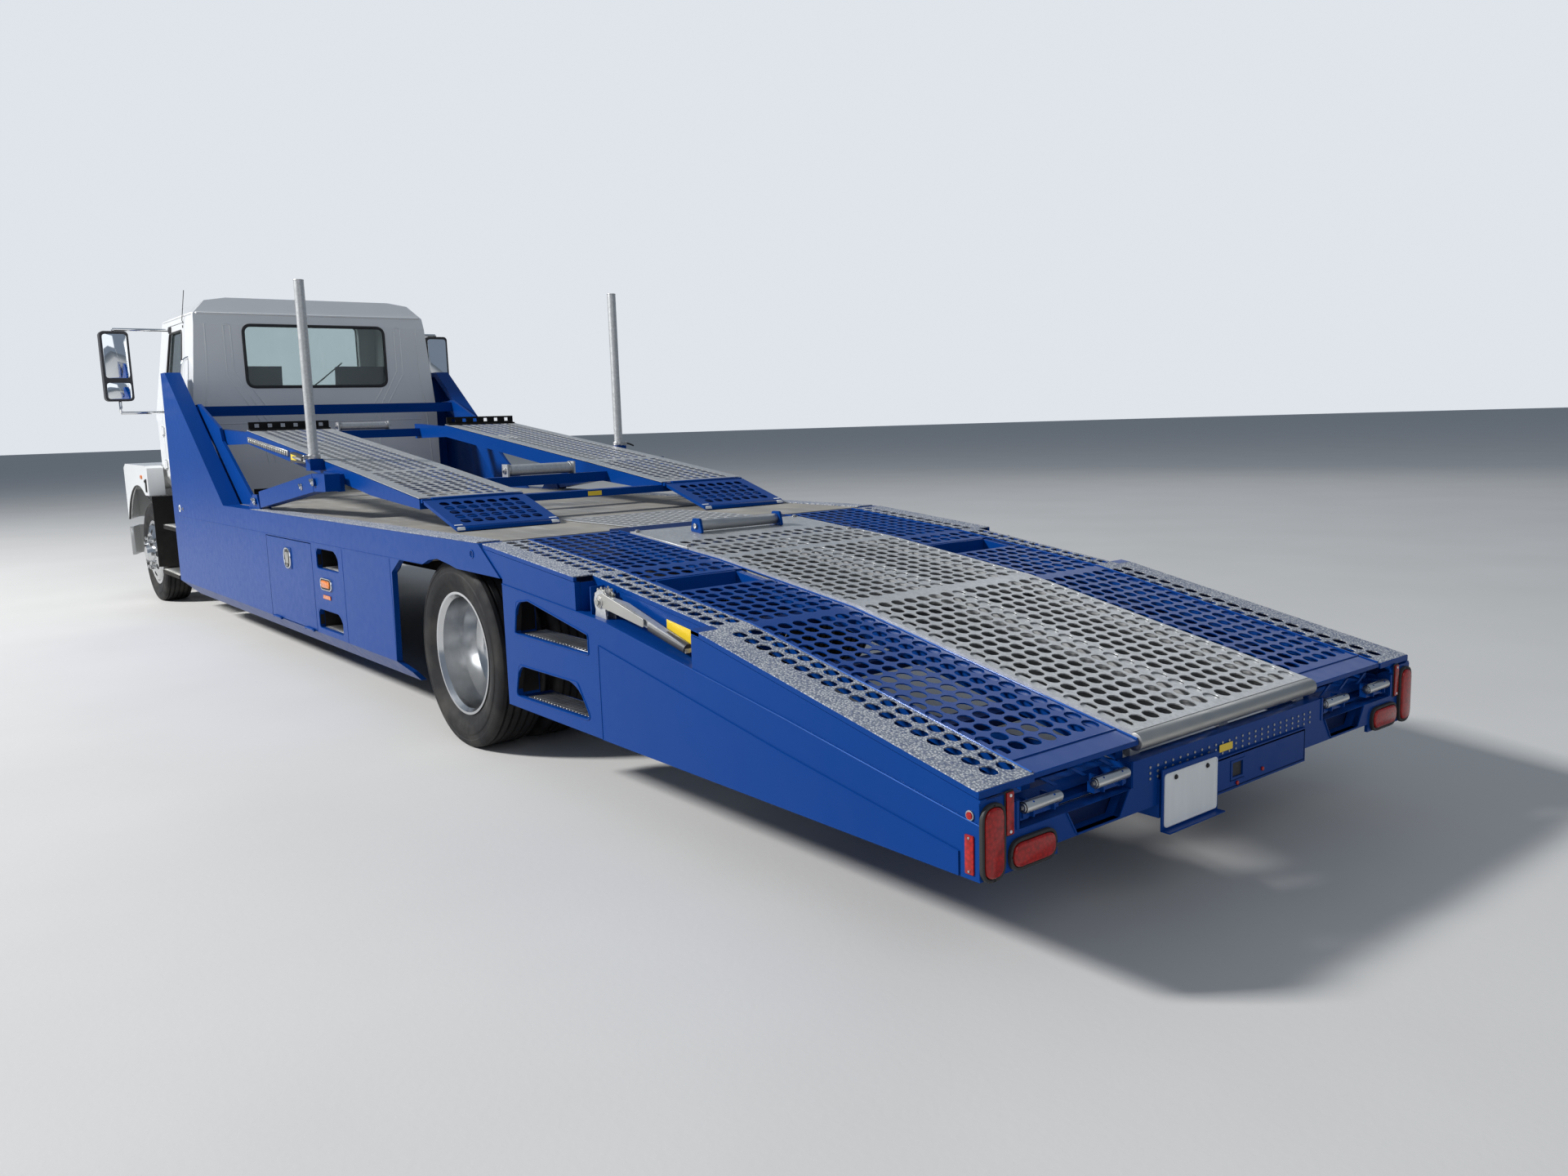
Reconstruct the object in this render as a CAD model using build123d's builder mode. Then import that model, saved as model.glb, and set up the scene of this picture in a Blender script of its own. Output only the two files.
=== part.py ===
from build123d import *
from math import atan2, cos, degrees, hypot, radians, sin, tan
import os

os.makedirs("parts", exist_ok=True)

# Driving dimensions in millimetres: +X forward, +Y left, +Z up, ground at Z = 0
wheelbase = 7110
rear_overhang = 3426
front_overhang = 976
body_half = 1220
cab_setback = 1701
gap = 0.3
joint_gap = 6
bore_gap = 0.05

overall_length = rear_overhang + wheelbase + front_overhang
tail_x = -overall_length / 2
bumper_x = overall_length / 2
rear_axle_x = tail_x + rear_overhang
front_axle_x = rear_axle_x + wheelbase
cab_back_x = front_axle_x - cab_setback

# Tyres and rims
tyre_radius = 463
tyre_width = 250
bead_radius = 286
rim_lip_radius = 302
rim_half = 105
rim_wall = 9
disc_offset = 143
disc_wall = 28
disc_bore = 80
hand_hole_radius = 26
hand_hole_circle = 208
hand_hole_count = 10
nut_circle = 142.9
nut_radius = 19
nut_length = 34
nut_count = 10
rear_tyre_face = body_half - 50
front_tyre_face = body_half - 80
dual_spacing = 2 * disc_offset
rear_outer_y = rear_tyre_face - tyre_width / 2
rear_inner_y = rear_outer_y - dual_spacing
front_wheel_y = front_tyre_face - tyre_width / 2
drum_radius = 205
drum_wall = 15
rear_spindle_radius = 60
front_spindle_radius = 42

# Chassis
rail_outer = 432
rail_height = 250
rail_flange = 76
rail_wall = 10
frame_top = 880
frame_front_x = bumper_x - 150
frame_rear_x = rear_axle_x - 900
axle_tube_radius = 75
kingpin_y = front_wheel_y - 270
kingpin_radius = 22
spring_width = 80
spring_y = rail_outer - 45

# Body sides and deck
wall = 30
deck_z = 1033
rail_bottom = 890
skirt_z = 335
chamfer_z = 232
side_front_x = cab_back_x + 251
strip_width = 140
floor_thick = 12
deck_lift = 8
kink_x = rear_axle_x - 400
knee_x = rear_axle_x - 1289
bend_x = rear_axle_x - 2150
knee_z = 950
bend_z = 833
tail_deck_z = 564
tail_bottom = 329
grate_inner = body_half - 695
coat_width = 229
recess_depth = 92
slot_front = rear_axle_x - 1470
slot_rear = rear_axle_x - 1665

# Tail ramps
ramp_outer = body_half - 175
ramp_inner = ramp_outer - 470
ramp_length = 1050
ramp_thick = 46
ramp_z = 478

# Lifting upper deck
pivot_x = cab_back_x - 909
pivot_z = 1530
pivot_radius = 20
runway_outer = body_half - 170
runway_inner = runway_outer - 590
runway_front_x = pivot_x - 670
runway_knee_x = pivot_x - 2940
runway_rear_x = pivot_x - 3850
runway_front_z = 1578
runway_knee_z = 1306
runway_rear_z = 1190
runway_thick = 8
side_rail_width = 50
side_rail_height = 92
rear_rail_height = 52
flap_length = 440
flap_angle = 16.5
flap_thick = 24
flap_pin_radius = 9
arm_pin_x = pivot_x - 1217
arm_pin_z = 1088
elbow_x = pivot_x - 2570
elbow_z = 1252
arm_y = body_half - 80
arm_width = 90
arm_height = 110
arm_wall = 9
rod_length = 720
post_x = pivot_x - 2300
post_y = body_half - 125
post_radius = 30
post_top = 2470

# Cab
cab_wall = 50
cab_bottom = 1080
cab_half = body_half - 168
belt_z = 1700
seam_half = cab_half - 77
roof_z = 2716
seam_z = roof_z - 163
cowl_x = cab_back_x + 1380
screen_base_x = cab_back_x + 1420
screen_base_z = 1790
screen_top_x = cab_back_x + 1150
screen_top_z = roof_z - 116
door_rear_x = cab_back_x + 330
door_front_x = cab_back_x + 1170
door_bottom = 1110
door_top = seam_z - 53
door_hinge_x = door_front_x + joint_gap / 2
door_hinge_y = cab_half + 12
door_glass_bottom = 1790
door_glass_top = door_top - 60
glass_inset = 16
glass_thick = 6
hinge_pin = 8
hinge_barrel = 11.5
hood_front_x = bumper_x - 56
hood_bottom = 760
hood_hinge_x = bumper_x - 96
hood_hinge_z = 700
arch_radius = 640
fender_half = body_half - 2
fender_top = 1290
fender_rear_x = front_axle_x - 490
fender_rear_z = 1020
mirror_x = cab_back_x + 851


def block(x, y, z, mode=Mode.ADD):
    """Box between low and high corners."""
    with Locations(((x[0] + x[1]) / 2, (y[0] + y[1]) / 2, (z[0] + z[1]) / 2)):
        Box(x[1] - x[0], y[1] - y[0], z[1] - z[0], mode=mode)


def side_plate(points, y0, y1, mode=Mode.ADD, rounding=0):
    """Plate with an X-Z outline, thick from y0 to y1."""
    with BuildSketch(Plane.XZ.offset(-y0)) as outline:
        with BuildLine():
            Polyline(points, close=True)
        make_face()
        if rounding:
            fillet(outline.vertices(), rounding)
    extrude(outline.sketch, amount=-(y1 - y0), mode=mode)


def cross_plate(points, x0, x1, mode=Mode.ADD, rounding=0):
    """Plate with a Y-Z outline, thick from x0 to x1."""
    with BuildSketch(Plane.YZ.offset(x0)) as outline:
        with BuildLine():
            Polyline(points, close=True)
        make_face()
        if rounding:
            fillet(outline.vertices(), rounding)
    extrude(outline.sketch, amount=x1 - x0, mode=mode)


def bar_y(x, z, radius, y0, y1, mode=Mode.ADD):
    """Round bar along Y."""
    with BuildSketch(Plane.XZ.offset(-y0)) as section:
        with Locations((x, z)):
            Circle(radius)
    extrude(section.sketch, amount=-(y1 - y0), mode=mode)


def bar_x(y, z, radius, x0, x1, mode=Mode.ADD):
    """Round bar along X."""
    with BuildSketch(Plane.YZ.offset(x0)) as section:
        with Locations((y, z)):
            Circle(radius)
    extrude(section.sketch, amount=x1 - x0, mode=mode)


def bar_z(x, y, radius, z0, z1, mode=Mode.ADD):
    """Round bar along Z."""
    with BuildSketch(Plane.XY.offset(z0)) as section:
        with Locations((x, y)):
            Circle(radius)
    extrude(section.sketch, amount=z1 - z0, mode=mode)


def ring_y(points, x, z, mode=Mode.ADD):
    """Ring turned round the Y axis through x, z from (y, radius) points."""
    with BuildSketch(Plane.YZ.offset(x)) as section:
        with BuildLine():
            Polyline([(y, z + r) for y, r in points], close=True)
        make_face()
    revolve(section.sketch, axis=Axis((x, 0, z), (0, 1, 0)), mode=mode)


def mirrored(piece):
    """The other side's copy of a piece, across the centre plane."""
    with BuildPart() as other:
        mirror(piece, about=Plane.XZ)
    return other


def save(builder, name):
    """Label a finished piece and write its file."""
    builder.part.label = name
    export_step(builder.part, f"parts/{name}.step")


def save_pair(builder, name):
    """Write the left piece and its mirror image on the right."""
    save(builder, name + "_left")
    save(mirrored(builder.part), name + "_right")


def save_both(builder, name):
    """Write the left solids and their mirror images as one node."""
    with BuildPart() as both:
        add(builder.part)
        mirror(builder.part, about=Plane.XZ)
    save(both, name)


# Height of the load deck at a place along the truck
deck_line = [
    (kink_x, deck_z),
    (knee_x, knee_z),
    (bend_x, bend_z),
    (tail_x, tail_deck_z),
]


def deck_height(x):
    """Deck surface height at x, level ahead of the kink."""
    for (x0, z0), (x1, z1) in zip(deck_line, deck_line[1:]):
        if x >= x0:
            return z0
        if x >= x1:
            return z0 + (z1 - z0) * (x - x0) / (x1 - x0)
    return tail_deck_z


def deck_outline(x0, x1, top, bottom):
    """X-Z outline that follows the sloping deck between two offsets."""
    xs = [x0] + [x for x, _ in deck_line if x1 < x < x0] + [x1]
    upper = [(x, deck_height(x) + top) for x in xs]
    lower = [(x, deck_height(x) + bottom) for x in reversed(xs)]
    return upper + lower


# Rim profile, (distance towards the disc, radius) from the wheel's middle plane
def rim_points(middle, side):
    """Half section of one wheel whose disc lies towards side."""
    shape = [
        (-rim_half, rim_lip_radius),
        (-rim_half, rim_lip_radius - 12),
        (-rim_half + 22, bead_radius - 12),
        (20, bead_radius - 20),
        (85, 250),
        (disc_offset - disc_wall, 190),
        (disc_offset - disc_wall, disc_bore),
        (disc_offset, disc_bore),
        (disc_offset, 190),
        (disc_offset - 22, 262),
        (rim_half, bead_radius - 14),
        (rim_half, rim_lip_radius),
        (rim_half - rim_wall, rim_lip_radius),
        (rim_half - rim_wall, bead_radius),
        (-rim_half + rim_wall, bead_radius),
        (-rim_half + rim_wall, rim_lip_radius),
    ]
    return [(middle + side * y, r) for y, r in shape]


def tyre_points(middle):
    """Half section of a tyre round its wheel's middle plane."""
    seat = rim_half - rim_wall
    half = tyre_width / 2
    shape = [
        (seat, bead_radius),
        (seat, rim_lip_radius + 6),
        (half, bead_radius + 95),
        (half - 6, tyre_radius - 30),
        (half - 20, tyre_radius),
    ]
    return [(middle + y, r) for y, r in shape] + [(middle - y, r) for y, r in reversed(shape)]


def disc_holes(x, z, y0, y1):
    """Hand holes through a wheel disc."""
    with BuildSketch(Plane.XZ.offset(-y0)) as holes:
        with Locations((x, z)):
            with PolarLocations(hand_hole_circle, hand_hole_count):
                Circle(hand_hole_radius)
    extrude(holes.sketch, amount=-(y1 - y0), mode=Mode.SUBTRACT)


def wheel_nuts(x, z, y0):
    """Ring of hexagon nuts standing out of a disc."""
    with BuildSketch(Plane.XZ.offset(-y0)) as nuts:
        with Locations((x, z)):
            with PolarLocations(nut_circle, nut_count):
                RegularPolygon(nut_radius, 6)
    extrude(nuts.sketch, amount=-nut_length)


# Rear wheels: two rims back to back on one hub with its brake drum
mating_y = rear_outer_y - disc_offset
rear_cap_y = mating_y + disc_wall + 75
rear_bore_y = rear_cap_y - 14
with BuildPart() as rear_wheel:
    ring_y(rim_points(rear_outer_y, -1), rear_axle_x, tyre_radius)
    ring_y(rim_points(rear_inner_y, 1), rear_axle_x, tyre_radius)
    disc_holes(rear_axle_x, tyre_radius, mating_y - disc_wall - 10, mating_y + disc_wall + 10)
    hub = [
        (rear_cap_y, 0),
        (rear_cap_y, 70),
        (mating_y + disc_wall, 105),
        (mating_y - disc_wall, 105),
        (mating_y - disc_wall, drum_radius),
        (mating_y - 220, drum_radius),
        (mating_y - 220, drum_radius - drum_wall),
        (mating_y - disc_wall - drum_wall, drum_radius - drum_wall),
        (mating_y - disc_wall - drum_wall, 85),
        (mating_y - 150, 85),
        (mating_y - 150, rear_spindle_radius + bore_gap),
        (rear_bore_y, rear_spindle_radius + bore_gap),
        (rear_bore_y, 0),
    ]
    ring_y(hub, rear_axle_x, tyre_radius)
    wheel_nuts(rear_axle_x, tyre_radius, mating_y + disc_wall)
save_pair(rear_wheel, "rear_wheel")

with BuildPart() as rear_tyre:
    for middle in (rear_outer_y, rear_inner_y):
        ring_y(tyre_points(middle), rear_axle_x, tyre_radius)
save_pair(rear_tyre, "rear_tyres")

# Front wheels: disc bulging outwards, hub and drum behind it
front_disc_y = front_wheel_y + disc_offset
front_cap_y = front_disc_y + 48
front_hub_y = front_wheel_y - 110
with BuildPart() as front_wheel:
    ring_y(rim_points(front_wheel_y, 1), front_axle_x, tyre_radius)
    disc_holes(front_axle_x, tyre_radius, front_disc_y - disc_wall - 10, front_disc_y + 10)
    hub = [
        (front_cap_y, 0),
        (front_cap_y, 62),
        (front_disc_y, 88),
        (front_disc_y - disc_wall, 100),
        (front_disc_y - disc_wall, 190),
        (front_disc_y - disc_wall - drum_wall, drum_radius),
        (front_hub_y - 40, drum_radius),
        (front_hub_y - 40, drum_radius - drum_wall),
        (front_disc_y - disc_wall - 2 * drum_wall, drum_radius - drum_wall),
        (front_disc_y - disc_wall - 2 * drum_wall, 75),
        (front_hub_y, 75),
        (front_hub_y, front_spindle_radius + bore_gap),
        (front_disc_y, front_spindle_radius + bore_gap),
        (front_disc_y, 0),
    ]
    ring_y(hub, front_axle_x, tyre_radius)
    wheel_nuts(front_axle_x, tyre_radius, front_disc_y)
save_pair(front_wheel, "front_wheel")

with BuildPart() as front_tyre:
    ring_y(tyre_points(front_wheel_y), front_axle_x, tyre_radius)
save_pair(front_tyre, "front_tyre")

# Chassis frame: two channels, open inwards, joined by crossmembers
rail_low = frame_top - rail_height
crossmembers = [
    frame_front_x - 120,
    cab_back_x - 150,
    cab_back_x - 1080,
    rear_axle_x + 3030,
    rear_axle_x + 1630,
    rear_axle_x + 480,
    frame_rear_x + 140,
]
with BuildPart() as chassis_frame:
    for side in (-1, 1):
        web = (side * rail_outer, side * (rail_outer - rail_flange))
        block((frame_rear_x, frame_front_x), (min(web), max(web)), (rail_low, frame_top))
        hollow = (side * (rail_outer - rail_wall), side * (rail_outer - rail_flange - 1))
        inner_z = (rail_low + rail_wall, frame_top - rail_wall)
        block((frame_rear_x - 1, frame_front_x + 1), (min(hollow), max(hollow)), inner_z, mode=Mode.SUBTRACT)
    for x in crossmembers:
        block((x - 50, x + 50), (-rail_outer + 5, rail_outer - 5), (frame_top - 112, frame_top - 14))
        block((x - 42, x + 51), (-rail_outer + 90, rail_outer - 90), (frame_top - 104, frame_top - 22), mode=Mode.SUBTRACT)
save(chassis_frame, "chassis_frame")

# Front axle: dropped beam with kingpin eyes on two leaf springs
beam_z = 395
eye_half = 48
spring_top = beam_z + 125
spring_reach = 620
with BuildPart() as front_axle:
    beam = [
        (-kingpin_y, tyre_radius - 42),
        (-kingpin_y + 110, tyre_radius - 42),
        (-spring_y - 60, beam_z - 50),
        (spring_y + 60, beam_z - 50),
        (kingpin_y - 110, tyre_radius - 42),
        (kingpin_y, tyre_radius - 42),
        (kingpin_y, tyre_radius + 42),
        (kingpin_y - 110, tyre_radius + 42),
        (spring_y + 60, beam_z + 50),
        (-spring_y - 60, beam_z + 50),
        (-kingpin_y + 110, tyre_radius + 42),
        (-kingpin_y, tyre_radius + 42),
    ]
    cross_plate(beam, front_axle_x - 45, front_axle_x + 45)
    for side in (-1, 1):
        bar_z(front_axle_x, side * kingpin_y, 45, tyre_radius - 42, tyre_radius + 42)
        bar_z(front_axle_x, side * kingpin_y, kingpin_radius + bore_gap, 0, 2 * tyre_radius, mode=Mode.SUBTRACT)
        y0 = side * spring_y - spring_width / 2
        y1 = side * spring_y + spring_width / 2
        leaf = [
            (front_axle_x - spring_reach, spring_top + 70),
            (front_axle_x, spring_top),
            (front_axle_x + spring_reach, spring_top + 70),
            (front_axle_x + spring_reach, spring_top + 45),
            (front_axle_x + 330, spring_top - 30),
            (front_axle_x + 90, beam_z + 50),
            (front_axle_x - 90, beam_z + 50),
            (front_axle_x - 330, spring_top - 30),
            (front_axle_x - spring_reach, spring_top + 45),
        ]
        side_plate(leaf, y0, y1)
        for end in (-1, 1):
            eye_x = front_axle_x + end * spring_reach
            bar_y(eye_x, spring_top + 57, 34, y0, y1)
            hanger = [
                (eye_x - 45, rail_low + 60),
                (eye_x + 45, rail_low + 60),
                (eye_x + 30, spring_top + 20),
                (eye_x - 30, spring_top + 20),
            ]
            outer = side * rail_outer
            side_plate(hanger, min(outer, outer + side * 16), max(outer, outer + side * 16))
            bar_y(eye_x, spring_top + 57, 14, min(y0, outer), max(y1, outer + side * 10))
        block((front_axle_x - 95, front_axle_x + 95), (y0 - 14, y1 + 14), (spring_top - 12, spring_top + 12))
save(front_axle, "front_axle")

# Steering knuckles: ears round the beam eye, kingpin, spindle and steering arm
ear_low = tyre_radius - 42 - gap
ear_high = tyre_radius + 42 + gap
arm_reach = 175
tie_y = kingpin_y
tie_z = tyre_radius - 118
with BuildPart() as knuckle:
    bar_z(front_axle_x, kingpin_y, kingpin_radius, ear_low - 40, ear_high + 40)
    for z0, z1 in ((ear_low - 40, ear_low), (ear_high, ear_high + 40)):
        bar_z(front_axle_x, kingpin_y, 45, z0, z1)
        block((front_axle_x - 45, front_axle_x + 45), (kingpin_y, kingpin_y + 95), (z0, z1))
    block((front_axle_x - 60, front_axle_x + 60), (kingpin_y + 48, kingpin_y + 95), (ear_low - 40, ear_high + 40))
    bar_y(front_axle_x, tyre_radius, front_spindle_radius, kingpin_y + 60, front_disc_y - gap)
    bar_y(front_axle_x, tyre_radius, drum_radius - drum_wall - 6, kingpin_y + 95, kingpin_y + 103)
    steering_arm = [
        (front_axle_x + 45, kingpin_y - 40),
        (front_axle_x + 45, kingpin_y + 40),
        (front_axle_x - 40, kingpin_y + 40),
        (front_axle_x - arm_reach, tie_y + 28),
        (front_axle_x - arm_reach - 26, tie_y),
        (front_axle_x - arm_reach, tie_y - 28),
        (front_axle_x - 40, kingpin_y - 40),
    ]
    with BuildSketch(Plane.XY.offset(ear_low - 40)):
        with BuildLine():
            Polyline(steering_arm, close=True)
        make_face()
    extrude(amount=-22)
save_pair(knuckle, "knuckle")

# Tie rod below the two steering arms
arm_low = ear_low - 40 - 22
tie_x = front_axle_x - arm_reach
with BuildPart() as tie_rod:
    for side in (-1, 1):
        bar_z(tie_x, side * tie_y, 20, arm_low - gap - 44, arm_low - gap)
    bar_z_mid = arm_low - gap - 24
    with BuildSketch(Plane.XZ.offset(tie_y)):
        with Locations((tie_x, bar_z_mid)):
            Circle(18)
    extrude(amount=-2 * tie_y)
save(tie_rod, "tie_rod")

# Rear axle: tube, differential, brake plates, trailing arms and air springs
drum_mouth_y = mating_y - 220
with BuildPart() as rear_axle:
    bar_y(rear_axle_x, tyre_radius, axle_tube_radius, -drum_mouth_y - 10, drum_mouth_y + 10)
    bar_y(rear_axle_x, tyre_radius, rear_spindle_radius, -(rear_bore_y - gap), rear_bore_y - gap)
    with Locations((rear_axle_x, 0, tyre_radius)):
        Sphere(185)
    bar_x(0, tyre_radius, 75, rear_axle_x + 100, rear_axle_x + 320)
    for side in (-1, 1):
        plate = (side * (drum_mouth_y + 4), side * (drum_mouth_y + 12))
        bar_y(rear_axle_x, tyre_radius, drum_radius - drum_wall - 5, min(plate), max(plate))
        y0 = side * 385 - 40
        y1 = side * 385 + 40
        arm = [
            (rear_axle_x + 640, tyre_radius + 120),
            (rear_axle_x + 90, tyre_radius + 95),
            (rear_axle_x - 330, tyre_radius + 10),
            (rear_axle_x - 330, tyre_radius - 20),
            (rear_axle_x + 90, tyre_radius + 40),
            (rear_axle_x + 640, tyre_radius + 60),
        ]
        side_plate(arm, y0, y1)
        hanger = [
            (rear_axle_x + 570, rail_low + 60),
            (rear_axle_x + 720, rail_low + 60),
            (rear_axle_x + 680, tyre_radius + 40),
            (rear_axle_x + 600, tyre_radius + 40),
        ]
        outer = side * rail_outer
        side_plate(hanger, min(outer, outer + side * 18), max(outer, outer + side * 18))
        bar_y(rear_axle_x + 640, tyre_radius + 90, 16, min(y0, outer), max(y1, outer + side * 12))
        bar_z(rear_axle_x - 270, side * 385, 115, tyre_radius, rail_low)
save(rear_axle, "rear_axle")

# Engine block with gearbox, and the propeller shaft to the axle
engine_x = (front_axle_x - 250, front_axle_x + 520)
with BuildPart() as driveline:
    block(engine_x, (-300, 300), (560, 1180))
    with BuildSketch(Plane.YZ.offset(engine_x[0])):
        with Locations((0, 740)):
            RectangleRounded(420, 380, 60)
    with BuildSketch(Plane.YZ.offset(engine_x[0] - 650)):
        with Locations((0, 720)):
            RectangleRounded(240, 240, 50)
    loft()
    prop_start = engine_x[0] - 650
    prop_end = rear_axle_x + 320
    with BuildSketch(Plane(origin=(prop_start + 5, 0, 720), z_dir=(-1, 0, 0))):
        Circle(52)
    with BuildSketch(Plane(origin=(prop_end, 0, tyre_radius), z_dir=(-1, 0, 0))):
        Circle(52)
    loft()
save(driveline, "engine_and_driveline")

# Fuel tank, battery box and air tanks hung outside the rails under the deck
with BuildPart() as chassis_tanks:
    for side, x0, x1 in ((1, rear_axle_x + 3330, rear_axle_x + 4430), (-1, rear_axle_x + 3530, rear_axle_x + 4330)):
        y_mid = side * (rail_outer + 24 + 260)
        with BuildSketch(Plane.YZ.offset(x0)):
            with Locations((y_mid, 590)):
                RectangleRounded(480, 480, 90)
        extrude(amount=x1 - x0)
        for x in (x0 + 180, x1 - 180):
            strap = (side * rail_outer, side * (rail_outer + 60))
            block((x - 30, x + 30), (min(strap), max(strap)), (400, frame_top - 20))
    for x0 in (rear_axle_x + 930, rear_axle_x + 1630):
        bar_x(-(rail_outer + 130), 640, 120, x0, x0 + 600)
        bracket = (-(rail_outer + 60), -rail_outer)
        block((x0 + 270, x0 + 330), bracket, (560, frame_top - 40))
save(chassis_tanks, "chassis_tanks")

# Hollow rails along the top of both body sides, with the rear arch
seams = {
    "box": (rear_axle_x + 2000, rear_axle_x + 2950),
    "column": (rear_axle_x + 1440, rear_axle_x + 2000),
    "rear_panel": (rear_axle_x + 542, rear_axle_x + 1440),
}
diag_top = (rear_axle_x - 427, deck_z)
diag_low = (rear_axle_x - 632, rail_bottom + 4)
skirt_front_x = rear_axle_x - 644
arch_in = rear_axle_x + 236
arch_out = rear_axle_x - 170
step_depth = 170
box_depth = body_half - rail_outer - 288
step_openings = [
    ("upper front step", rear_axle_x + 1515, rear_axle_x + 1910, 735, 862),
    ("lower front step", rear_axle_x + 1515, rear_axle_x + 1950, 367, 490),
]
with BuildPart() as side_rail:
    rail = [
        (side_front_x, deck_z),
        diag_top,
        diag_low,
        (arch_out, rail_bottom + 10),
        (rear_axle_x - 100, rail_bottom + 22),
        (rear_axle_x + 50, rail_bottom + 40),
        (rear_axle_x + 160, rail_bottom + 26),
        (arch_in, rail_bottom),
        (side_front_x, rail_bottom),
    ]
    side_plate(rail, body_half - strip_width + 20, body_half)
    inner_rail = [
        (side_front_x - wall, deck_z - floor_thick),
        (diag_top[0] + 60, deck_z - floor_thick),
        (diag_low[0] + 90, rail_bottom - 1),
        (side_front_x - wall, rail_bottom - 1),
    ]
    side_plate(inner_rail, body_half - strip_width + 19, body_half - wall, mode=Mode.SUBTRACT)
save_both(side_rail, "side_rails")


def chamfer_strip(x0, x1):
    """Slanted lower edge of the left side between two places."""
    with BuildSketch(Plane.YZ.offset(x0)) as section:
        with BuildLine():
            Polyline([
                (body_half, skirt_z),
                (body_half - 90, chamfer_z),
                (body_half - 90 - wall, chamfer_z),
                (body_half - wall, skirt_z),
            ], close=True)
        make_face()
    extrude(section.sketch, amount=x1 - x0)


# Line of the ledge along the tail skirt, and the recess cut down to it for the ratchet
ledge_line = [
    (skirt_front_x, rail_bottom - 20),
    (rear_axle_x - 1507, 803),
    (rear_axle_x - 2610, 624),
    (tail_x + 86, 496),
    (tail_x + 12, 484),
]
recess_x = (rear_axle_x - 1295, rear_axle_x - 2100)
pocket_x = rear_axle_x - 1372


def ledge_height(x):
    """Height of the skirt's ledge at x."""
    for (x0, z0), (x1, z1) in zip(ledge_line, ledge_line[1:]):
        if x >= x1:
            return z0 + (z1 - z0) * (x - x0) / (x1 - x0)
    return ledge_line[-1][1]


def ledge_outline(x0, x1, top, bottom):
    """X-Z outline along the ledge between two offsets from it."""
    xs = [x0] + [x for x, _ in ledge_line if x1 < x < x0] + [x1]
    upper = [(x, ledge_height(x) + top) for x in xs]
    lower = [(x, ledge_height(x) + bottom) for x in reversed(xs)]
    return upper + lower


# Tail skirt, left: stepped plate below the sloping deck, with its two openings
skirt_split_x = rear_axle_x - 1440
with BuildPart() as tail_skirt:
    front_skirt = [
        (skirt_front_x, rail_bottom - 20),
        (diag_low[0] - 14, diag_low[1] - 4),
        (diag_top[0] - 36, deck_height(diag_top[0] - 36) - 15),
        (knee_x, knee_z - 15),
        (bend_x, bend_z - 15),
        (tail_x + 12, tail_deck_z - 12),
        (tail_x + 12, tail_bottom),
        (skirt_front_x, skirt_z),
    ]
    side_plate(front_skirt, body_half - wall, body_half - 6)
    lower_ledge = ledge_line + [(tail_x + 12, tail_bottom), (skirt_front_x, skirt_z)]
    side_plate(lower_ledge, body_half - wall, body_half - 3)
    low_ledge = [
        (rear_axle_x - 1468, 705),
        (rear_axle_x - 2603, 511),
        (tail_x + 86, 398),
        (tail_x + 86, tail_bottom + 1),
        (rear_axle_x - 1468, skirt_z - 2),
    ]
    side_plate(low_ledge, body_half - wall, body_half)
    upper_hole = [
        (rear_axle_x - 744, 663),
        (rear_axle_x - 775, 805),
        (rear_axle_x - 883, 822),
        (rear_axle_x - 1385, 738),
        (rear_axle_x - 1386, 657),
    ]
    side_plate(upper_hole, body_half - wall - 1, body_half + 1, mode=Mode.SUBTRACT, rounding=12)
    lower_hole = [
        (rear_axle_x - 721, 383),
        (rear_axle_x - 765, 529),
        (rear_axle_x - 1281, 531),
        (rear_axle_x - 1387, 391),
    ]
    side_plate(lower_hole, body_half - wall - 1, body_half + 1, mode=Mode.SUBTRACT, rounding=26)
    side_plate(ledge_outline(*recess_x, 300, 2), body_half - wall - 1, body_half + 1, mode=Mode.SUBTRACT)

# Plain panels of the body side, left: ahead of the toolbox, ahead of the wheel, and the skirt's rear part
seam_half_width = 1
with BuildPart() as side_panel:
    front = (seams["box"][1] + seam_half_width, side_front_x)
    block(front, (body_half - wall, body_half), (skirt_z, rail_bottom))
    chamfer_strip(*front)
    nose = [
        (side_front_x + 1, chamfer_z - 1),
        (side_front_x + 1, skirt_z),
        (side_front_x - 253, chamfer_z - 1),
    ]
    side_plate(nose, body_half - 200, body_half + 1, mode=Mode.SUBTRACT)
    rear_end = seams["rear_panel"][1] - seam_half_width
    rear = [
        (rear_end, rail_bottom),
        (rear_axle_x + 542, rail_bottom),
        (rear_axle_x + 665, rail_bottom - 75),
        (rear_axle_x + 687, skirt_z),
        (rear_end, skirt_z),
    ]
    side_plate(rear, body_half - wall, body_half)
    chamfer_strip(rear_axle_x + 600, rear_end)
    heel = [
        (rear_axle_x + 690, skirt_z),
        (rear_axle_x + 510, chamfer_z - 1),
        (rear_axle_x + 510, skirt_z),
    ]
    side_plate(heel, body_half - 200, body_half + 1, mode=Mode.SUBTRACT)
with BuildPart() as skirt_rear:
    add(tail_skirt.part)
    block((skirt_split_x, 0), (0, 2 * body_half), (0, 2 * deck_z), mode=Mode.SUBTRACT)
with BuildPart() as side_panels:
    add(side_panel.part)
    add(skirt_rear.part)
save_both(side_panels, "side_panels")

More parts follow.
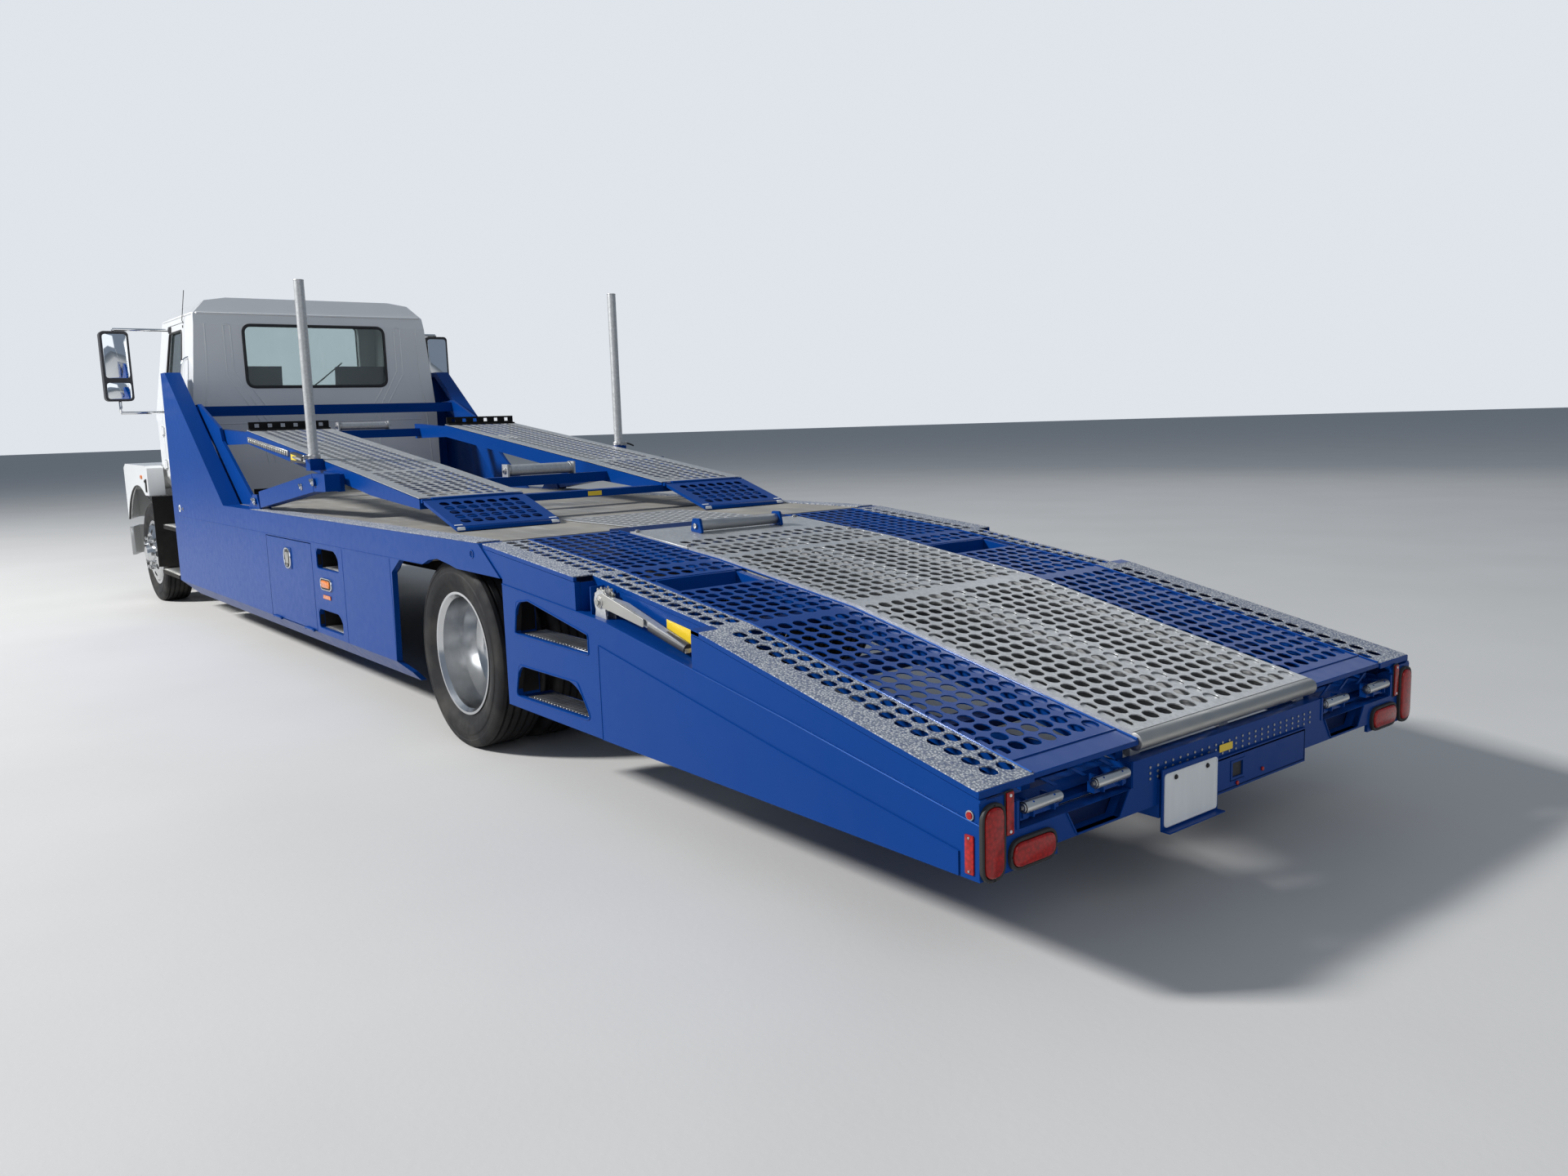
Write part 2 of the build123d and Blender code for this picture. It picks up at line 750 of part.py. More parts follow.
# Panels with the climbing steps' openings, left: step column ahead of the wheel, skirt behind it
with BuildPart() as step_column:
    column = (seams["column"][0] + seam_half_width, seams["column"][1] - seam_half_width)
    block(column, (body_half - wall, body_half), (skirt_z, rail_bottom))
    chamfer_strip(*column)
    for label, x0, x1, z0, z1 in step_openings:
        opening = [(x1, z0), (x1, z1), (x0, z1), (x0, z0)]
        side_plate(opening, body_half - wall - 1, body_half + 1, mode=Mode.SUBTRACT, rounding=24)
with BuildPart() as skirt_front:
    add(tail_skirt.part)
    block((tail_x - 10, skirt_split_x), (0, 2 * body_half), (0, 2 * deck_z), mode=Mode.SUBTRACT)
with BuildPart() as step_panels:
    add(step_column.part)
    add(skirt_front.part)
save_both(step_panels, "step_panels")

# Toolbox, step pockets, shelves and ratchet tray behind the body side, left
with BuildPart() as side_boxes:
    for label, x0, x1, z0, z1 in step_openings:
        pocket = (x0 - wall, x1 + wall)
        back_y = body_half - step_depth + wall
        block(pocket, (body_half - step_depth, back_y), (z0 - wall, z1 + wall))
        for z in (z0 - wall, z1):
            block(pocket, (back_y + gap, body_half - wall), (z, z + wall))
        for x in (x0 - wall, x1):
            block((x, x + wall), (back_y + gap, body_half - wall), (z0 + gap, z1 - gap))
    x0, x1 = seams["box"]
    box_y = (body_half - box_depth, body_half - wall)
    block((x0 - 12, x1 + 12), box_y, (skirt_z, rail_bottom - 1))
    block((x0, x1), (box_y[0] + 12, body_half - wall + 1), (skirt_z + 12, rail_bottom - 13), mode=Mode.SUBTRACT)
    block((x0, x1), (body_half - wall - 4, body_half), (rail_bottom - 8, rail_bottom - 1))
    chamfer_strip(x0 + seam_half_width, x1 - seam_half_width)
    block((x0, x1), (body_half - 2 * wall, body_half - wall), (skirt_z - 8, skirt_z + 8))
    for z0 in (657 - 14, 383 - 14):
        block((rear_axle_x - 1420, rear_axle_x - 715), (body_half - step_depth, body_half - wall), (z0, z0 + 12))
    for x in (skirt_front_x - 30, skirt_split_x, tail_x + 900, tail_x + 80):
        top = min(deck_height(x) - 75, ledge_height(x) - 14)
        block((x - 8, x + 8), (body_half - strip_width + 4, body_half - wall), (skirt_z, top))
    tray_y = body_half - recess_depth
    side_plate(ledge_outline(*recess_x, 0, -8), tray_y - 8, body_half - wall)
    back = [
        (recess_x[0], ledge_height(recess_x[0]) - 8),
        (recess_x[0], deck_height(recess_x[0]) - 14),
        (knee_x - 40, deck_height(knee_x - 40) - 14),
        (recess_x[1], deck_height(recess_x[1]) - 14),
        (recess_x[1], ledge_height(recess_x[1]) - 8),
        (rear_axle_x - 1507, 803 - 8),
    ]
    side_plate(back, tray_y - 8, tray_y)
    for x in (recess_x[0] - 6, pocket_x - 6, recess_x[1]):
        block((x, x + 6), (tray_y - 4, body_half - wall), (ledge_height(x) - 6, deck_height(x) - 15))
save_both(side_boxes, "side_boxes")

# Ratchets in the side recesses: cheeks round a drum, with the lever laid back
ratchet_x = recess_x[0] - 150
ratchet_z = ledge_height(ratchet_x) + 62
lever_end = (ratchet_x - 560, ledge_height(ratchet_x - 560) + 34)
ratchet_y = body_half - 54
with BuildPart() as ratchet:
    for y in (ratchet_y - 22, ratchet_y + 16):
        bar_y(ratchet_x, ratchet_z, 46, y, y + 6)
        foot = [
            (ratchet_x + 30, ratchet_z),
            (ratchet_x - 30, ratchet_z),
            (ratchet_x - 42, ledge_height(ratchet_x - 42)),
            (ratchet_x + 42, ledge_height(ratchet_x + 42)),
        ]
        side_plate(foot, y, y + 6)
    bar_y(ratchet_x, ratchet_z, 18, ratchet_y - 30, ratchet_y + 30)
    lever = [
        (ratchet_x, ratchet_z + 22),
        (ratchet_x - 150, ratchet_z + 8),
        (lever_end[0], lever_end[1] + 15),
        (lever_end[0] - 8, lever_end[1] - 12),
        (ratchet_x - 150, ratchet_z - 24),
        (ratchet_x, ratchet_z - 22),
    ]
    side_plate(lever, ratchet_y - 14, ratchet_y + 14)
save_both(ratchet, "side_ratchets")

# Toolbox door, left: hollow-backed panel on a hinge rod along its lower edge
hinge_rod = 4
knuckle_radius = 7
hinge_y = body_half + knuckle_radius + gap
hinge_z = skirt_z + 4
door_x = (seams["box"][0] + joint_gap, seams["box"][1] - joint_gap)
knuckles = [(door_x[0] + 60, door_x[0] + 200), (door_x[1] - 200, door_x[1] - 60)]
with BuildPart() as toolbox_door:
    block(door_x, (body_half - wall, body_half), (skirt_z + joint_gap, rail_bottom - 8 - joint_gap))
    inner_x = (door_x[0] + 40, door_x[1] - 40)
    block(inner_x, (body_half - wall - 1, body_half - 8), (skirt_z + 50, rail_bottom - 60), mode=Mode.SUBTRACT)
    for x0, x1 in knuckles:
        bar_x(hinge_y, hinge_z, knuckle_radius, x0, x1)
        block((x0, x1), (body_half - 4, hinge_y), (hinge_z, hinge_z + knuckle_radius))
        bar_x(hinge_y, hinge_z, hinge_rod + bore_gap, x0 - 1, x1 + 1, mode=Mode.SUBTRACT)
    latch_x = (door_x[0] + door_x[1]) / 2
    block((latch_x - 60, latch_x + 60), (body_half, body_half + 4), (690, 825))
save_pair(toolbox_door, "toolbox_door")

# Hinge rods of the toolbox doors with their end lugs
with BuildPart() as toolbox_hinge:
    for x0, x1 in knuckles:
        bar_x(hinge_y, hinge_z, hinge_rod, x0 - 20, x1 + 20)
        for x in (x0 - 20, x1 + gap):
            block((x, x + 20 - gap), (body_half, hinge_y + 5), (hinge_z - 9, hinge_z + 1))
toolbox_rods = toolbox_hinge.part

mid_rear_x = rear_axle_x - 1015
strip_front_x = rear_axle_x - 465
tail_beams_x = [rear_axle_x - 760, slot_front + 40, slot_rear - 40, tail_x + 1500, tail_x + 1000, tail_x + 500]

# Load floor: level plate and its crossbearers
with BuildPart() as deck_floor:
    floor_half = body_half - strip_width + 20
    block((kink_x, cab_back_x - 60), (-floor_half, floor_half), (deck_z - floor_thick, deck_z))
    bearer_pitch = (cab_back_x - 240 - kink_x - 120) / 10
    for k in range(11):
        x = kink_x + 120 + k * bearer_pitch
        block((x - 30, x + 30), (-body_half + wall, body_half - wall), (rail_bottom + 10, deck_z - floor_thick))
        block((x - 30, x + 30), (-rail_outer, rail_outer), (frame_top, rail_bottom + 10))
save(deck_floor, "deck_floor")

# Grit-coated strips along both sides of the tail
with BuildPart() as deck_strips:
    for side in (-1, 1):
        outline = deck_outline(strip_front_x, tail_x + 20, deck_lift, -14)
        strip = (side * (body_half - coat_width), side * (body_half - 6))
        side_plate(outline, min(strip), max(strip))
        outer = (side * (body_half - recess_depth), side * body_half)
        side_plate(ledge_outline(*recess_x, 300, 2), min(outer), max(outer), mode=Mode.SUBTRACT)
save(deck_strips, "deck_strips")

# Tail frame: webs and crossbearers below the sloping deck
with BuildPart() as tail_frame:
    for side in (-1, 1):
        web = (side * (body_half - strip_width), side * (body_half - strip_width + 10))
        side_plate(deck_outline(kink_x, tail_x + 70, -14, -66), min(web), max(web))
        web = (side * (grate_inner - 12), side * grate_inner)
        side_plate(deck_outline(kink_x, mid_rear_x, -14, -66), min(web), max(web))
    side_plate(deck_outline(kink_x, mid_rear_x, deck_lift, -14), -grate_inner, grate_inner)
    for x in tail_beams_x:
        beam = [
            (x + 30, deck_height(x + 30) - 64),
            (x + 30, deck_height(x) - 115),
            (x - 30, deck_height(x) - 115),
            (x - 30, deck_height(x - 30) - 64),
        ]
        in_recess = recess_x[1] - 40 < x < recess_x[0] + 40
        beam_half = body_half - (strip_width - 5 if in_recess else wall)
        side_plate(beam, -beam_half, beam_half)
save(tail_frame, "tail_frame")

# Tail gratings, left and right of the centre, with the wheel slots
with BuildPart() as tail_gratings:
    for side in (-1, 1):
        y = (side * (grate_inner + 2), side * (body_half - coat_width - 2))
        for x0, x1 in ((kink_x - 60, slot_front), (slot_rear, tail_x + 20)):
            side_plate(deck_outline(x0, x1, deck_lift, deck_lift - 7), min(y), max(y))
        for y_bar in (grate_inner + 20, body_half - coat_width - 22):
            edge = (side * (y_bar - 18), side * (y_bar + 18))
            side_plate(deck_outline(kink_x - 60, tail_x + 66, deck_lift - 7, -64), min(edge), max(edge))
save(tail_gratings, "tail_gratings")

# Centre panel of the tail with its rolled rear lip
panel_front = mid_rear_x - 45
panel_rear = tail_x + 38
with BuildPart() as centre_panel:
    side_plate(deck_outline(panel_front, panel_rear, deck_lift + 14, deck_lift), -grate_inner + 14, grate_inner - 14)
    bar_y(panel_rear, deck_height(panel_rear) - 6, 28, -grate_inner + 14, grate_inner - 14)
    for y in (-grate_inner + 44, 0, grate_inner - 44):
        side_plate(deck_outline(panel_front - 5, panel_rear + 60, deck_lift, -64), y - 25, y + 25)
save(centre_panel, "centre_panel")

# Winch cover plate with its cross roller
cover_x = (rear_axle_x - 560, rear_axle_x - 1040)
roller_x = rear_axle_x - 740
roller_z = deck_height(roller_x) + deck_lift + 12 + 30
with BuildPart() as winch_cover:
    side_plate(deck_outline(cover_x[0], cover_x[1], deck_lift + 10, deck_lift), -grate_inner + 20, grate_inner - 20)
    bar_y(roller_x, roller_z, 26, -235, 235)
    for side in (-1, 1):
        ear = (side * 235, side * 249)
        ear_shape = [
            (roller_x - 45, roller_z - 40),
            (roller_x + 45, roller_z - 35),
            (roller_x + 28, roller_z + 34),
            (roller_x - 28, roller_z + 34),
        ]
        side_plate(ear_shape, min(ear), max(ear))
save(winch_cover, "winch_cover")

# Tail beam: rear wall with ramp slots, step recess and bumper
beam_x = (tail_x + 12, tail_x + 60)
step_half = grate_inner - 95
with BuildPart() as tail_beam:
    block(beam_x, (-body_half + wall, body_half - wall), (tail_bottom + 30, tail_deck_z - 46))
    for side in (-1, 1):
        slot = (side * (ramp_inner - 15), side * (ramp_outer + 15))
        block((tail_x, tail_x + 70), (min(slot), max(slot)), (ramp_z - 40, tail_deck_z - 20), mode=Mode.SUBTRACT)
        notch = [
            (side * (ramp_inner + 283), ramp_z - 41),
            (side * (ramp_inner + 240), 367),
            (side * (ramp_inner + 45), 367),
            (side * ramp_inner, ramp_z - 41),
        ]
        cross_plate(notch, tail_x, tail_x + 70, mode=Mode.SUBTRACT)
        corner = (side * (body_half - 135), side * (body_half - wall))
        block((tail_x + 12, tail_x + 24), (min(corner), max(corner)), (tail_bottom, tail_deck_z - 16))
        corner = (side * (body_half - 320), side * (body_half - wall))
        block((tail_x + 12, tail_x + 24), (min(corner), max(corner)), (tail_bottom, 400))
        for y_bar in (ramp_inner - 24, ramp_outer + 24):
            rail = (side * (y_bar - 8), side * (y_bar + 8))
            top = deck_height(tail_x + 60) - 66
            guide = [
                (tail_x + 60, top),
                (tail_x + 60 + ramp_length + 60, top),
                (tail_x + 60 + ramp_length + 60, ramp_z - 34),
                (tail_x + 60, ramp_z - 34),
            ]
            side_plate(guide, min(rail), max(rail))
        shelf = (side * (ramp_inner - 16), side * (ramp_outer + 16))
        block((tail_x + 60, tail_x + 60 + ramp_length + 60), (min(shelf), max(shelf)), (ramp_z - 34, ramp_z - ramp_thick / 2 - gap))
    block((tail_x + 4, tail_x + 150), (-step_half, step_half), (tail_bottom - 10, tail_bottom + 110))
    block((tail_x, tail_x + 140), (-step_half + 8, step_half - 8), (tail_bottom, tail_bottom + 100), mode=Mode.SUBTRACT)
    block((tail_x + 60, tail_x + 66), (-grate_inner + 5, grate_inner - 5), (400, tail_deck_z - 60))
    block((tail_x + 2, tail_x + 80), (-40, 40), (tail_bottom + 22, tail_bottom + 86))
    block((tail_x + 1, tail_x + 79), (-30, 30), (tail_bottom + 30, tail_bottom + 78), mode=Mode.SUBTRACT)
save(tail_beam, "tail_beam")

# Tail lamps: upright stop lamp, reflector and flat turn lamp on each side
lamp_table = [
    # name, middle y, middle z, width, height, corner radius
    ("stop lamp", body_half - 48, 430, 76, 200, 37),
    ("reflector", body_half - 116, 494, 34, 122, 4),
    ("turn lamp", body_half - 210, 372, 176, 72, 35),
]
with BuildPart() as tail_lamps:
    for side in (-1, 1):
        for name, y, z, width, height, corner_radius in lamp_table:
            with BuildSketch(Plane.YZ.offset(tail_x)):
                with Locations((side * y, z)):
                    RectangleRounded(width, height, corner_radius)
            extrude(amount=12)
save(tail_lamps, "tail_lamps")

# Pull-out loading ramps stored below the deck
with BuildPart() as tail_ramp:
    ramp_x = (tail_x + 22, tail_x + 22 + ramp_length)
    low = ramp_z - ramp_thick / 2
    high = ramp_z + ramp_thick / 2
    for y0, y1 in ((ramp_inner, ramp_inner + 34), (ramp_outer - 34, ramp_outer)):
        block(ramp_x, (y0, y1), (low, high))
    for k in range(7):
        x = ramp_x[0] + 70 + k * 145
        block((x, x + 40), (ramp_inner + 30, ramp_outer - 30), (low + 8, high))
    for y0, y1 in ((ramp_inner + 4, ramp_inner + 154), (ramp_outer - 156, ramp_outer - 6)):
        bar_y(tail_x + 17, ramp_z + 14, 15, y0, y1)
        block((tail_x + 17, ramp_x[0] + 20), (y0, y1), (low + 6, ramp_z + 14))
save_pair(tail_ramp, "tail_ramp")

# Head rack: tall side gussets, inner legs and the cross tube behind the cab
gusset_foot_x = cab_back_x - 1403
gusset_top = 2070
gusset_front_x = cab_back_x + 225
gusset_width = 120
leg_y = runway_outer + 8
leg_thick = 22
with BuildPart() as head_rack:
    for side in (-1, 1):
        gusset = [
            (side_front_x - 4, deck_z),
            (gusset_front_x, gusset_top),
            (gusset_front_x - 150, gusset_top),
            (gusset_foot_x, deck_z),
        ]
        y = (side * (body_half - gusset_width), side * body_half)
        side_plate(gusset, min(y), max(y))
        hollow = [
            (side_front_x - 60, deck_z - 1),
            (gusset_front_x - 20, gusset_top - 40),
            (gusset_front_x - 110, gusset_top - 40),
            (gusset_foot_x + 75, deck_z - 1),
        ]
        y = (side * (body_half - gusset_width - 1), side * (body_half - 10))
        side_plate(hollow, min(y), max(y), mode=Mode.SUBTRACT)
        leg = [
            (pivot_x - 860, deck_z),
            (pivot_x - 320, deck_z),
            (pivot_x + 190, pivot_z - 60),
            (cab_back_x - 109, 1790),
            (cab_back_x - 349, 1800),
            (pivot_x - 20, pivot_z + 70),
            (pivot_x - 70, pivot_z - 30),
        ]
        y = (side * leg_y, side * (leg_y + leg_thick))
        side_plate(leg, min(y), max(y))
        y = (side * leg_y, side * (body_half - gusset_width))
        block((cab_back_x - 349, cab_back_x - 259), (min(y), max(y)), (1700, 1780))
        pin = (side * (leg_y + leg_thick), side * (runway_outer - side_rail_width + 8))
        bar_y(pivot_x, pivot_z, pivot_radius, min(pin), max(pin))
    block((cab_back_x - 339, cab_back_x - 259), (-leg_y, leg_y), (1700, 1780))
save(head_rack, "head_rack")

# Upper deck: runway rails, cross tubes and the front ends on the pivot
def runway_height(x):
    """Top of the runway plate at x."""
    if x >= runway_knee_x:
        slope = (runway_front_z - runway_knee_z) / (runway_front_x - runway_knee_x)
        return runway_knee_z + slope * (x - runway_knee_x)
    slope = (runway_knee_z - runway_rear_z) / (runway_knee_x - runway_rear_x)
    return runway_rear_z + slope * (x - runway_rear_x)


rail_front_x = pivot_x + 90
cross_tubes = [
    # middle x, drop of the top below the runway, height, width
    (pivot_x - 100, 40, 66, 70),
    (pivot_x - 3170, 34, 60, 70),
    (runway_rear_x + 48, 26, 40, 90),
]
with BuildPart() as upper_frame:
    for side in (-1, 1):
        for y0, front in ((runway_outer - side_rail_width, rail_front_x), (runway_inner, rail_front_x - 120)):
            y = (side * y0, side * (y0 + side_rail_width))
            z = runway_thick
            rail = [
                (front, pivot_z + 62),
                (runway_front_x + 60, runway_height(runway_front_x) - z - 8),
                (runway_front_x, runway_height(runway_front_x) - z),
                (runway_knee_x, runway_height(runway_knee_x) - z),
                (runway_rear_x, runway_height(runway_rear_x) - z),
                (runway_rear_x, runway_height(runway_rear_x) - z - rear_rail_height),
                (runway_knee_x - 200, runway_height(runway_knee_x - 200) - z - side_rail_height),
                (runway_knee_x, runway_height(runway_knee_x) - z - side_rail_height),
                (runway_front_x, runway_height(runway_front_x) - z - side_rail_height),
                (front, pivot_z - 60),
            ]
            side_plate(rail, min(y), max(y))
        bracket = [
            (elbow_x + 110, elbow_z + 60),
            (elbow_x - 130, elbow_z + 45),
            (elbow_x - 130, elbow_z - 60),
            (elbow_x + 60, elbow_z - 50),
        ]
        y = (side * runway_outer, side * (arm_y - arm_width / 2 - 1))
        side_plate(bracket, min(y), max(y))
        y = (side * runway_outer, side * (post_y + 38))
        block((post_x - 42, post_x + 42), (min(y), max(y)), (elbow_z + 62, elbow_z + 132))
    for x, drop, height, width in cross_tubes:
        top = runway_height(x) - drop if x < runway_front_x else pivot_z + 24
        reach = runway_outer - side_rail_width + 5
        block((x - width / 2, x + width / 2), (-reach, reach), (top - height, top))
    for side in (-1, 1):
        y = (side * (leg_y + leg_thick + 1), side * (runway_outer - side_rail_width - 1))
        bar_y(pivot_x, pivot_z, pivot_radius + bore_gap, min(y), max(y), mode=Mode.SUBTRACT)
        hinge_x = runway_rear_x - 16
        hinge_z0 = runway_height(runway_rear_x) - 14
        for y_lug in (runway_inner + 6, runway_outer - 46):
            y = (side * y_lug, side * (y_lug + 40))
            block((hinge_x - 9, runway_rear_x + 4), (min(y), max(y)), (hinge_z0 - 12, hinge_z0 + 5))
        y = (side * (runway_inner + 6), side * (runway_outer - 6))
        bar_y(hinge_x, hinge_z0, flap_pin_radius, min(y), max(y))
save(upper_frame, "upper_deck_frame")

# Dimpled runway plates, three sections a side
sections = [
    (runway_front_x, pivot_x - 1800),
    (pivot_x - 1804, runway_knee_x),
    (runway_knee_x - 4, runway_rear_x),
]
with BuildPart() as runway_plates:
    for side in (-1, 1):
        y = (side * runway_inner, side * runway_outer)
        for x0, x1 in sections:
            top = [
                (x0, runway_height(x0)),
                (x1, runway_height(x1)),
                (x1, runway_height(x1) - runway_thick),
                (x0, runway_height(x0) - runway_thick),
            ]
            side_plate(top, min(y), max(y))
save(runway_plates, "runway_plates")

# Posts beside the runways, and rollers on the cross tubes
rollers = [
    # x, top of the tube below, half length, radius
    (cross_tubes[0][0], pivot_z + 24, 200, 30),
    (cross_tubes[1][0], runway_height(cross_tubes[1][0]) - cross_tubes[1][1], 220, 34),
]
with BuildPart() as posts_and_rollers:
    for side in (-1, 1):
        bar_z(post_x, side * post_y, post_radius, elbow_z + 132, post_top)
    for x, base, half, radius in rollers:
        z = base + radius + 4
        bar_y(x, z, radius, -half, half)
        for side in (-1, 1):
            ear = (side * half, side * (half + 12))
            block((x - radius - 4, x + radius + 4), (min(ear), max(ear)), (base, z + radius + 4))
save(posts_and_rollers, "posts_and_rollers")

# Wheel stops at the front of each runway
stop_height = 58
stop_x = (runway_front_x - 60, runway_front_x - 10)
with BuildPart() as wheel_stops:
    for side in (-1, 1):
        y = (side * (runway_inner + 8), side * (runway_outer - 8))
        stop = [
            (stop_x[0], runway_height(stop_x[0])),
            (stop_x[1], runway_height(stop_x[1])),
            (stop_x[1], runway_height(stop_x[1]) + stop_height),
            (stop_x[1] - 14, runway_height(stop_x[1]) + stop_height),
            (stop_x[1] - 14, runway_height(stop_x[1] - 14) + 10),
            (stop_x[0], runway_height(stop_x[0]) + 10),
        ]
        side_plate(stop, min(y), max(y))
        pitch = (runway_outer - runway_inner - 40) / 6
        base = runway_height(stop_x[1])
        for k in range(6):
            y_hole = side * (runway_inner + 20 + pitch * (k + 0.5))
            hole_x = (stop_x[1] - 20, stop_x[1] + 6)
            block(hole_x, (y_hole - 17, y_hole + 17), (base + 18, base + 44), mode=Mode.SUBTRACT)
save(wheel_stops, "wheel_stops")

# Rear flaps of the runways on their hinge pins
with BuildPart() as runway_flap:
    hinge_x = runway_rear_x - 16
    hinge_z0 = runway_height(runway_rear_x) - 14
    s = sin(radians(flap_angle))
    c = cos(radians(flap_angle))

    def along(distance, rise):
        """Point in the flap's own slope, from the hinge axis."""
        return (hinge_x - distance * c + rise * s, hinge_z0 - distance * s - rise * -c)

    flap = [
        along(22, 8),
        along(flap_length, 8),
        along(flap_length, 8 - flap_thick),
        along(22, 8 - flap_thick),
    ]
    side_plate(flap, runway_inner + 6, runway_outer - 6)
    pan = [
        along(30, 0),
        along(flap_length - 12, 0),
        along(flap_length - 12, -2 - flap_thick),
        along(30, -2 - flap_thick),
    ]
    side_plate(pan, runway_inner + 18, runway_outer - 18, mode=Mode.SUBTRACT)
    tube = (runway_inner + 60, runway_outer - 60)
    bar_y(hinge_x, hinge_z0, 15, tube[0], tube[1])
    web = [
        along(0, 6),
        along(40, 6),
        along(40, -14),
        along(0, -12),
    ]
    side_plate(web, tube[0], tube[1])
    bar_y(hinge_x, hinge_z0, flap_pin_radius + bore_gap, tube[0] - 1, tube[1] + 1, mode=Mode.SUBTRACT)
save_pair(runway_flap, "runway_flap")

# Lift arms: hollow box tubes on lugs at the side rails
arm_dx = elbow_x - arm_pin_x
arm_dz = elbow_z - arm_pin_z
arm_span = hypot(arm_dx, arm_dz)
ux, uz = arm_dx / arm_span, arm_dz / arm_span


def arm_point(distance, rise):
    """Point along the lift arm, with rise square to it."""
    return (arm_pin_x + distance * ux + rise * uz, arm_pin_z + distance * uz - rise * ux)


box_start = 130
box_end = arm_span - 40
arm_side = (arm_y - arm_width / 2, arm_y + arm_width / 2)
rod_half = arm_height / 2 - arm_wall - gap
with BuildPart() as lift_arm:
    half = arm_height / 2
    tube = [
        arm_point(box_start, half),
        arm_point(box_end, half),
        arm_point(box_end, -half),
        arm_point(box_start, -half),
    ]
    side_plate(tube, arm_side[0], arm_side[1])
    bore = [
        arm_point(box_start + 40, half - arm_wall),
        arm_point(box_end + 1, half - arm_wall),
        arm_point(box_end + 1, -half + arm_wall),
        arm_point(box_start + 40, -half + arm_wall),
    ]
    side_plate(bore, arm_side[0] + arm_wall, arm_side[1] - arm_wall, mode=Mode.SUBTRACT)
    eye = (arm_y - 24, arm_y + 24)
    neck = [
        arm_point(-10, 34),
        arm_point(box_start + 10, 34),
        arm_point(box_start + 10, -34),
        arm_point(-10, -34),
    ]
    side_plate(neck, eye[0], eye[1])
    bar_y(arm_pin_x, arm_pin_z, 36, eye[0], eye[1])
    bar_y(arm_pin_x, arm_pin_z, 20 + bore_gap, eye[0] - 1, eye[1] + 1, mode=Mode.SUBTRACT)
save_pair(lift_arm, "lift_arm")

# Inner tubes that slide out of the lift arms, with the elbow pins
with BuildPart() as lift_rod:
    start = arm_span - rod_length
    inner = [
        arm_point(start, rod_half),
        arm_point(box_end + 8, rod_half),
        arm_point(box_end + 8, -rod_half),
        arm_point(start, -rod_half),
    ]
    side_plate(inner, arm_side[0] + arm_wall + gap, arm_side[1] - arm_wall - gap)
    head = [
        arm_point(box_end + 8, arm_height / 2),
        (elbow_x - 190, arm_point(arm_span + 130, arm_height / 2)[1] - 20),
        (elbow_x - 190, arm_point(arm_span + 130, -arm_height / 2)[1] - 14),
        arm_point(box_end + 8, -arm_height / 2),
    ]
    side_plate(head, arm_side[0], arm_side[1])
    bar_y(elbow_x, elbow_z, 24, arm_side[1], arm_side[1] + 12)
save_pair(lift_rod, "lift_rod")

# Lugs on the side rails that carry the lift arms
with BuildPart() as arm_lugs:
    for side in (-1, 1):
        for y0 in (arm_y - 24 - gap - 14, arm_y + 24 + gap):
            y = (side * y0, side * (y0 + 14))
            lug = [
                (arm_pin_x + 190, deck_z),
                (arm_pin_x + 60, arm_pin_z + 46),
                (arm_pin_x - 40, arm_pin_z + 46),
                (arm_pin_x - 95, deck_z),
            ]
            side_plate(lug, min(y), max(y))
        y = (side * (arm_y - 42), side * (arm_y + 46))
        bar_y(arm_pin_x, arm_pin_z, 20, min(y), max(y))
    add(toolbox_rods)
    mirror(toolbox_rods, about=Plane.XZ)
save(arm_lugs, "arm_lugs")


# Cab form: side profile and front profile crossed, drawn in by an inset
def cab_form(inset):
    """Closed cab volume drawn in by inset from the outer skin."""
    side_profile = [
        (cab_back_x, cab_bottom),
        (cab_back_x, seam_z - 90),
        (cab_back_x + 22, seam_z),
        (cab_back_x + 95, roof_z - 22),
        (cab_back_x + 400, roof_z),
        (screen_top_x - 60, roof_z - 26),
        (screen_top_x, screen_top_z),
        (screen_base_x, screen_base_z),
        (screen_base_x + 20, screen_base_z - 60),
        (cowl_x, belt_z - 25),
        (cowl_x, cab_bottom),
    ]
    front_profile = [
        (-cab_half + 60, cab_bottom),
        (-cab_half, cab_bottom + 110),
        (-cab_half, belt_z),
        (-seam_half, seam_z),
        (-seam_half + 110, roof_z - 50),
        (-seam_half + 420, roof_z),
        (seam_half - 420, roof_z),
        (seam_half - 110, roof_z - 50),
        (seam_half, seam_z),
        (cab_half, belt_z),
        (cab_half, cab_bottom + 110),
        (cab_half - 60, cab_bottom),
    ]
    with BuildPart() as form:
        with BuildSketch(Plane.XZ.offset(-cab_half - 10)):
            with BuildLine():
                Polyline(side_profile, close=True)
            make_face()
            if inset:
                offset(amount=-inset, kind=Kind.INTERSECTION, mode=Mode.REPLACE)
        extrude(amount=2 * cab_half + 20)
        with BuildSketch(Plane.YZ.offset(cab_back_x - 10)):
            with BuildLine():
                Polyline(front_profile, close=True)
            make_face()
            if inset:
                offset(amount=-inset, kind=Kind.INTERSECTION, mode=Mode.REPLACE)
        extrude(amount=1700, mode=Mode.INTERSECT)
    return form.part


cab_outer = cab_form(0)
cab_inner = cab_form(cab_wall)
pane_outer = cab_form(glass_inset)
pane_inner = cab_form(glass_inset + glass_thick)
a_pillar_slope = (screen_base_x - screen_top_x) / (screen_top_z - screen_base_z)


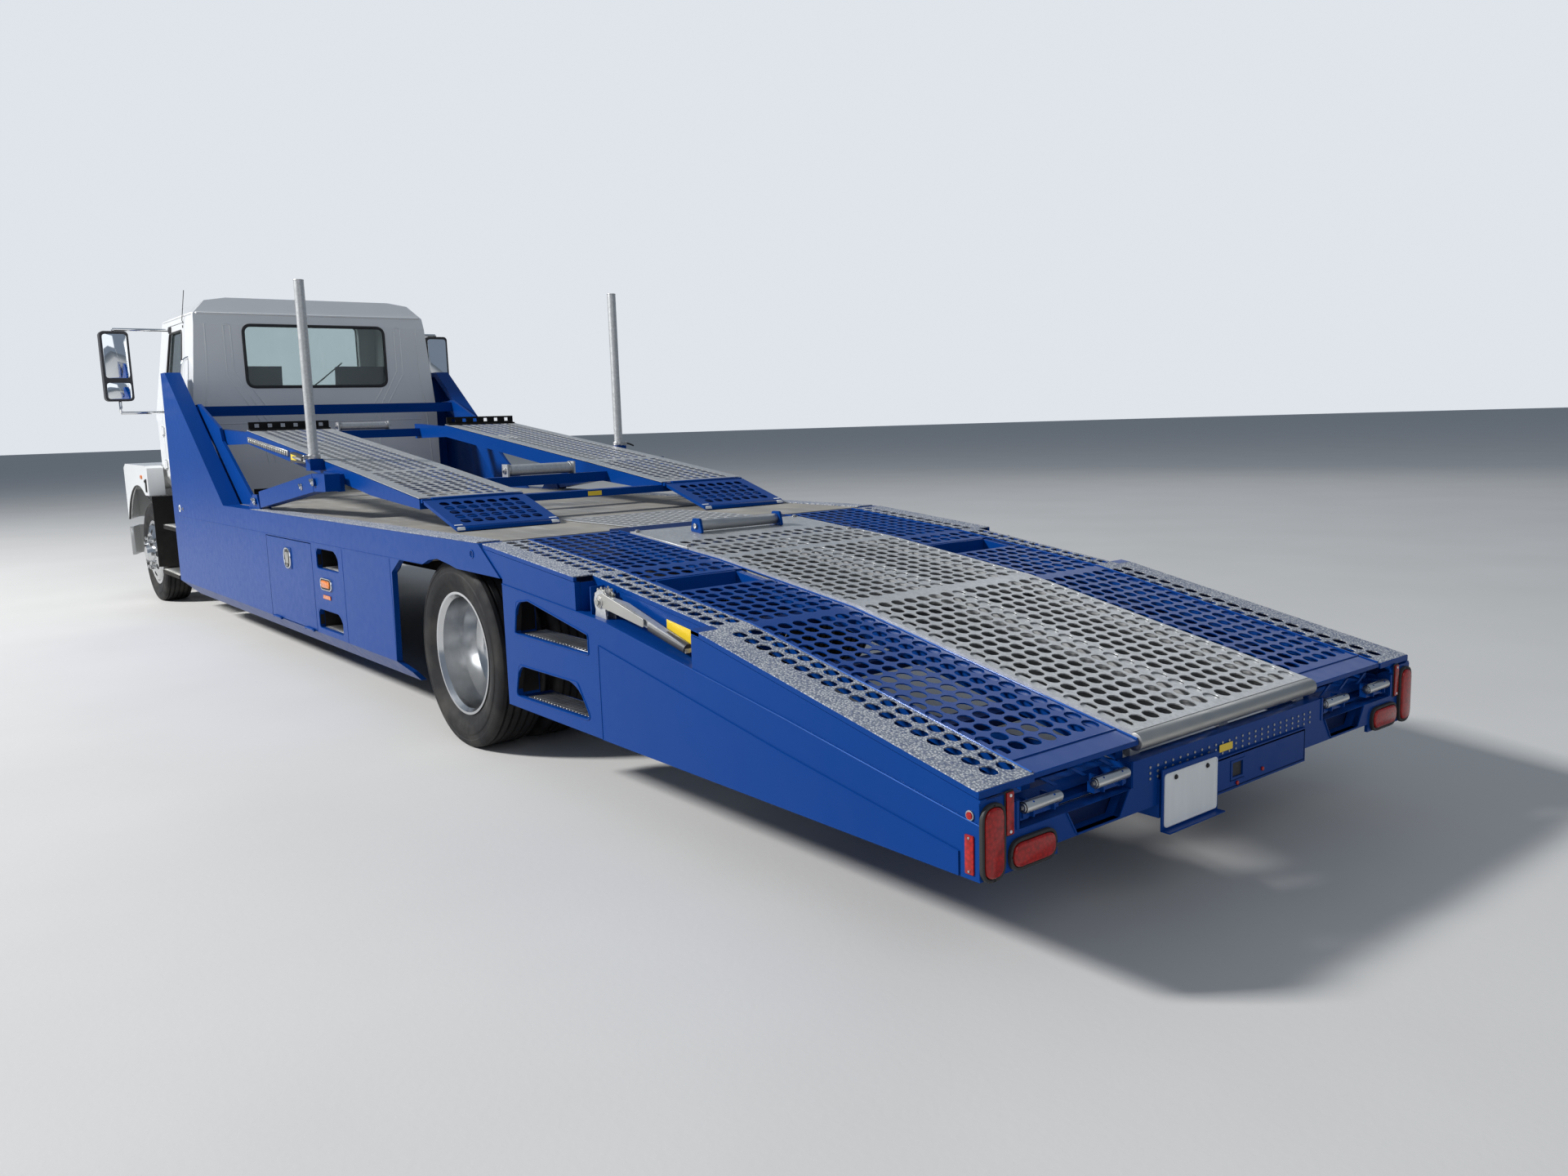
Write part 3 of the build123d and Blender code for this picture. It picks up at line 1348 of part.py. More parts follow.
def door_outline(grow):
    """X-Z outline of a cab door, grown all round."""
    top_front = door_front_x - a_pillar_slope * (door_top - belt_z - 60)
    return [
        (door_rear_x - grow, door_bottom - grow),
        (door_rear_x - grow, door_top + grow),
        (top_front + grow * 0.6, door_top + grow),
        (door_front_x + grow, belt_z + 60),
        (door_front_x + grow, door_bottom - grow),
    ]


def door_window():
    """X-Z outline of a door window."""
    top_front = door_front_x - 90 - a_pillar_slope * (door_glass_top - door_glass_bottom)
    return [
        (door_rear_x + 70, door_glass_bottom),
        (door_rear_x + 70, door_glass_top),
        (top_front, door_glass_top),
        (door_front_x - 90, door_glass_bottom),
    ]


screen_low = cab_half - 212
screen_high = cab_half - 292
screen_window = [
    (-screen_low, screen_base_z + 60),
    (screen_low, screen_base_z + 60),
    (screen_high, screen_top_z - 40),
    (-screen_high, screen_top_z - 40),
]
rear_window_half = cab_half - 452
rear_window = [
    (-rear_window_half, belt_z + 245),
    (rear_window_half, belt_z + 245),
    (rear_window_half, seam_z - 91),
    (-rear_window_half, seam_z - 91),
]
cut_half = cab_half + 60
hinge_heights = (1300, 1600)

with BuildPart() as cab_shell:
    add(cab_outer)
    add(cab_inner, mode=Mode.SUBTRACT)
    for y0, y1 in ((600, cut_half), (-cut_half, -600)):
        side_plate(door_outline(joint_gap), y0, y1, mode=Mode.SUBTRACT)
    cross_plate(screen_window, cab_back_x + 900, screen_base_x + 60, mode=Mode.SUBTRACT, rounding=60)
    cross_plate(rear_window, cab_back_x - 60, cab_back_x + 120, mode=Mode.SUBTRACT, rounding=70)
    for side in (-1, 1):
        for z in hinge_heights:
            bar_z(door_hinge_x, side * door_hinge_y, hinge_pin, z - 44, z + 44)
            for z0 in (z - 44, z + 34):
                bar_z(door_hinge_x, side * door_hinge_y, hinge_barrel, z0, z0 + 10)
                y = (side * (cab_half - 4), side * door_hinge_y)
                block((door_hinge_x + joint_gap / 2 + 1, door_hinge_x + 40), (min(y), max(y)), (z0, z0 + 10))
                y = (side * (door_hinge_y - 6), side * (door_hinge_y + 6))
                block((door_hinge_x, door_hinge_x + 40), (min(y), max(y)), (z0, z0 + 10))
        mount = (side * (rail_outer - 82), side * rail_outer)
        block((cab_back_x + 120, cab_back_x + 260), (min(mount), max(mount)), (frame_top, cab_bottom))
        block((cowl_x - 300, cowl_x - 160), (min(mount), max(mount)), (frame_top, cab_bottom))
save(cab_shell, "cab_shell")

with BuildPart() as windscreen:
    add(pane_outer)
    add(pane_inner, mode=Mode.SUBTRACT)
    cross_plate(screen_window, cab_back_x + 900, screen_base_x + 60, mode=Mode.INTERSECT, rounding=60)
with BuildPart() as back_glass:
    add(pane_outer)
    add(pane_inner, mode=Mode.SUBTRACT)
    cross_plate(rear_window, cab_back_x - 60, cab_back_x + 120, mode=Mode.INTERSECT, rounding=70)
with BuildPart() as cab_windows:
    add(windscreen.part)
    add(back_glass.part)
save(cab_windows, "cab_windows")

# Inner layer taken off a door's rear edge, so that it clears the pillar as it swings
with BuildPart() as door_relief:
    add(pane_outer)
    edge = [
        (door_rear_x - 1, door_bottom - 1),
        (door_rear_x - 1, door_top + 1),
        (door_rear_x + 14, door_top + 1),
        (door_rear_x + 14, door_bottom - 1),
    ]
    side_plate(edge, 600, cut_half, mode=Mode.INTERSECT)

# Cab doors with hinge barrels, glass and mirrors
with BuildPart() as cab_door:
    add(cab_outer)
    add(cab_inner, mode=Mode.SUBTRACT)
    side_plate(door_outline(0), 600, cut_half, mode=Mode.INTERSECT)
    side_plate(door_window(), 600, cut_half, mode=Mode.SUBTRACT, rounding=45)
    sill = (door_bottom - 1, cab_bottom + cab_wall + 1)
    block((door_rear_x - 1, door_front_x + 1), (599, cab_half - cab_wall), sill, mode=Mode.SUBTRACT)
    add(door_relief.part, mode=Mode.SUBTRACT)
    for z in hinge_heights:
        z0, z1 = z - 34 + gap, z + 34 - gap
        bar_z(door_hinge_x, door_hinge_y, hinge_barrel, z0, z1)
        block((door_hinge_x - 50, door_hinge_x - 5), (cab_half - 4, door_hinge_y + 3), (z0, z1))
        block((door_hinge_x - 8, door_hinge_x), (door_hinge_y - 3, door_hinge_y + 3), (z0, z1))
        bar_z(door_hinge_x, door_hinge_y, hinge_pin + bore_gap, z0 - 1, z1 + 1, mode=Mode.SUBTRACT)
    block((door_rear_x + 60, door_rear_x + 230), (cab_half - 4, cab_half + 26), (1590, 1625))
save_pair(cab_door, "cab_door")

with BuildPart() as door_glass:
    add(pane_outer)
    add(pane_inner, mode=Mode.SUBTRACT)
    side_plate(door_window(), 600, cut_half, mode=Mode.INTERSECT, rounding=45)
save_pair(door_glass, "door_glass")

def skin_y(z):
    """Half width of the cab's side at a height above the belt."""
    return cab_half + (seam_half - cab_half) * (z - belt_z) / (seam_z - belt_z)


mirror_y = (cab_half + 273, cab_half + 493)
mirror_z = (belt_z + 162, door_top - 45)
mirror_pole_y = cab_half + 383
mirror_arm_z = (belt_z + 60, door_top - 30)
with BuildPart() as door_mirror:
    with BuildSketch(Plane.YZ.offset(mirror_x - 45)):
        with Locations(((mirror_y[0] + mirror_y[1]) / 2, (mirror_z[0] + mirror_z[1]) / 2)):
            RectangleRounded(mirror_y[1] - mirror_y[0], mirror_z[1] - mirror_z[0], 34)
    extrude(amount=90)
    for z in mirror_arm_z:
        bar_y(mirror_x - 20, z, 11, skin_y(z) + 1.3, mirror_pole_y)
    bar_z(mirror_x - 20, mirror_pole_y, 11, *mirror_arm_z)
save_pair(door_mirror, "door_mirror")

seat_y = cab_half - 572
wheel_centre = (cab_back_x + 960, seat_y, 1640)
column_tilt = radians(55)
column_dir = (cos(column_tilt), 0, -sin(column_tilt))
# Seats, dashboard and steering column seen through the glass
with BuildPart() as cab_interior:
    for side in (-1, 1):
        y = side * seat_y
        block((cab_back_x + 260, cab_back_x + 760), (y - 250, y + 250), (cab_bottom + cab_wall, 1480))
        back_rest = [
            (cab_back_x + 300, 1480),
            (cab_back_x + 420, 1480),
            (cab_back_x + 330, 2130),
            (cab_back_x + 210, 2130),
        ]
        side_plate(back_rest, y - 230, y + 230)
    dash = [
        (cowl_x - cab_wall, 1250),
        (cowl_x - cab_wall, belt_z - 90),
        (cowl_x - 330, belt_z - 60),
        (cowl_x - 400, belt_z - 150),
        (cowl_x - 340, 1250),
    ]
    side_plate(dash, -cab_half + 120, cab_half - 120)
    column_start = [c + (60 + gap) * d for c, d in zip(wheel_centre, column_dir)]
    with BuildSketch(Plane(origin=column_start, z_dir=column_dir)):
        Circle(32)
    extrude(amount=150)
save(cab_interior, "cab_interior")

# Steering wheel on its sloping column
with BuildPart() as steering_wheel:
    with BuildSketch(Plane(origin=wheel_centre, z_dir=column_dir)) as section:
        Circle(225)
        Circle(198, mode=Mode.SUBTRACT)
        for angle in (0, 120, 240):
            with Locations(Rotation(0, 0, angle)):
                Rectangle(400, 30, align=(Align.MIN, Align.CENTER))
        Circle(225, mode=Mode.INTERSECT)
    extrude(amount=24)
    with BuildSketch(Plane(origin=wheel_centre, z_dir=column_dir)):
        Circle(45)
    extrude(amount=60)
save(steering_wheel, "steering_wheel")

# Hood with fenders, one tilting shell open below and at its back
hood_rear_x = cowl_x + 40


def hood_form(inset):
    """Closed hood volume between the fenders, drawn in by inset."""
    with BuildPart() as form:
        stations = [
            # x, half width, top, bottom, corner
            (hood_rear_x - inset, 800, 1665, hood_bottom, 120),
            (hood_front_x - 380, 660, 1520, hood_bottom, 120),
            (hood_front_x - inset, 560, 1330, hood_bottom, 90),
        ]
        for x, half_width, top, bottom, corner in stations:
            with BuildSketch(Plane.YZ.offset(x)):
                height = top - bottom + 300
                with Locations((0, top - inset - height / 2)):
                    RectangleRounded(2 * (half_width - inset), height, corner)
        loft(ruled=True)
        block((hood_rear_x - 100, hood_front_x + 100), (-2000, 2000), (0, hood_bottom), mode=Mode.SUBTRACT)
    return form.part


def fender_form(inset):
    """Closed left fender volume, drawn in by inset."""
    with BuildPart() as form:
        outline = [
            (fender_rear_x + inset, fender_rear_z),
            (fender_rear_x + inset, fender_top - 22 - inset),
            (fender_rear_x + 60, fender_top - inset),
            (hood_front_x - 420, fender_top - inset + 10),
            (hood_front_x - 130, fender_top - 110 - inset),
            (hood_front_x - inset, fender_top - 260),
            (hood_front_x - inset, hood_bottom),
            (front_axle_x, hood_bottom),
            (front_axle_x, fender_rear_z),
        ]
        side_plate(outline, 420, fender_half - inset)
        plan = [
            (fender_rear_x - 10, 400),
            (fender_rear_x - 10, fender_half - inset),
            (hood_front_x - 330, fender_half - inset),
            (hood_front_x - inset, fender_half - 130 - inset),
            (hood_front_x + 10, 400),
        ]
        with BuildSketch(Plane.XY.offset(hood_bottom - 10)):
            with BuildLine():
                Polyline(plan, close=True)
            make_face()
        extrude(amount=900, mode=Mode.INTERSECT)
    return form.part


def lamp_outline(side):
    """Y-Z outline of a headlamp."""
    return [
        (side * (fender_half - 628), 900),
        (side * (fender_half - 258), 900),
        (side * (fender_half - 218), 1010),
        (side * (fender_half - 628), 1040),
    ]


hood_skin = 24
hood_outer = hood_form(0)
hood_inner = hood_form(hood_skin)
fender_outer = fender_form(0)
fender_inner = fender_form(hood_skin)
with BuildPart() as hood:
    add(hood_outer)
    add(fender_outer)
    mirror(fender_outer, about=Plane.XZ)
    add(hood_inner, mode=Mode.SUBTRACT)
    add(fender_inner, mode=Mode.SUBTRACT)
    mirror(fender_inner, about=Plane.XZ, mode=Mode.SUBTRACT)
    bar_y(front_axle_x, tyre_radius, arch_radius, -fender_half - 10, fender_half + 10, mode=Mode.SUBTRACT)
    cab_clear = cab_half + 30
    block((fender_rear_x - 50, hood_rear_x), (-cab_clear, cab_clear), (hood_bottom - 10, 2000), mode=Mode.SUBTRACT)
    grille_cut = [(-430, 800), (430, 800), (470, 1230), (-470, 1230)]
    cross_plate(grille_cut, hood_front_x - 200, hood_front_x + 10, mode=Mode.SUBTRACT, rounding=40)
    for side in (-1, 1):
        cross_plate(lamp_outline(side), hood_front_x - 70, hood_front_x + 10, mode=Mode.SUBTRACT, rounding=24)
        y = (side * 360, side * 376)
        hook = [
            (hood_hinge_x - 26, hood_hinge_z),
            (hood_hinge_x - 20, hood_bottom + 39),
            (hood_front_x - hood_skin, hood_bottom + 39),
            (hood_front_x - hood_skin, hood_bottom),
            (hood_hinge_x + 26, hood_hinge_z),
        ]
        side_plate(hook, min(y), max(y))
        bar_y(hood_hinge_x, hood_hinge_z, 28, min(y), max(y))
        bar_y(hood_hinge_x, hood_hinge_z, 12 + bore_gap, min(y) - 1, max(y) + 1, mode=Mode.SUBTRACT)
        side_y = (side * 350, side * 440)
        block((hood_front_x - hood_skin, hood_front_x - 4), (min(side_y), max(side_y)), (hood_bottom, 799))
save(hood, "hood")

# Grille bars and surround set in the hood's front
with BuildPart() as grille:
    cross_plate(grille_cut, hood_front_x - 22, hood_front_x + 6, rounding=40)
    grille_hole = [(-395, 832), (395, 832), (432, 1198), (-432, 1198)]
    cross_plate(grille_hole, hood_front_x - 40, hood_front_x + 16, mode=Mode.SUBTRACT, rounding=30)
    for k in range(6):
        z = 870 + k * 58
        block((hood_front_x - 20, hood_front_x - 8), (-440, 440), (z, z + 18))
    cross_plate(grille_cut, hood_front_x - 40, hood_front_x + 16, mode=Mode.INTERSECT, rounding=40)
save(grille, "grille")

# Headlamps on the fender fronts
with BuildPart() as headlamps:
    for side in (-1, 1):
        cross_plate(lamp_outline(side), hood_front_x - 60, hood_front_x - 6, rounding=24)
save(headlamps, "headlamps")

# Front bumper with its brackets and the hood pivots
with BuildPart() as front_bumper:
    outline = [
        (bumper_x, -fender_half + 358),
        (bumper_x, fender_half - 358),
        (bumper_x - 90, fender_half - 98),
        (bumper_x - 330, fender_half - 10),
        (bumper_x - 330, fender_half - 40),
        (bumper_x - 110, fender_half - 133),
        (bumper_x - 34, fender_half - 368),
        (bumper_x - 34, -fender_half + 368),
        (bumper_x - 110, -fender_half + 133),
        (bumper_x - 330, -fender_half + 40),
        (bumper_x - 330, -fender_half + 10),
        (bumper_x - 90, -fender_half + 98),
    ]
    with BuildSketch(Plane.XY.offset(400)):
        with BuildLine():
            Polyline(outline, close=True)
        make_face()
    extrude(amount=280)
    for side in (-1, 1):
        block((frame_front_x, bumper_x - 30), (side * 400 - 20, side * 400 + 20), (rail_low, 670))
        ear = (side * (376 + gap), side * 392)
        ear_shape = [
            (hood_hinge_x + 28, 660),
            (hood_hinge_x + 22, hood_hinge_z + 20),
            (hood_hinge_x - 22, hood_hinge_z + 20),
            (hood_hinge_x - 40, 660),
        ]
        side_plate(ear_shape, min(ear), max(ear))
        pin = (side * 350, side * 385)
        bar_y(hood_hinge_x, hood_hinge_z, 12, min(pin), max(pin))
save(front_bumper, "front_bumper")

# Steps below the cab doors, and splash guards set outside the steered tyres' sweep
step_table = [
    # height, rear end and front end from the cab's back, outer edge in from the body side
    (740, 311, 836, 20),
    (330, 351, 1001, 10),
]
guard_outer = fender_half - 13
guard_inner = fender_half - 458
with BuildPart() as steps_and_guards:
    for side in (-1, 1):
        for z, rear, front, inset in step_table:
            y = (side * (body_half - inset - 210), side * (body_half - inset))
            block((cab_back_x + rear, cab_back_x + front), (min(y), max(y)), (z, z + 32))
        for x in (cab_back_x + 360, cab_back_x + 800):
            y = (side * (body_half - 230), side * (body_half - 214))
            block((x, x + 16), (min(y), max(y)), (330, 800))
            y = (side * rail_outer, side * (body_half - 220))
            block((x, x + 16), (min(y), max(y)), (760, 800))
        plan = [
            (front_axle_x - 518, side * guard_outer),
            (front_axle_x - 640, side * guard_inner),
            (front_axle_x - 646, side * guard_inner),
            (front_axle_x - 526, side * guard_outer),
        ]
        with BuildSketch(Plane.XY.offset(370)):
            with BuildLine():
                Polyline(plan, close=True)
            make_face()
        extrude(amount=fender_rear_z - 375)
        y = (side * rail_outer, side * (guard_inner + 15))
        block((front_axle_x - 650, front_axle_x - 638), (min(y), max(y)), (740, 800))
save(steps_and_guards, "steps_and_guards")
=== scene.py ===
"""Scene of a tilting-deck car transporter truck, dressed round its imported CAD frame.

Every length is in metres in the frame's own axes: +X forward, +Y to the truck's left, +Z up.
"""

from __future__ import annotations

import logging
import math
from dataclasses import dataclass
from enum import Enum
from typing import Callable, Sequence

import bmesh
import bpy
from mathutils import Matrix, Vector

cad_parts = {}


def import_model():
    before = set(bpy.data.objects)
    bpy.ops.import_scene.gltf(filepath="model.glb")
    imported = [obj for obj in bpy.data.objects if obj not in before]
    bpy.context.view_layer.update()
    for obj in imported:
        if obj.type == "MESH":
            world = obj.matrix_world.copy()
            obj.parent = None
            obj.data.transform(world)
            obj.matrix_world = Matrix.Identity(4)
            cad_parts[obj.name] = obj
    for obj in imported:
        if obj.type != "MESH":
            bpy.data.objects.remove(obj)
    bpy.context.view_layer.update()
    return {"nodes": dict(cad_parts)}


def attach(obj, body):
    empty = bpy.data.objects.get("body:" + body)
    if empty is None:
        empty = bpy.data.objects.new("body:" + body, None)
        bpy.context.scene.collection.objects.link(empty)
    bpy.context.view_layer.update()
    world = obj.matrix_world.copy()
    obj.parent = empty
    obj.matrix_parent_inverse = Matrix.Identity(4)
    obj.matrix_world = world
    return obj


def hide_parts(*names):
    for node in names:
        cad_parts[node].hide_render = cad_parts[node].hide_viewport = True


LOG = logging.getLogger("transporter")
Point = Sequence[float]
Pair = tuple[float, float]
Colour = tuple[float, float, float]
Socket = bpy.types.NodeSocket
Piece = bpy.types.Object


# ---------------------------------------------------------------- materials


def scaled(colour: Colour, factor: float) -> Colour:
    """Colour darkened or lightened by a factor."""
    return tuple(part * factor for part in colour)


def grey(level: float) -> Colour:
    """Neutral colour of one level."""
    return (level, level, level)


class NodeBoard:
    """Node tree of one material, with short calls that add and join its nodes."""

    def __init__(self, name: str) -> None:
        """Start a material with one shader joined to its output.

        Args:
            name: the finish's name.
        """
        self.material = bpy.data.materials.new(name)
        self.material.use_nodes = True
        self.tree = self.material.node_tree
        self.tree.nodes.clear()
        self.shader = self.add("BsdfPrincipled")
        self.link(self.shader.outputs[0], self.add("OutputMaterial").inputs["Surface"])
        self.place = self.add("TexCoord").outputs["Object"]

    def add(self, kind: str, **inputs: object) -> bpy.types.Node:
        """Add a shader node and set its inputs, with underscores for the blanks in their names.

        Args:
            kind: the node's type without its prefix.
            inputs: values by the inputs' names.

        Returns:
            The new node.
        """
        node = self.tree.nodes.new(f"ShaderNode{kind}")
        for key, value in inputs.items():
            node.inputs[key.replace("_", " ")].default_value = value
        return node

    def link(self, source: Socket, target: Socket) -> None:
        """Join an output to an input."""
        self.tree.links.new(source, target)

    def set(self, **values: object) -> None:
        """Set the shader's own sockets, with underscores for the blanks in their names."""
        for key, value in values.items():
            self.shader.inputs[key.replace("_", " ")].default_value = value

    def stretched(self, scale: Point) -> Socket:
        """Object coordinates stretched along the axes.

        Args:
            scale: factor for each axis.

        Returns:
            The stretched coordinates' socket.
        """
        node = self.add("Mapping", Scale=scale)
        self.link(self.place, node.inputs["Vector"])
        return node.outputs[0]

    def noise(self, scale: float, detail: float = 4.0, across: Point = (1, 1, 1)) -> Socket:
        """Cloudy pattern.

        Args:
            scale: how many features to a metre.
            detail: how many finer layers.
            across: stretch along the axes.

        Returns:
            The pattern's value socket.
        """
        node = self.add("TexNoise", Scale=scale, Detail=detail)
        self.link(self.stretched(across), node.inputs["Vector"])
        return node.outputs["Fac"]

    def cells(self, scale: float, output: str = "Distance") -> Socket:
        """Pattern of cells.

        Args:
            scale: how many cells to a metre.
            output: the node's output to read.

        Returns:
            The pattern's socket.
        """
        node = self.add("TexVoronoi", Scale=scale)
        self.link(self.stretched((1, 1, 1)), node.inputs["Vector"])
        return node.outputs[output]

    def ramp(self, factor: Socket, stops: Sequence[tuple[float, Colour]]) -> Socket:
        """Colours along a value.

        Args:
            factor: the value's socket.
            stops: place and colour of each stop.

        Returns:
            The colour's socket.
        """
        node = self.add("ValToRGB")
        elements = node.color_ramp.elements
        while len(elements) < len(stops):
            elements.new(0.5)
        for element, (place, colour) in zip(elements, stops):
            element.position = place
            element.color = (*colour, 1.0)
        self.link(factor, node.inputs["Fac"])
        return node.outputs["Color"]

    def span(self, factor: Socket, low: float, high: float, start: float = 0.0) -> Socket:
        """A value from a start to 1 spread over another range.

        Args:
            factor: the value's socket.
            low: result at the start.
            high: result at 1.
            start: where the value's range starts.

        Returns:
            The result's socket.
        """
        node = self.add("MapRange", From_Min=start, To_Min=low, To_Max=high)
        self.link(factor, node.inputs["Value"])
        return node.outputs["Result"]

    def mix(self, factor: Socket, low: Socket | Colour, high: Socket | Colour) -> Socket:
        """Two colours mixed by a value.

        Args:
            factor: the value's socket.
            low: colour or socket at 0.
            high: colour or socket at 1.

        Returns:
            The mixed colour's socket.
        """
        node = self.add("Mix")
        node.data_type = "RGBA"
        self.link(factor, node.inputs["Factor"])
        for end, socket in ((low, node.inputs["A"]), (high, node.inputs["B"])):
            if isinstance(end, Socket):
                self.link(end, socket)
            else:
                socket.default_value = (*end, 1.0)
        return node.outputs["Result"]

    def colour(self, factor: Socket, low: Socket | Colour, high: Socket | Colour) -> None:
        """Give the shader two colours mixed by a value."""
        self.link(self.mix(factor, low, high), self.shader.inputs["Base Color"])

    def gloss(self, scale: float, detail: float, low: float, high: float) -> None:
        """Give the shader a cloudy roughness between two values."""
        self.link(self.span(self.noise(scale, detail), low, high), self.shader.inputs["Roughness"])

    def bump(self, height: Socket, strength: float, distance: float) -> None:
        """Give the shader relief from a value.

        Args:
            height: the value's socket.
            strength: how much of it is used.
            distance: depth in metres.
        """
        node = self.add("Bump", Strength=strength, Distance=distance)
        self.link(height, node.inputs["Height"])
        self.link(node.outputs[0], self.shader.inputs["Normal"])


@dataclass(frozen=True)
class Finish:
    """A surface finish, made once and shared by its pieces."""

    name: str

    def dress(self, board: NodeBoard) -> None:
        """Lay the finish on a node board.

        Args:
            board: the finish's node board.
        """
        raise NotImplementedError

    def material(self) -> bpy.types.Material:
        """Make the finish's material at its first use.

        Returns:
            The Blender material.
        """
        found = bpy.data.materials.get(self.name)
        if found is None:
            board = NodeBoard(self.name)
            self.dress(board)
            found = board.material
        return found


@dataclass(frozen=True)
class GlossPaint(Finish):
    """Sprayed enamel with a clear coat, faint waviness and road dust low down."""

    colour: Colour
    dust: Colour = (0.42, 0.38, 0.32)
    dust_share: float = 0.10
    roughness: float = 0.32
    coat: float = 0.7
    sheen: Colour = (1.0, 1.0, 1.0)
    ior: float = 1.5
    dust_from: float = 0.25

    def dress(self, board: NodeBoard) -> None:
        """Lay the paint's colour, dust, gloss and waviness.

        Args:
            board: the finish's node board.
        """
        tone = board.mix(board.noise(1.6, 3.0), self.colour, scaled(self.colour, 0.86))
        split = board.add("SeparateXYZ")
        board.link(board.place, split.inputs[0])
        low, high = self.dust_share * 2.2, self.dust_share * 0.35
        fall = board.span(split.outputs["Z"], low, high, self.dust_from)
        speck = board.add("Math")
        speck.operation = "MULTIPLY"
        for index, source in enumerate((fall, board.noise(9.0, 8.0))):
            board.link(source, speck.inputs[index])
        board.colour(speck.outputs[0], tone, self.dust)
        board.gloss(22.0, 5.0, self.roughness * 0.75, self.roughness * 1.3)
        board.set(Coat_Weight=self.coat, Coat_Roughness=0.06, IOR=self.ior, Specular_Tint=(*self.sheen, 1.0))
        board.bump(board.noise(55.0, 2.0), 0.05, 0.0012)


@dataclass(frozen=True)
class Galvanised(Finish):
    """Hot-dip zinc with its spangle, dull patches and run marks."""

    tone: float
    roughness: float

    def dress(self, board: NodeBoard) -> None:
        """Lay the zinc's flakes, patches and sheen.

        Args:
            board: the finish's node board.
        """
        clean, dull = (0.97, 0.99, 1.0), (0.70, 0.71, 0.70)
        patch = board.noise(3.0, 6.0, (1.0, 1.0, 0.5))
        base = board.mix(patch, scaled(clean, self.tone), scaled(dull, self.tone))
        split = board.add("SeparateColor")
        board.link(board.cells(95.0, "Color"), split.inputs[0])
        flake = board.span(split.outputs["Red"], 0.0, 0.30)
        board.colour(flake, base, grey(min(1.0, self.tone * 1.45)))
        board.set(Metallic=0.70)
        board.gloss(30.0, 6.0, self.roughness * 0.75, self.roughness * 1.35)
        board.bump(board.noise(160.0, 4.0), 0.12, 0.0008)


@dataclass(frozen=True)
class GritCoat(Finish):
    """Anti-slip coat of pale grains over grey paint."""

    def dress(self, board: NodeBoard) -> None:
        """Lay the grains with their dark gaps.

        Args:
            board: the finish's node board.
        """
        grain = board.cells(130.0)
        colour = board.ramp(grain, [
            (0.08, (0.78, 0.79, 0.78)), (0.30, (0.42, 0.43, 0.44)),
            (0.52, (0.16, 0.18, 0.23)), (0.85, (0.03, 0.06, 0.15)),
        ])
        stain = board.ramp(board.noise(7.0, 6.0), [(0.35, (0.52, 0.52, 0.50)), (0.75, (0.20, 0.22, 0.26))])
        board.colour(board.span(board.noise(70.0, 3.0), 0.05, 0.40), colour, stain)
        board.set(Roughness=0.85, Specular_IOR_Level=0.35)
        board.bump(grain, 0.55, 0.003)


@dataclass(frozen=True)
class BareMetal(Finish):
    """Machined or polished metal with fine turning marks and a little haze."""

    tone: Colour
    roughness: float

    def dress(self, board: NodeBoard) -> None:
        """Lay the metal's tone, haze and marks.

        Args:
            board: the finish's node board.
        """
        board.colour(board.noise(6.0, 7.0), self.tone, scaled(self.tone, 0.72))
        board.set(Metallic=1.0)
        board.gloss(14.0, 8.0, self.roughness * 0.6, self.roughness * 1.9)
        board.bump(board.noise(190.0, 2.0, (1.0, 0.15, 1.0)), 0.06, 0.0006)


@dataclass(frozen=True)
class Rubber(Finish):
    """Tyre rubber with dusty patches and a fine grain."""

    def dress(self, board: NodeBoard) -> None:
        """Lay the rubber's black, its dust and its grain.

        Args:
            board: the finish's node board.
        """
        dust = board.ramp(board.noise(5.0, 9.0), [(0.46, (0.010, 0.010, 0.011)), (0.80, (0.052, 0.048, 0.042))])
        board.link(dust, board.shader.inputs["Base Color"])
        board.gloss(24.0, 5.0, 0.52, 0.86)
        board.set(Specular_IOR_Level=0.25)
        board.bump(board.noise(260.0, 3.0), 0.25, 0.0006)


@dataclass(frozen=True)
class Moulding(Finish):
    """Moulded plastic or textured black coat with a leather-like grain."""

    colour: Colour = (0.022, 0.022, 0.024)
    roughness: float = 0.48

    def dress(self, board: NodeBoard) -> None:
        """Lay the moulding's colour, fading and grain.

        Args:
            board: the finish's node board.
        """
        faded = tuple(part * 1.7 + 0.006 for part in self.colour)
        board.colour(board.noise(4.0, 6.0), self.colour, faded)
        board.gloss(40.0, 4.0, self.roughness * 0.8, self.roughness * 1.25)
        board.bump(board.cells(420.0), 0.14, 0.0005)


@dataclass(frozen=True)
class Pane(Finish):
    """Window glass with a slight tint and a trace of dust."""

    tint: Colour = (0.72, 0.80, 0.80)

    def dress(self, board: NodeBoard) -> None:
        """Lay the glass's tint and the dust in its gloss.

        Args:
            board: the finish's node board.
        """
        board.colour(board.noise(3.0, 6.0), self.tint, scaled(self.tint, 0.9))
        board.gloss(18.0, 7.0, 0.0, 0.05)
        board.set(Transmission_Weight=1.0, IOR=1.45)


@dataclass(frozen=True)
class MirrorGlass(Finish):
    """Silvered mirror glass with faint smears."""

    def dress(self, board: NodeBoard) -> None:
        """Lay the silver and its smears.

        Args:
            board: the finish's node board.
        """
        board.colour(board.noise(5.0, 4.0), (0.82, 0.85, 0.88), (0.74, 0.78, 0.82))
        board.gloss(16.0, 6.0, 0.02, 0.09)
        board.set(Metallic=1.0)


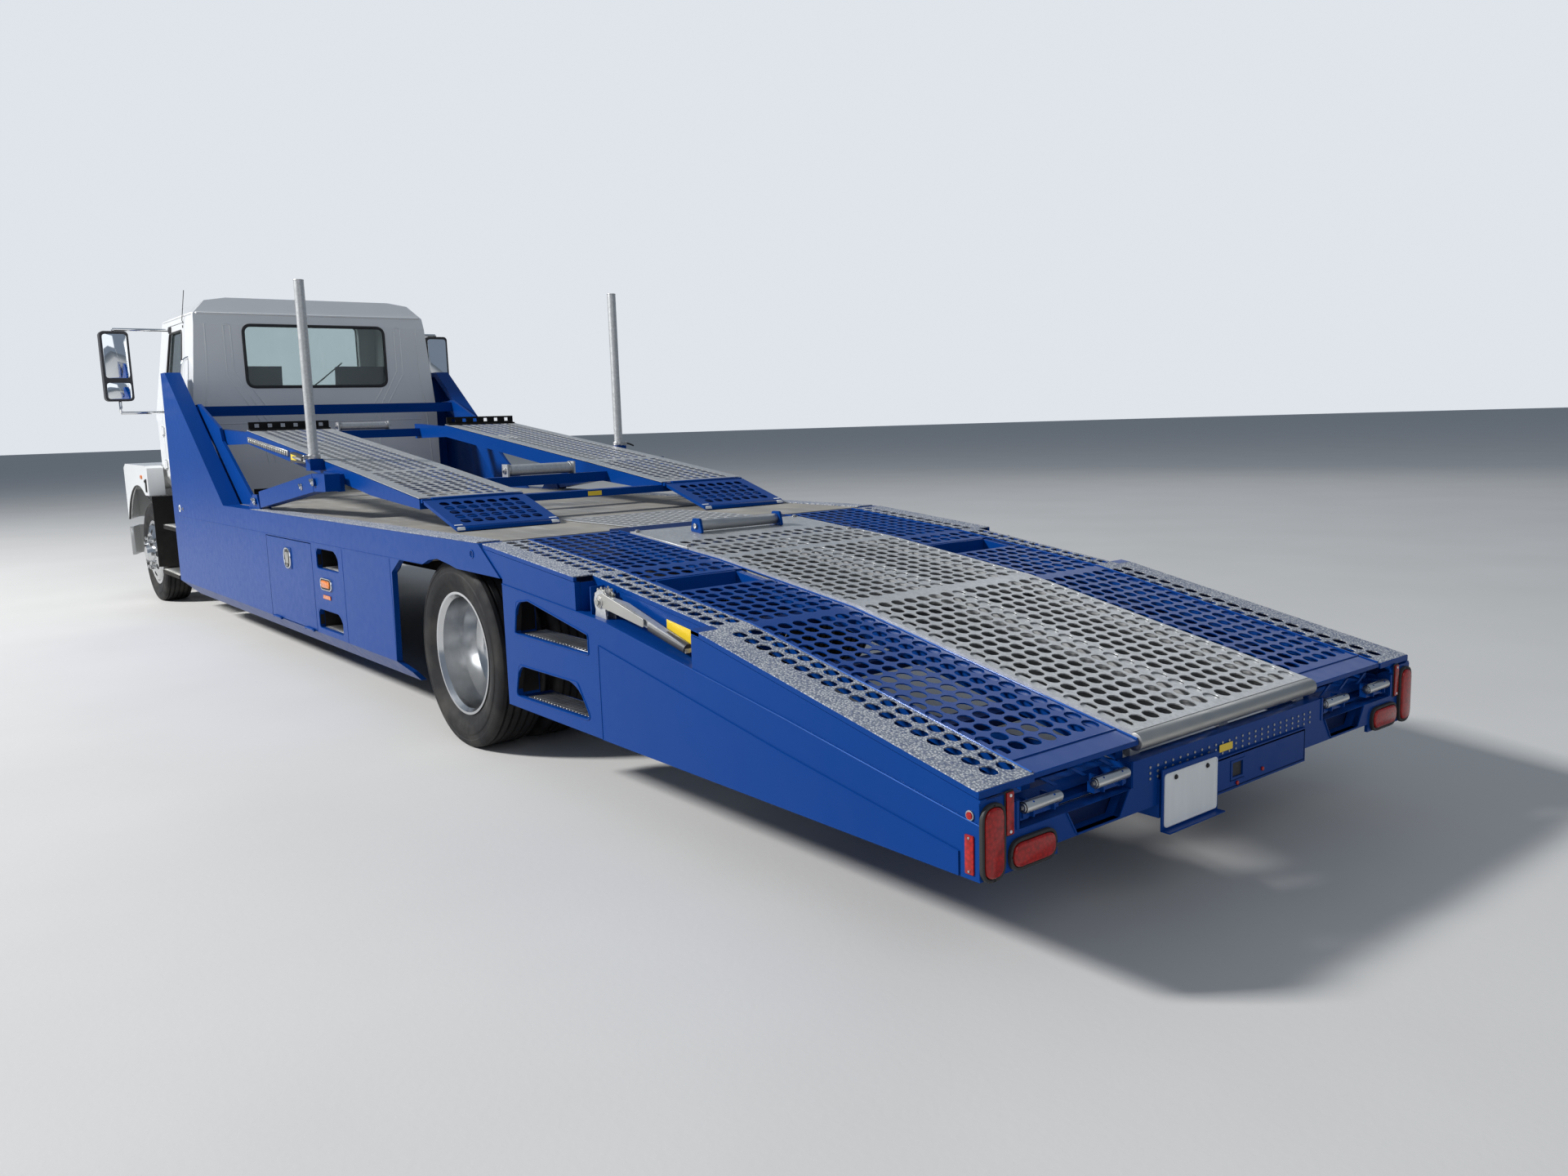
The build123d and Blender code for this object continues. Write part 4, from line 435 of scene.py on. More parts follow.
@dataclass(frozen=True)
class Lens(Finish):
    """Coloured lamp lens with small prisms moulded behind its gloss."""

    colour: Colour
    pitch: float = 85.0

    def dress(self, board: NodeBoard) -> None:
        """Lay the lens's colour, prisms and gloss.

        Args:
            board: the finish's node board.
        """
        prism = board.cells(self.pitch)
        board.colour(board.span(prism, 0.0, 1.1), self.colour, scaled(self.colour, 0.45))
        board.set(Roughness=0.20, Coat_Weight=0.25, Coat_Roughness=0.03, Specular_IOR_Level=0.30)
        board.bump(prism, 0.15, 0.0010)


@dataclass(frozen=True)
class Cloth(Finish):
    """Woven seat cloth."""

    colour: Colour = (0.11, 0.11, 0.12)

    def dress(self, board: NodeBoard) -> None:
        """Lay the weave's two yarns.

        Args:
            board: the finish's node board.
        """
        weft = board.noise(300.0, 2.0, (1.0, 6.0, 6.0))
        board.colour(weft, self.colour, scaled(self.colour, 1.9))
        board.set(Roughness=0.92, Sheen_Weight=0.25)
        board.bump(weft, 0.4, 0.001)


@dataclass(frozen=True)
class CastCoat(Finish):
    """Sand-cast iron or forged steel under black chassis paint, dusty and a little rusty."""

    colour: Colour = (0.035, 0.035, 0.036)

    def dress(self, board: NodeBoard) -> None:
        """Lay the paint, the dust, the rust and the casting's skin.

        Args:
            board: the finish's node board.
        """
        film = board.ramp(board.noise(6.0, 9.0), [(0.40, grey(0.0)), (0.80, grey(0.6))])
        dust = board.mix(film, self.colour, (0.22, 0.19, 0.16))
        rust = board.ramp(board.noise(17.0, 8.0), [(0.62, grey(0.0)), (0.74, grey(1.0))])
        board.colour(board.span(rust, 0.0, 0.35), dust, (0.17, 0.07, 0.035))
        board.gloss(20.0, 5.0, 0.5, 0.85)
        board.bump(board.noise(120.0, 6.0), 0.3, 0.0015)


@dataclass(frozen=True)
class PlateEnamel(Finish):
    """Flat enamel or film on a bare plate, with light scratches."""

    colour: Colour

    def dress(self, board: NodeBoard) -> None:
        """Lay the enamel and its scratches.

        Args:
            board: the finish's node board.
        """
        board.colour(board.noise(26.0, 8.0, (1.0, 1.0, 0.2)), self.colour, scaled(self.colour, 0.82))
        board.gloss(60.0, 5.0, 0.25, 0.5)
        board.bump(board.noise(90.0, 3.0), 0.04, 0.0006)


@dataclass(frozen=True)
class DustyPlate(Finish):
    """Worn floor plate under a film of pale road dust."""

    def dress(self, board: NodeBoard) -> None:
        """Lay the dust, the scuffs and the plate's skin.

        Args:
            board: the finish's node board.
        """
        dust = board.ramp(board.noise(2.4, 8.0), [(0.30, (0.36, 0.33, 0.28)), (0.72, (0.20, 0.20, 0.19))])
        scuff = board.ramp(board.noise(13.0, 7.0, (0.25, 1.0, 1.0)), [(0.52, grey(0.0)), (0.70, grey(1.0))])
        board.colour(board.span(scuff, 0.0, 0.45), dust, (0.46, 0.46, 0.45))
        board.set(Metallic=0.25)
        board.gloss(30.0, 5.0, 0.55, 0.85)
        board.bump(board.noise(80.0, 5.0), 0.15, 0.001)


BLUE = GlossPaint(
    "blue enamel", (0.0012, 0.041, 0.215), dust_share=0.006, coat=0.03, sheen=(0.03, 0.28, 1.0), ior=1.24,
)
# Darker copy of the blue paint: painted shade for blue parts that sit in shadow.
SHADED_BLUE = GlossPaint(
    "blue enamel inside", (0.0010, 0.012, 0.070), dust_share=0.02, coat=0.0, roughness=0.6, sheen=(0.1, 0.3, 0.9),
)
WHITE = GlossPaint("white cab enamel", (0.78, 0.79, 0.79), dust=(0.50, 0.46, 0.40), dust_share=0.12)
BLACK = GlossPaint(
    "black chassis enamel", (0.008, 0.008, 0.009), dust_share=0.05, roughness=0.66, coat=0.0, ior=1.18,
)
ZINC = Galvanised("galvanised steel", 0.56, 0.44)
SHADED_ZINC = Galvanised("shaded zinc", 0.045, 0.7)
GRIT = GritCoat("anti-slip grit")
BRUSHED_ZINC = BareMetal("brushed zinc", (0.55, 0.54, 0.51), 0.33)
BRIGHT_ZINC = BareMetal("bright zinc", (0.82, 0.82, 0.80), 0.24)
POLISHED = BareMetal("polished aluminium", (0.70, 0.71, 0.72), 0.17)
STEEL = BareMetal("plain steel", (0.52, 0.52, 0.52), 0.34)
CHROME = BareMetal("bright chrome", (0.86, 0.87, 0.88), 0.07)
TYRE = Rubber("tyre rubber")
PLASTIC = Moulding("black moulding")
SEAL = Moulding("rubber seal", grey(0.012), 0.6)
GLASS = Pane("window glass")
SILVER = MirrorGlass("mirror glass")
RED_LENS = Lens("red lens", (0.46, 0.008, 0.006))
AMBER_LENS = Lens("amber lens", (0.85, 0.22, 0.02))
CLEAR_LENS = Lens("clear lens", (0.80, 0.82, 0.84), 90.0)
SEAT_CLOTH = Cloth("seat cloth")
CAST = CastCoat("cast iron")
FLOOR_PLATE = DustyPlate("dusty floor plate")
PALE_PLATE = PlateEnamel("pale plate enamel", (0.80, 0.81, 0.81))
YELLOW_PLATE = PlateEnamel("yellow plate enamel", (0.86, 0.60, 0.03))

NODE_FINISH: dict[Finish, str] = {
    BLACK: "chassis_frame chassis_tanks wheel_stops steps_and_guards",
    CAST: "front_axle rear_axle knuckle tie_rod engine_and_driveline",
    BLUE: "side_rails side_panels step_panels side_boxes toolbox_door tail_gratings tail_beam tail_ramp head_rack "
          "upper_deck_frame runway_flap lift_arm lift_rod arm_lugs",
    # The tail frame takes the darker blue, painted shade for the frame in shadow under the gratings.
    SHADED_BLUE: "tail_frame",
    ZINC: "side_ratchets centre_panel winch_cover runway_plates posts_and_rollers",
    FLOOR_PLATE: "deck_floor",
    GRIT: "deck_strips",
    RED_LENS: "tail_lamps",
    WHITE: "cab_shell cab_door hood front_bumper",
    GLASS: "cab_windows door_glass",
    PLASTIC: "door_mirror steering_wheel",
    SEAT_CLOTH: "cab_interior",
    CHROME: "grille",
    CLEAR_LENS: "headlamps",
    POLISHED: "rear_wheel front_wheel",
    TYRE: "rear_tyres front_tyre",
}


# ---------------------------------------------------------------- modelling


class Side(Enum):
    """The truck's two sides, by the sign of Y."""

    LEFT = 1
    RIGHT = -1

    @property
    def tail(self) -> str:
        """The side's ending in a body's or node's name."""
        return self.name.lower()

    def span(self, inner: float, outer: float) -> Pair:
        """Low and high Y of what lies between two distances from the middle."""
        return tuple(sorted((self.value * inner, self.value * outer)))

    def column(self, inner: float, count: int) -> float:
        """Y of the first of some columns of tiles, the inmost at a distance from the middle."""
        return inner if self is Side.LEFT else -(inner + (count - 1) * PITCH)


class Axis(Enum):
    """A direction that a bar or disc is built along."""

    X = (0.0, math.pi / 2, 0.0)
    Y = (math.pi / 2, 0.0, 0.0)
    Z = (0.0, 0.0, 0.0)


def clear() -> None:
    """Leave edit mode and select nothing."""
    if bpy.context.object is not None and bpy.context.object.mode != "OBJECT":
        bpy.ops.object.mode_set(mode="OBJECT")
    bpy.ops.object.select_all(action="DESELECT")


def take(piece: Piece) -> None:
    """Make one object the only selected and active one.

    Args:
        piece: the object.
    """
    clear()
    piece.select_set(True)
    bpy.context.view_layer.objects.active = piece


def edit(piece: Piece, mode: str = "FACE") -> None:
    """Open an object for editing with nothing selected.

    Args:
        piece: the object.
        mode: VERT, EDGE or FACE.
    """
    take(piece)
    bpy.ops.object.mode_set(mode="EDIT")
    bpy.ops.mesh.select_mode(type=mode)
    bpy.ops.mesh.select_all(action="DESELECT")


def pick_verts(piece: Piece, test: Callable[[Vector], bool]) -> None:
    """Select the vertices that pass a test.

    Args:
        piece: the object in edit mode.
        test: says whether a vertex's place passes.
    """
    mesh = bmesh.from_edit_mesh(piece.data)
    for vert in mesh.verts:
        vert.select_set(test(vert.co))
    mesh.select_flush(True)
    bmesh.update_edit_mesh(piece.data)


def pick_edges(piece: Piece, test: Callable[[Vector], bool]) -> None:
    """Select the edges with both ends passing a test.

    Args:
        piece: the object in edit mode.
        test: says whether an end's place passes.
    """
    mesh = bmesh.from_edit_mesh(piece.data)
    for one in mesh.edges:
        one.select_set(all(test(end.co) for end in one.verts))
    bmesh.update_edit_mesh(piece.data)


def pick_rim(piece: Piece, test: Callable[[Vector], bool]) -> None:
    """Select the open edges that pass a test.

    Args:
        piece: the object in edit mode, with edges as its select mode.
        test: says whether an edge's middle passes.
    """
    mesh = bmesh.from_edit_mesh(piece.data)
    for one in mesh.edges:
        one.select_set(one.is_boundary and test((one.verts[0].co + one.verts[1].co) / 2))
    bmesh.update_edit_mesh(piece.data)


def pick_faces(piece: Piece, test: Callable[[Vector], bool]) -> None:
    """Select the faces that pass a test.

    Args:
        piece: the object in edit mode.
        test: says whether a face's normal passes.
    """
    mesh = bmesh.from_edit_mesh(piece.data)
    mesh.normal_update()
    for face in mesh.faces:
        face.select_set(test(face.normal))
    bmesh.update_edit_mesh(piece.data)


def pull(value: Point) -> None:
    """Extrude what is selected by a vector."""
    bpy.ops.mesh.extrude_region_move(TRANSFORM_OT_translate={"value": value})


def modify(piece: Piece, kind: str, **settings: object) -> None:
    """Add a modifier and apply it.

    Args:
        piece: the object.
        kind: the modifier's type.
        settings: its settings by name.
    """
    take(piece)
    bpy.ops.object.modifier_add(type=kind)
    modifier = piece.modifiers[-1]
    for key, value in settings.items():
        setattr(modifier, key, value)
    bpy.ops.object.modifier_apply(modifier=modifier.name)


def repeated(piece: Piece, count: int, step: Point, **settings: object) -> Piece:
    """Repeat a piece in a straight row.

    Args:
        piece: the object to repeat.
        count: how many there are in all.
        step: vector from one to the next.
        settings: further settings of the array.

    Returns:
        The same object with all its repeats.
    """
    offsets = {"use_relative_offset": False, "use_constant_offset": True, "constant_offset_displace": step}
    modify(piece, "ARRAY", count=count, **offsets, **settings)
    return piece


def outward() -> None:
    """Merge doubled vertices of the mesh in edit mode and turn its faces outwards."""
    bpy.ops.mesh.select_all(action="SELECT")
    bpy.ops.mesh.remove_doubles(threshold=0.00005)
    bpy.ops.mesh.normals_make_consistent(inside=False)


def block(low: Point, high: Point, edge: float = 0.002, segments: int = 1) -> Piece:
    """Box with softened edges between two corners.

    Args:
        low: lowest corner.
        high: highest corner.
        edge: width of the bevel.
        segments: steps of the bevel.

    Returns:
        The new object.
    """
    clear()
    middle = [(a + b) / 2 for a, b in zip(low, high)]
    bpy.ops.mesh.primitive_cube_add(size=1.0, location=middle)
    piece = bpy.context.object
    piece.scale = [b - a for a, b in zip(low, high)]
    bpy.ops.object.transform_apply(location=True, rotation=True, scale=True)
    if edge:
        edit(piece, "EDGE")
        bpy.ops.mesh.select_all(action="SELECT")
        bpy.ops.mesh.bevel(offset=edge, segments=segments, affect="EDGES")
    clear()
    return piece


def disc(
    centre: Point, radius: float, depth: float, axis: Axis, edge: float = 0.002, vertices: int = 24,
) -> Piece:
    """Short round bar with bevelled ends.

    Args:
        centre: its middle.
        radius: its radius.
        depth: its length.
        axis: its direction.
        edge: width of the bevel round both ends.
        vertices: sides of the round.

    Returns:
        The new object.
    """
    clear()
    bpy.ops.mesh.primitive_cylinder_add(
        vertices=vertices, radius=radius, depth=depth, location=centre, rotation=axis.value
    )
    piece = bpy.context.object
    bpy.ops.object.transform_apply(location=True, rotation=True, scale=True)
    if edge:
        edit(piece)
        pick_faces(piece, lambda normal: abs(normal.dot(stood(axis, 1.0))) > 0.9)
        bpy.ops.mesh.bevel(offset=edge, segments=2, affect="EDGES")
    clear()
    return piece


def rounded(corners: Sequence[Pair], radius: float, steps: int = 5) -> list[Pair]:
    """Outline with its corners drawn round.

    Args:
        corners: the outline's corners in order.
        radius: radius of the rounding.
        steps: runs in each corner.

    Returns:
        The rounded outline's points.
    """
    points: list[Pair] = []
    count = len(corners)
    for index, corner in enumerate(corners):
        here = Vector(corner)
        back = Vector(corners[index - 1]) - here
        on = Vector(corners[(index + 1) % count]) - here
        half = back.angle(on) / 2
        reach = min(radius / math.tan(half), back.length * 0.499, on.length * 0.499)
        start, end = here + back.normalized() * reach, here + on.normalized() * reach
        for step in range(steps + 1):
            t = step / steps
            points.append(tuple(start * (1 - t) ** 2 + here * (2 * t * (1 - t)) + end * t ** 2))
    return points


def rectangle(middle: Pair, size: Pair) -> list[Pair]:
    """Corners of a rectangle round its middle."""
    (a, b), (w, h) = middle, (size[0] / 2, size[1] / 2)
    return [(a - w, b - h), (a + w, b - h), (a + w, b + h), (a - w, b + h)]


def lay(axis: Axis, level: float, outline: Sequence[Pair]) -> list[tuple[float, float, float]]:
    """Outline's places in the plane square to an axis at a level."""
    return [{Axis.X: (level, a, b), Axis.Y: (a, level, b), Axis.Z: (a, b, level)}[axis] for a, b in outline]


def stood(axis: Axis, depth: float) -> Vector:
    """Vector of a length along an axis."""
    return Vector({Axis.X: (depth, 0, 0), Axis.Y: (0, depth, 0), Axis.Z: (0, 0, depth)}[axis])


def badge(
    axis: Axis, level: float, middle: Pair, size: Pair, radius: float, depth: float,
    edge: float = 0.002, segments: int = 2,
) -> Piece:
    """Rounded plate standing out of a plane.

    Args:
        axis: the direction that the plane faces.
        level: the plane's place along it.
        middle: the plate's middle in the plane.
        size: its width and height.
        radius: rounding of its corners.
        depth: how far it stands out, with its sign.
        edge: bevel of its edges.
        segments: steps of the bevel.

    Returns:
        The new object.
    """
    return plate(axis, level, rounded(rectangle(middle, size), radius), depth, edge, segments)


def bezel(
    axis: Axis, level: float, middle: Pair, size: Pair, radius: float, depth: float, rim: float,
) -> Piece:
    """Rounded plate with a raised rim round a sunken face.

    Args:
        axis: the direction that the plane faces.
        level: the plane's place along it.
        middle: the plate's middle in the plane.
        size: its width and height.
        radius: rounding of its corners.
        depth: how far it stands out, with its sign.
        rim: width of the rim.

    Returns:
        The new object.
    """
    piece = badge(axis, level, middle, size, radius, depth, 0.0)
    front = stood(axis, 1.0) * math.copysign(1.0, depth)
    edit(piece)
    pick_faces(piece, lambda normal: normal.dot(front) > 0.9)
    bpy.ops.mesh.inset(thickness=rim, depth=0.0)
    pull(front * -abs(depth) * 0.7)
    bpy.ops.mesh.select_all(action="DESELECT")
    bpy.ops.mesh.select_mode(type="EDGE")
    plane = stood(axis, 1.0).dot(stood(axis, level + depth))
    pick_edges(piece, lambda co: abs(stood(axis, 1.0).dot(co) - plane) < 0.0001)
    bpy.ops.mesh.bevel(offset=min(rim * 0.3, abs(depth) * 0.3), segments=2, affect="EDGES")
    clear()
    return piece


def bolt(axis: Axis, place: Point, radius: float = 0.009, depth: float = 0.007) -> Piece:
    """Hexagon bolt head on its washer.

    Args:
        axis: the direction that it stands out.
        place: middle of the washer's seat.
        radius: half the head's width over its corners.
        depth: height of head and washer, with its sign.

    Returns:
        The new object.
    """
    seat = Vector(place)
    washer = disc(seat + stood(axis, depth * 0.15), radius * 1.35, abs(depth) * 0.3, axis, 0.0006, 14)
    head = disc(seat + stood(axis, depth * 0.65), radius, abs(depth) * 0.7, axis, abs(depth) * 0.12, 6)
    return joined([washer, head])


def weld(points: Sequence[Point], radius: float = 0.0028) -> Piece:
    """Weld bead along straight runs."""
    return tube(points, radius, smooth=False, resolution=1)


def loop(points: Sequence[Point], radius: float, resolution: int = 2) -> Piece:
    """Round section along a closed line.

    Args:
        points: the line's places in order.
        radius: radius of the section.
        resolution: fineness of its round.

    Returns:
        The new object, a mesh.
    """
    return tube(points, radius, smooth=False, resolution=resolution, closed=True)


def settle_pair(
    piece: Piece, name: str, finish: Finish, body: str = "truck",
    stands_for: Sequence[str] = (), angle: float = 38.0,
) -> None:
    """Finish a left piece and its mirror image on the right.

    Args:
        piece: the left piece.
        name: the pair's name.
        finish: its surface.
        body: the body's name, with a star for the side.
        stands_for: CAD nodes that it replaces, with a star for the side.
        angle: edges sharper than this many degrees stay sharp.
    """
    twin = across(piece)
    for side, one in ((Side.LEFT, piece), (Side.RIGHT, twin)):
        nodes = [node.replace("*", side.tail) for node in stands_for]
        settle(one, f"{name}_{side.tail}", finish, body.replace("*", side.tail), nodes, angle)


def pen(points: Sequence[Point]) -> Piece:
    """Chain of edges, drawn by extruding one vertex from place to place.

    Args:
        points: places in order.

    Returns:
        The new object, left in edit mode with its last vertex selected.
    """
    clear()
    bpy.ops.mesh.primitive_plane_add(size=0.01)
    piece = bpy.context.object
    edit(piece, "VERT")
    bpy.ops.mesh.select_all(action="SELECT")
    bpy.ops.mesh.merge(type="CENTER")
    bpy.ops.transform.translate(value=points[0])
    for a, b in zip(points, points[1:]):
        pull(Vector(b) - Vector(a))
    return piece


def slab(points: Sequence[Point], depth: Point, edge: float = 0.002, segments: int = 1) -> Piece:
    """Plate of any outline, pulled to its thickness and softened.

    Args:
        points: outline in order, all in one plane.
        depth: vector from one face to the other.
        edge: width of the bevel.
        segments: steps of the bevel.

    Returns:
        The new object.
    """
    piece = pen(points)
    bpy.ops.mesh.select_all(action="SELECT")
    bpy.ops.mesh.edge_face_add()
    pull(depth)
    outward()
    if edge:
        bpy.ops.mesh.select_mode(type="EDGE")
        bpy.ops.mesh.select_all(action="SELECT")
        bpy.ops.mesh.bevel(offset=edge, segments=segments, affect="EDGES")
    clear()
    return piece


def plate(
    axis: Axis, level: float, outline: Sequence[Pair], depth: float, edge: float = 0.002, segments: int = 1,
) -> Piece:
    """Plate whose outline lies square to an axis.

    Args:
        axis: the axis.
        level: place of the first face along it.
        outline: the plate's corners in that plane.
        depth: way to the other face, with its sign.
        edge: width of the bevel.
        segments: steps of the bevel.

    Returns:
        The new object.
    """
    return slab(lay(axis, level, outline), stood(axis, depth), edge, segments)


def lathe(profile: Sequence[Pair], centre: Point, steps: int = 72) -> Piece:
    """Shape spun round a line along Y.

    Args:
        profile: (distance along Y from the centre, radius) in order, closed where it starts.
        centre: a point on the line.
        steps: steps of the turn.

    Returns:
        The new object.
    """
    x, y, z = centre
    piece = pen([(x, y + along, z + radius) for along, radius in [*profile, profile[0]]])
    bpy.ops.mesh.select_all(action="SELECT")
    bpy.ops.mesh.spin(steps=steps, angle=math.tau, center=centre, axis=(0, 1, 0))
    outward()
    clear()
    return piece


def tube(
    points: Sequence[Point], radius: float, smooth: bool = True, resolution: int = 4, closed: bool = False
) -> Piece:
    """Round bar or pipe along a line of points.

    Args:
        points: places along its middle.
        radius: its radius.
        smooth: whether its corners are drawn round.
        resolution: fineness of its round.
        closed: whether its end joins its start.

    Returns:
        The new object, a mesh.
    """
    clear()
    bpy.ops.curve.primitive_nurbs_path_add()
    piece = bpy.context.object
    piece.location = (0, 0, 0)
    curve = piece.data
    curve.splines.clear()
    spline = curve.splines.new("NURBS" if smooth else "POLY")
    spline.points.add(len(points) - 1)
    for place, point in zip(spline.points, points):
        place.co = (*point, 1.0)
    if smooth:
        spline.order_u = 3
        spline.use_endpoint_u = True
        spline.resolution_u = 6
    spline.use_cyclic_u = closed
    curve.bevel_depth = radius
    curve.bevel_resolution = resolution
    curve.use_fill_caps = True
    take(piece)
    bpy.ops.object.convert(target="MESH")
    piece = bpy.context.object
    clear()
    return piece


def joined(pieces: Sequence[Piece]) -> Piece:
    """Join several objects into the first.

    Args:
        pieces: the objects.

    Returns:
        The first object.
    """
    clear()
    for piece in pieces:
        piece.select_set(True)
    bpy.context.view_layer.objects.active = pieces[0]
    if len(pieces) > 1:
        bpy.ops.object.join()
    clear()
    return pieces[0]


def copied(piece: Piece, move: Point = (0, 0, 0)) -> Piece:
    """Copy an object with its mesh.

    Args:
        piece: the object to copy.
        move: where the copy goes.

    Returns:
        The copy.
    """
    take(piece)
    bpy.ops.object.duplicate(linked=False)
    twin = bpy.context.object
    twin.location = move
    bpy.ops.object.transform_apply(location=True, rotation=True, scale=True)
    clear()
    return twin


def flipped(piece: Piece) -> Piece:
    """The same object with its faces turned over.

    Args:
        piece: the object.

    Returns:
        The same object.
    """
    edit(piece)
    bpy.ops.mesh.select_all(action="SELECT")
    bpy.ops.mesh.flip_normals()
    clear()
    return piece


def across(piece: Piece) -> Piece:
    """Copy an object to the truck's other side, as its mirror image.

    Args:
        piece: the object to copy.

    Returns:
        The mirrored copy.
    """
    twin = copied(piece)
    take(twin)
    twin.scale = (1, -1, 1)
    bpy.ops.object.transform_apply(location=True, rotation=True, scale=True)
    return flipped(twin)


def settle(
    piece: Piece, name: str, finish: Finish, body: str, stands_for: Sequence[str] = (),
    angle: float = 38.0,
) -> None:
    """Finish a piece: name, shading, material, body and report.

    Args:
        piece: the modelled object.
        name: the piece's name.
        finish: its surface.
        body: the CAD body that it rides on.
        stands_for: CAD nodes that it replaces.
        angle: edges sharper than this many degrees stay sharp.
    """
    take(piece)
    bpy.ops.object.transform_apply(location=True, rotation=True, scale=True)
    bpy.ops.object.shade_smooth_by_angle(angle=math.radians(angle))
    piece.name = name
    piece.data.name = name
    piece.data.materials.clear()
    piece.data.materials.append(finish.material())
    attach(piece, body)
    if stands_for:
        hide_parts(*stands_for)
    clear()
    LOG.info("%s: %d faces on %s", name, len(piece.data.polygons), body)


# ---------------------------------------------------------------- punched sheets


PITCH = 0.067


@dataclass
class Tile:
    """One square tile of punched sheet with its round hole."""

    sides: int = 12
    radius: float = 0.0280

    def build(self) -> Piece:
        """Model the tile flat round the origin.

        Returns:
            The tile, facing up: a square border bridged to the hole's edge.
        """
        clear()
        bpy.ops.mesh.primitive_plane_add(size=PITCH)
        piece = bpy.context.object
        edit(piece)
        bpy.ops.mesh.select_all(action="SELECT")
        bpy.ops.mesh.subdivide(number_cuts=2)
        bpy.ops.mesh.select_mode(type="VERT")
        inner = PITCH * 0.49
        pick_verts(piece, lambda co: abs(co.x) < inner and abs(co.y) < inner)
        bpy.ops.mesh.delete(type="VERT")
        turn = math.pi / self.sides
        bpy.ops.mesh.primitive_circle_add(vertices=self.sides, radius=self.radius, rotation=(0, 0, turn))
        bpy.ops.mesh.select_all(action="SELECT")
        bpy.ops.mesh.bridge_edge_loops()
        outward()
        clear()
        if sum(face.normal.z * face.area for face in piece.data.polygons) < 0:
            flipped(piece)
        return piece


@dataclass
class PunchedSheet:
    """Sheet of tiles laid along a bent profile."""

    name: str
    finish: Finish
    body: str
    slot: str
    stands_for: tuple[str, ...]
    profile: Sequence[Pair]
    sides: Pair
    first_column: float
    columns: int
    thickness: float = 0.004
    end_gap: float = 0.012

    def run(self, tile: Piece, start: Pair, end: Pair) -> Piece:
        """One flat run of the sheet, turned to its slope.

        Args:
            tile: the tile to repeat.
            start: (x, z) of the rear end.
            end: (x, z) of the front end.

        Returns:
            The run in its place.
        """
        length = math.hypot(end[0] - start[0], end[1] - start[1])
        rows = max(1, int((length - self.end_gap) / PITCH))
        margin = (length - rows * PITCH) / 2
        piece = copied(tile, (margin + PITCH / 2, self.first_column, 0))
        for count, step in ((rows, (PITCH, 0, 0)), (self.columns, (0, PITCH, 0))):
            repeated(piece, count, step, use_merge_vertices=True, merge_threshold=0.0004)
        last = self.first_column + (self.columns - 0.5) * PITCH
        first = self.first_column - PITCH / 2
        near = 0.001
        edit(piece, "EDGE")
        for test, amount in (
            (lambda co: co.y < first + near, (0, self.sides[0] - first, 0)),
            (lambda co: co.y > last - near, (0, self.sides[1] - last, 0)),
            (lambda co: co.x < margin + near, (-margin, 0, 0)),
            (lambda co: co.x > length - margin - near, (margin, 0, 0)),
        ):
            pick_rim(piece, test)
            pull(amount)
        clear()
        slope = math.atan2(end[1] - start[1], end[0] - start[0])
        piece.rotation_euler = (0, -slope, 0)
        piece.location = (start[0], 0, start[1])
        take(piece)
        bpy.ops.object.transform_apply(location=True, rotation=True, scale=True)
        return piece

    def build(self, tile: Piece) -> None:
        """Lay all the runs and join them into one closed sheet.

        Args:
            tile: the tile to repeat.
        """
        piece = joined([self.run(tile, a, b) for a, b in zip(self.profile, self.profile[1:])])
        edit(piece, "VERT")
        bpy.ops.mesh.select_all(action="SELECT")
        bpy.ops.mesh.remove_doubles(threshold=0.0006)
        clear()
        modify(piece, "SOLIDIFY", thickness=self.thickness, offset=-1.0)
        settle(piece, self.name, self.finish, self.body, self.stands_for, angle=42.0)


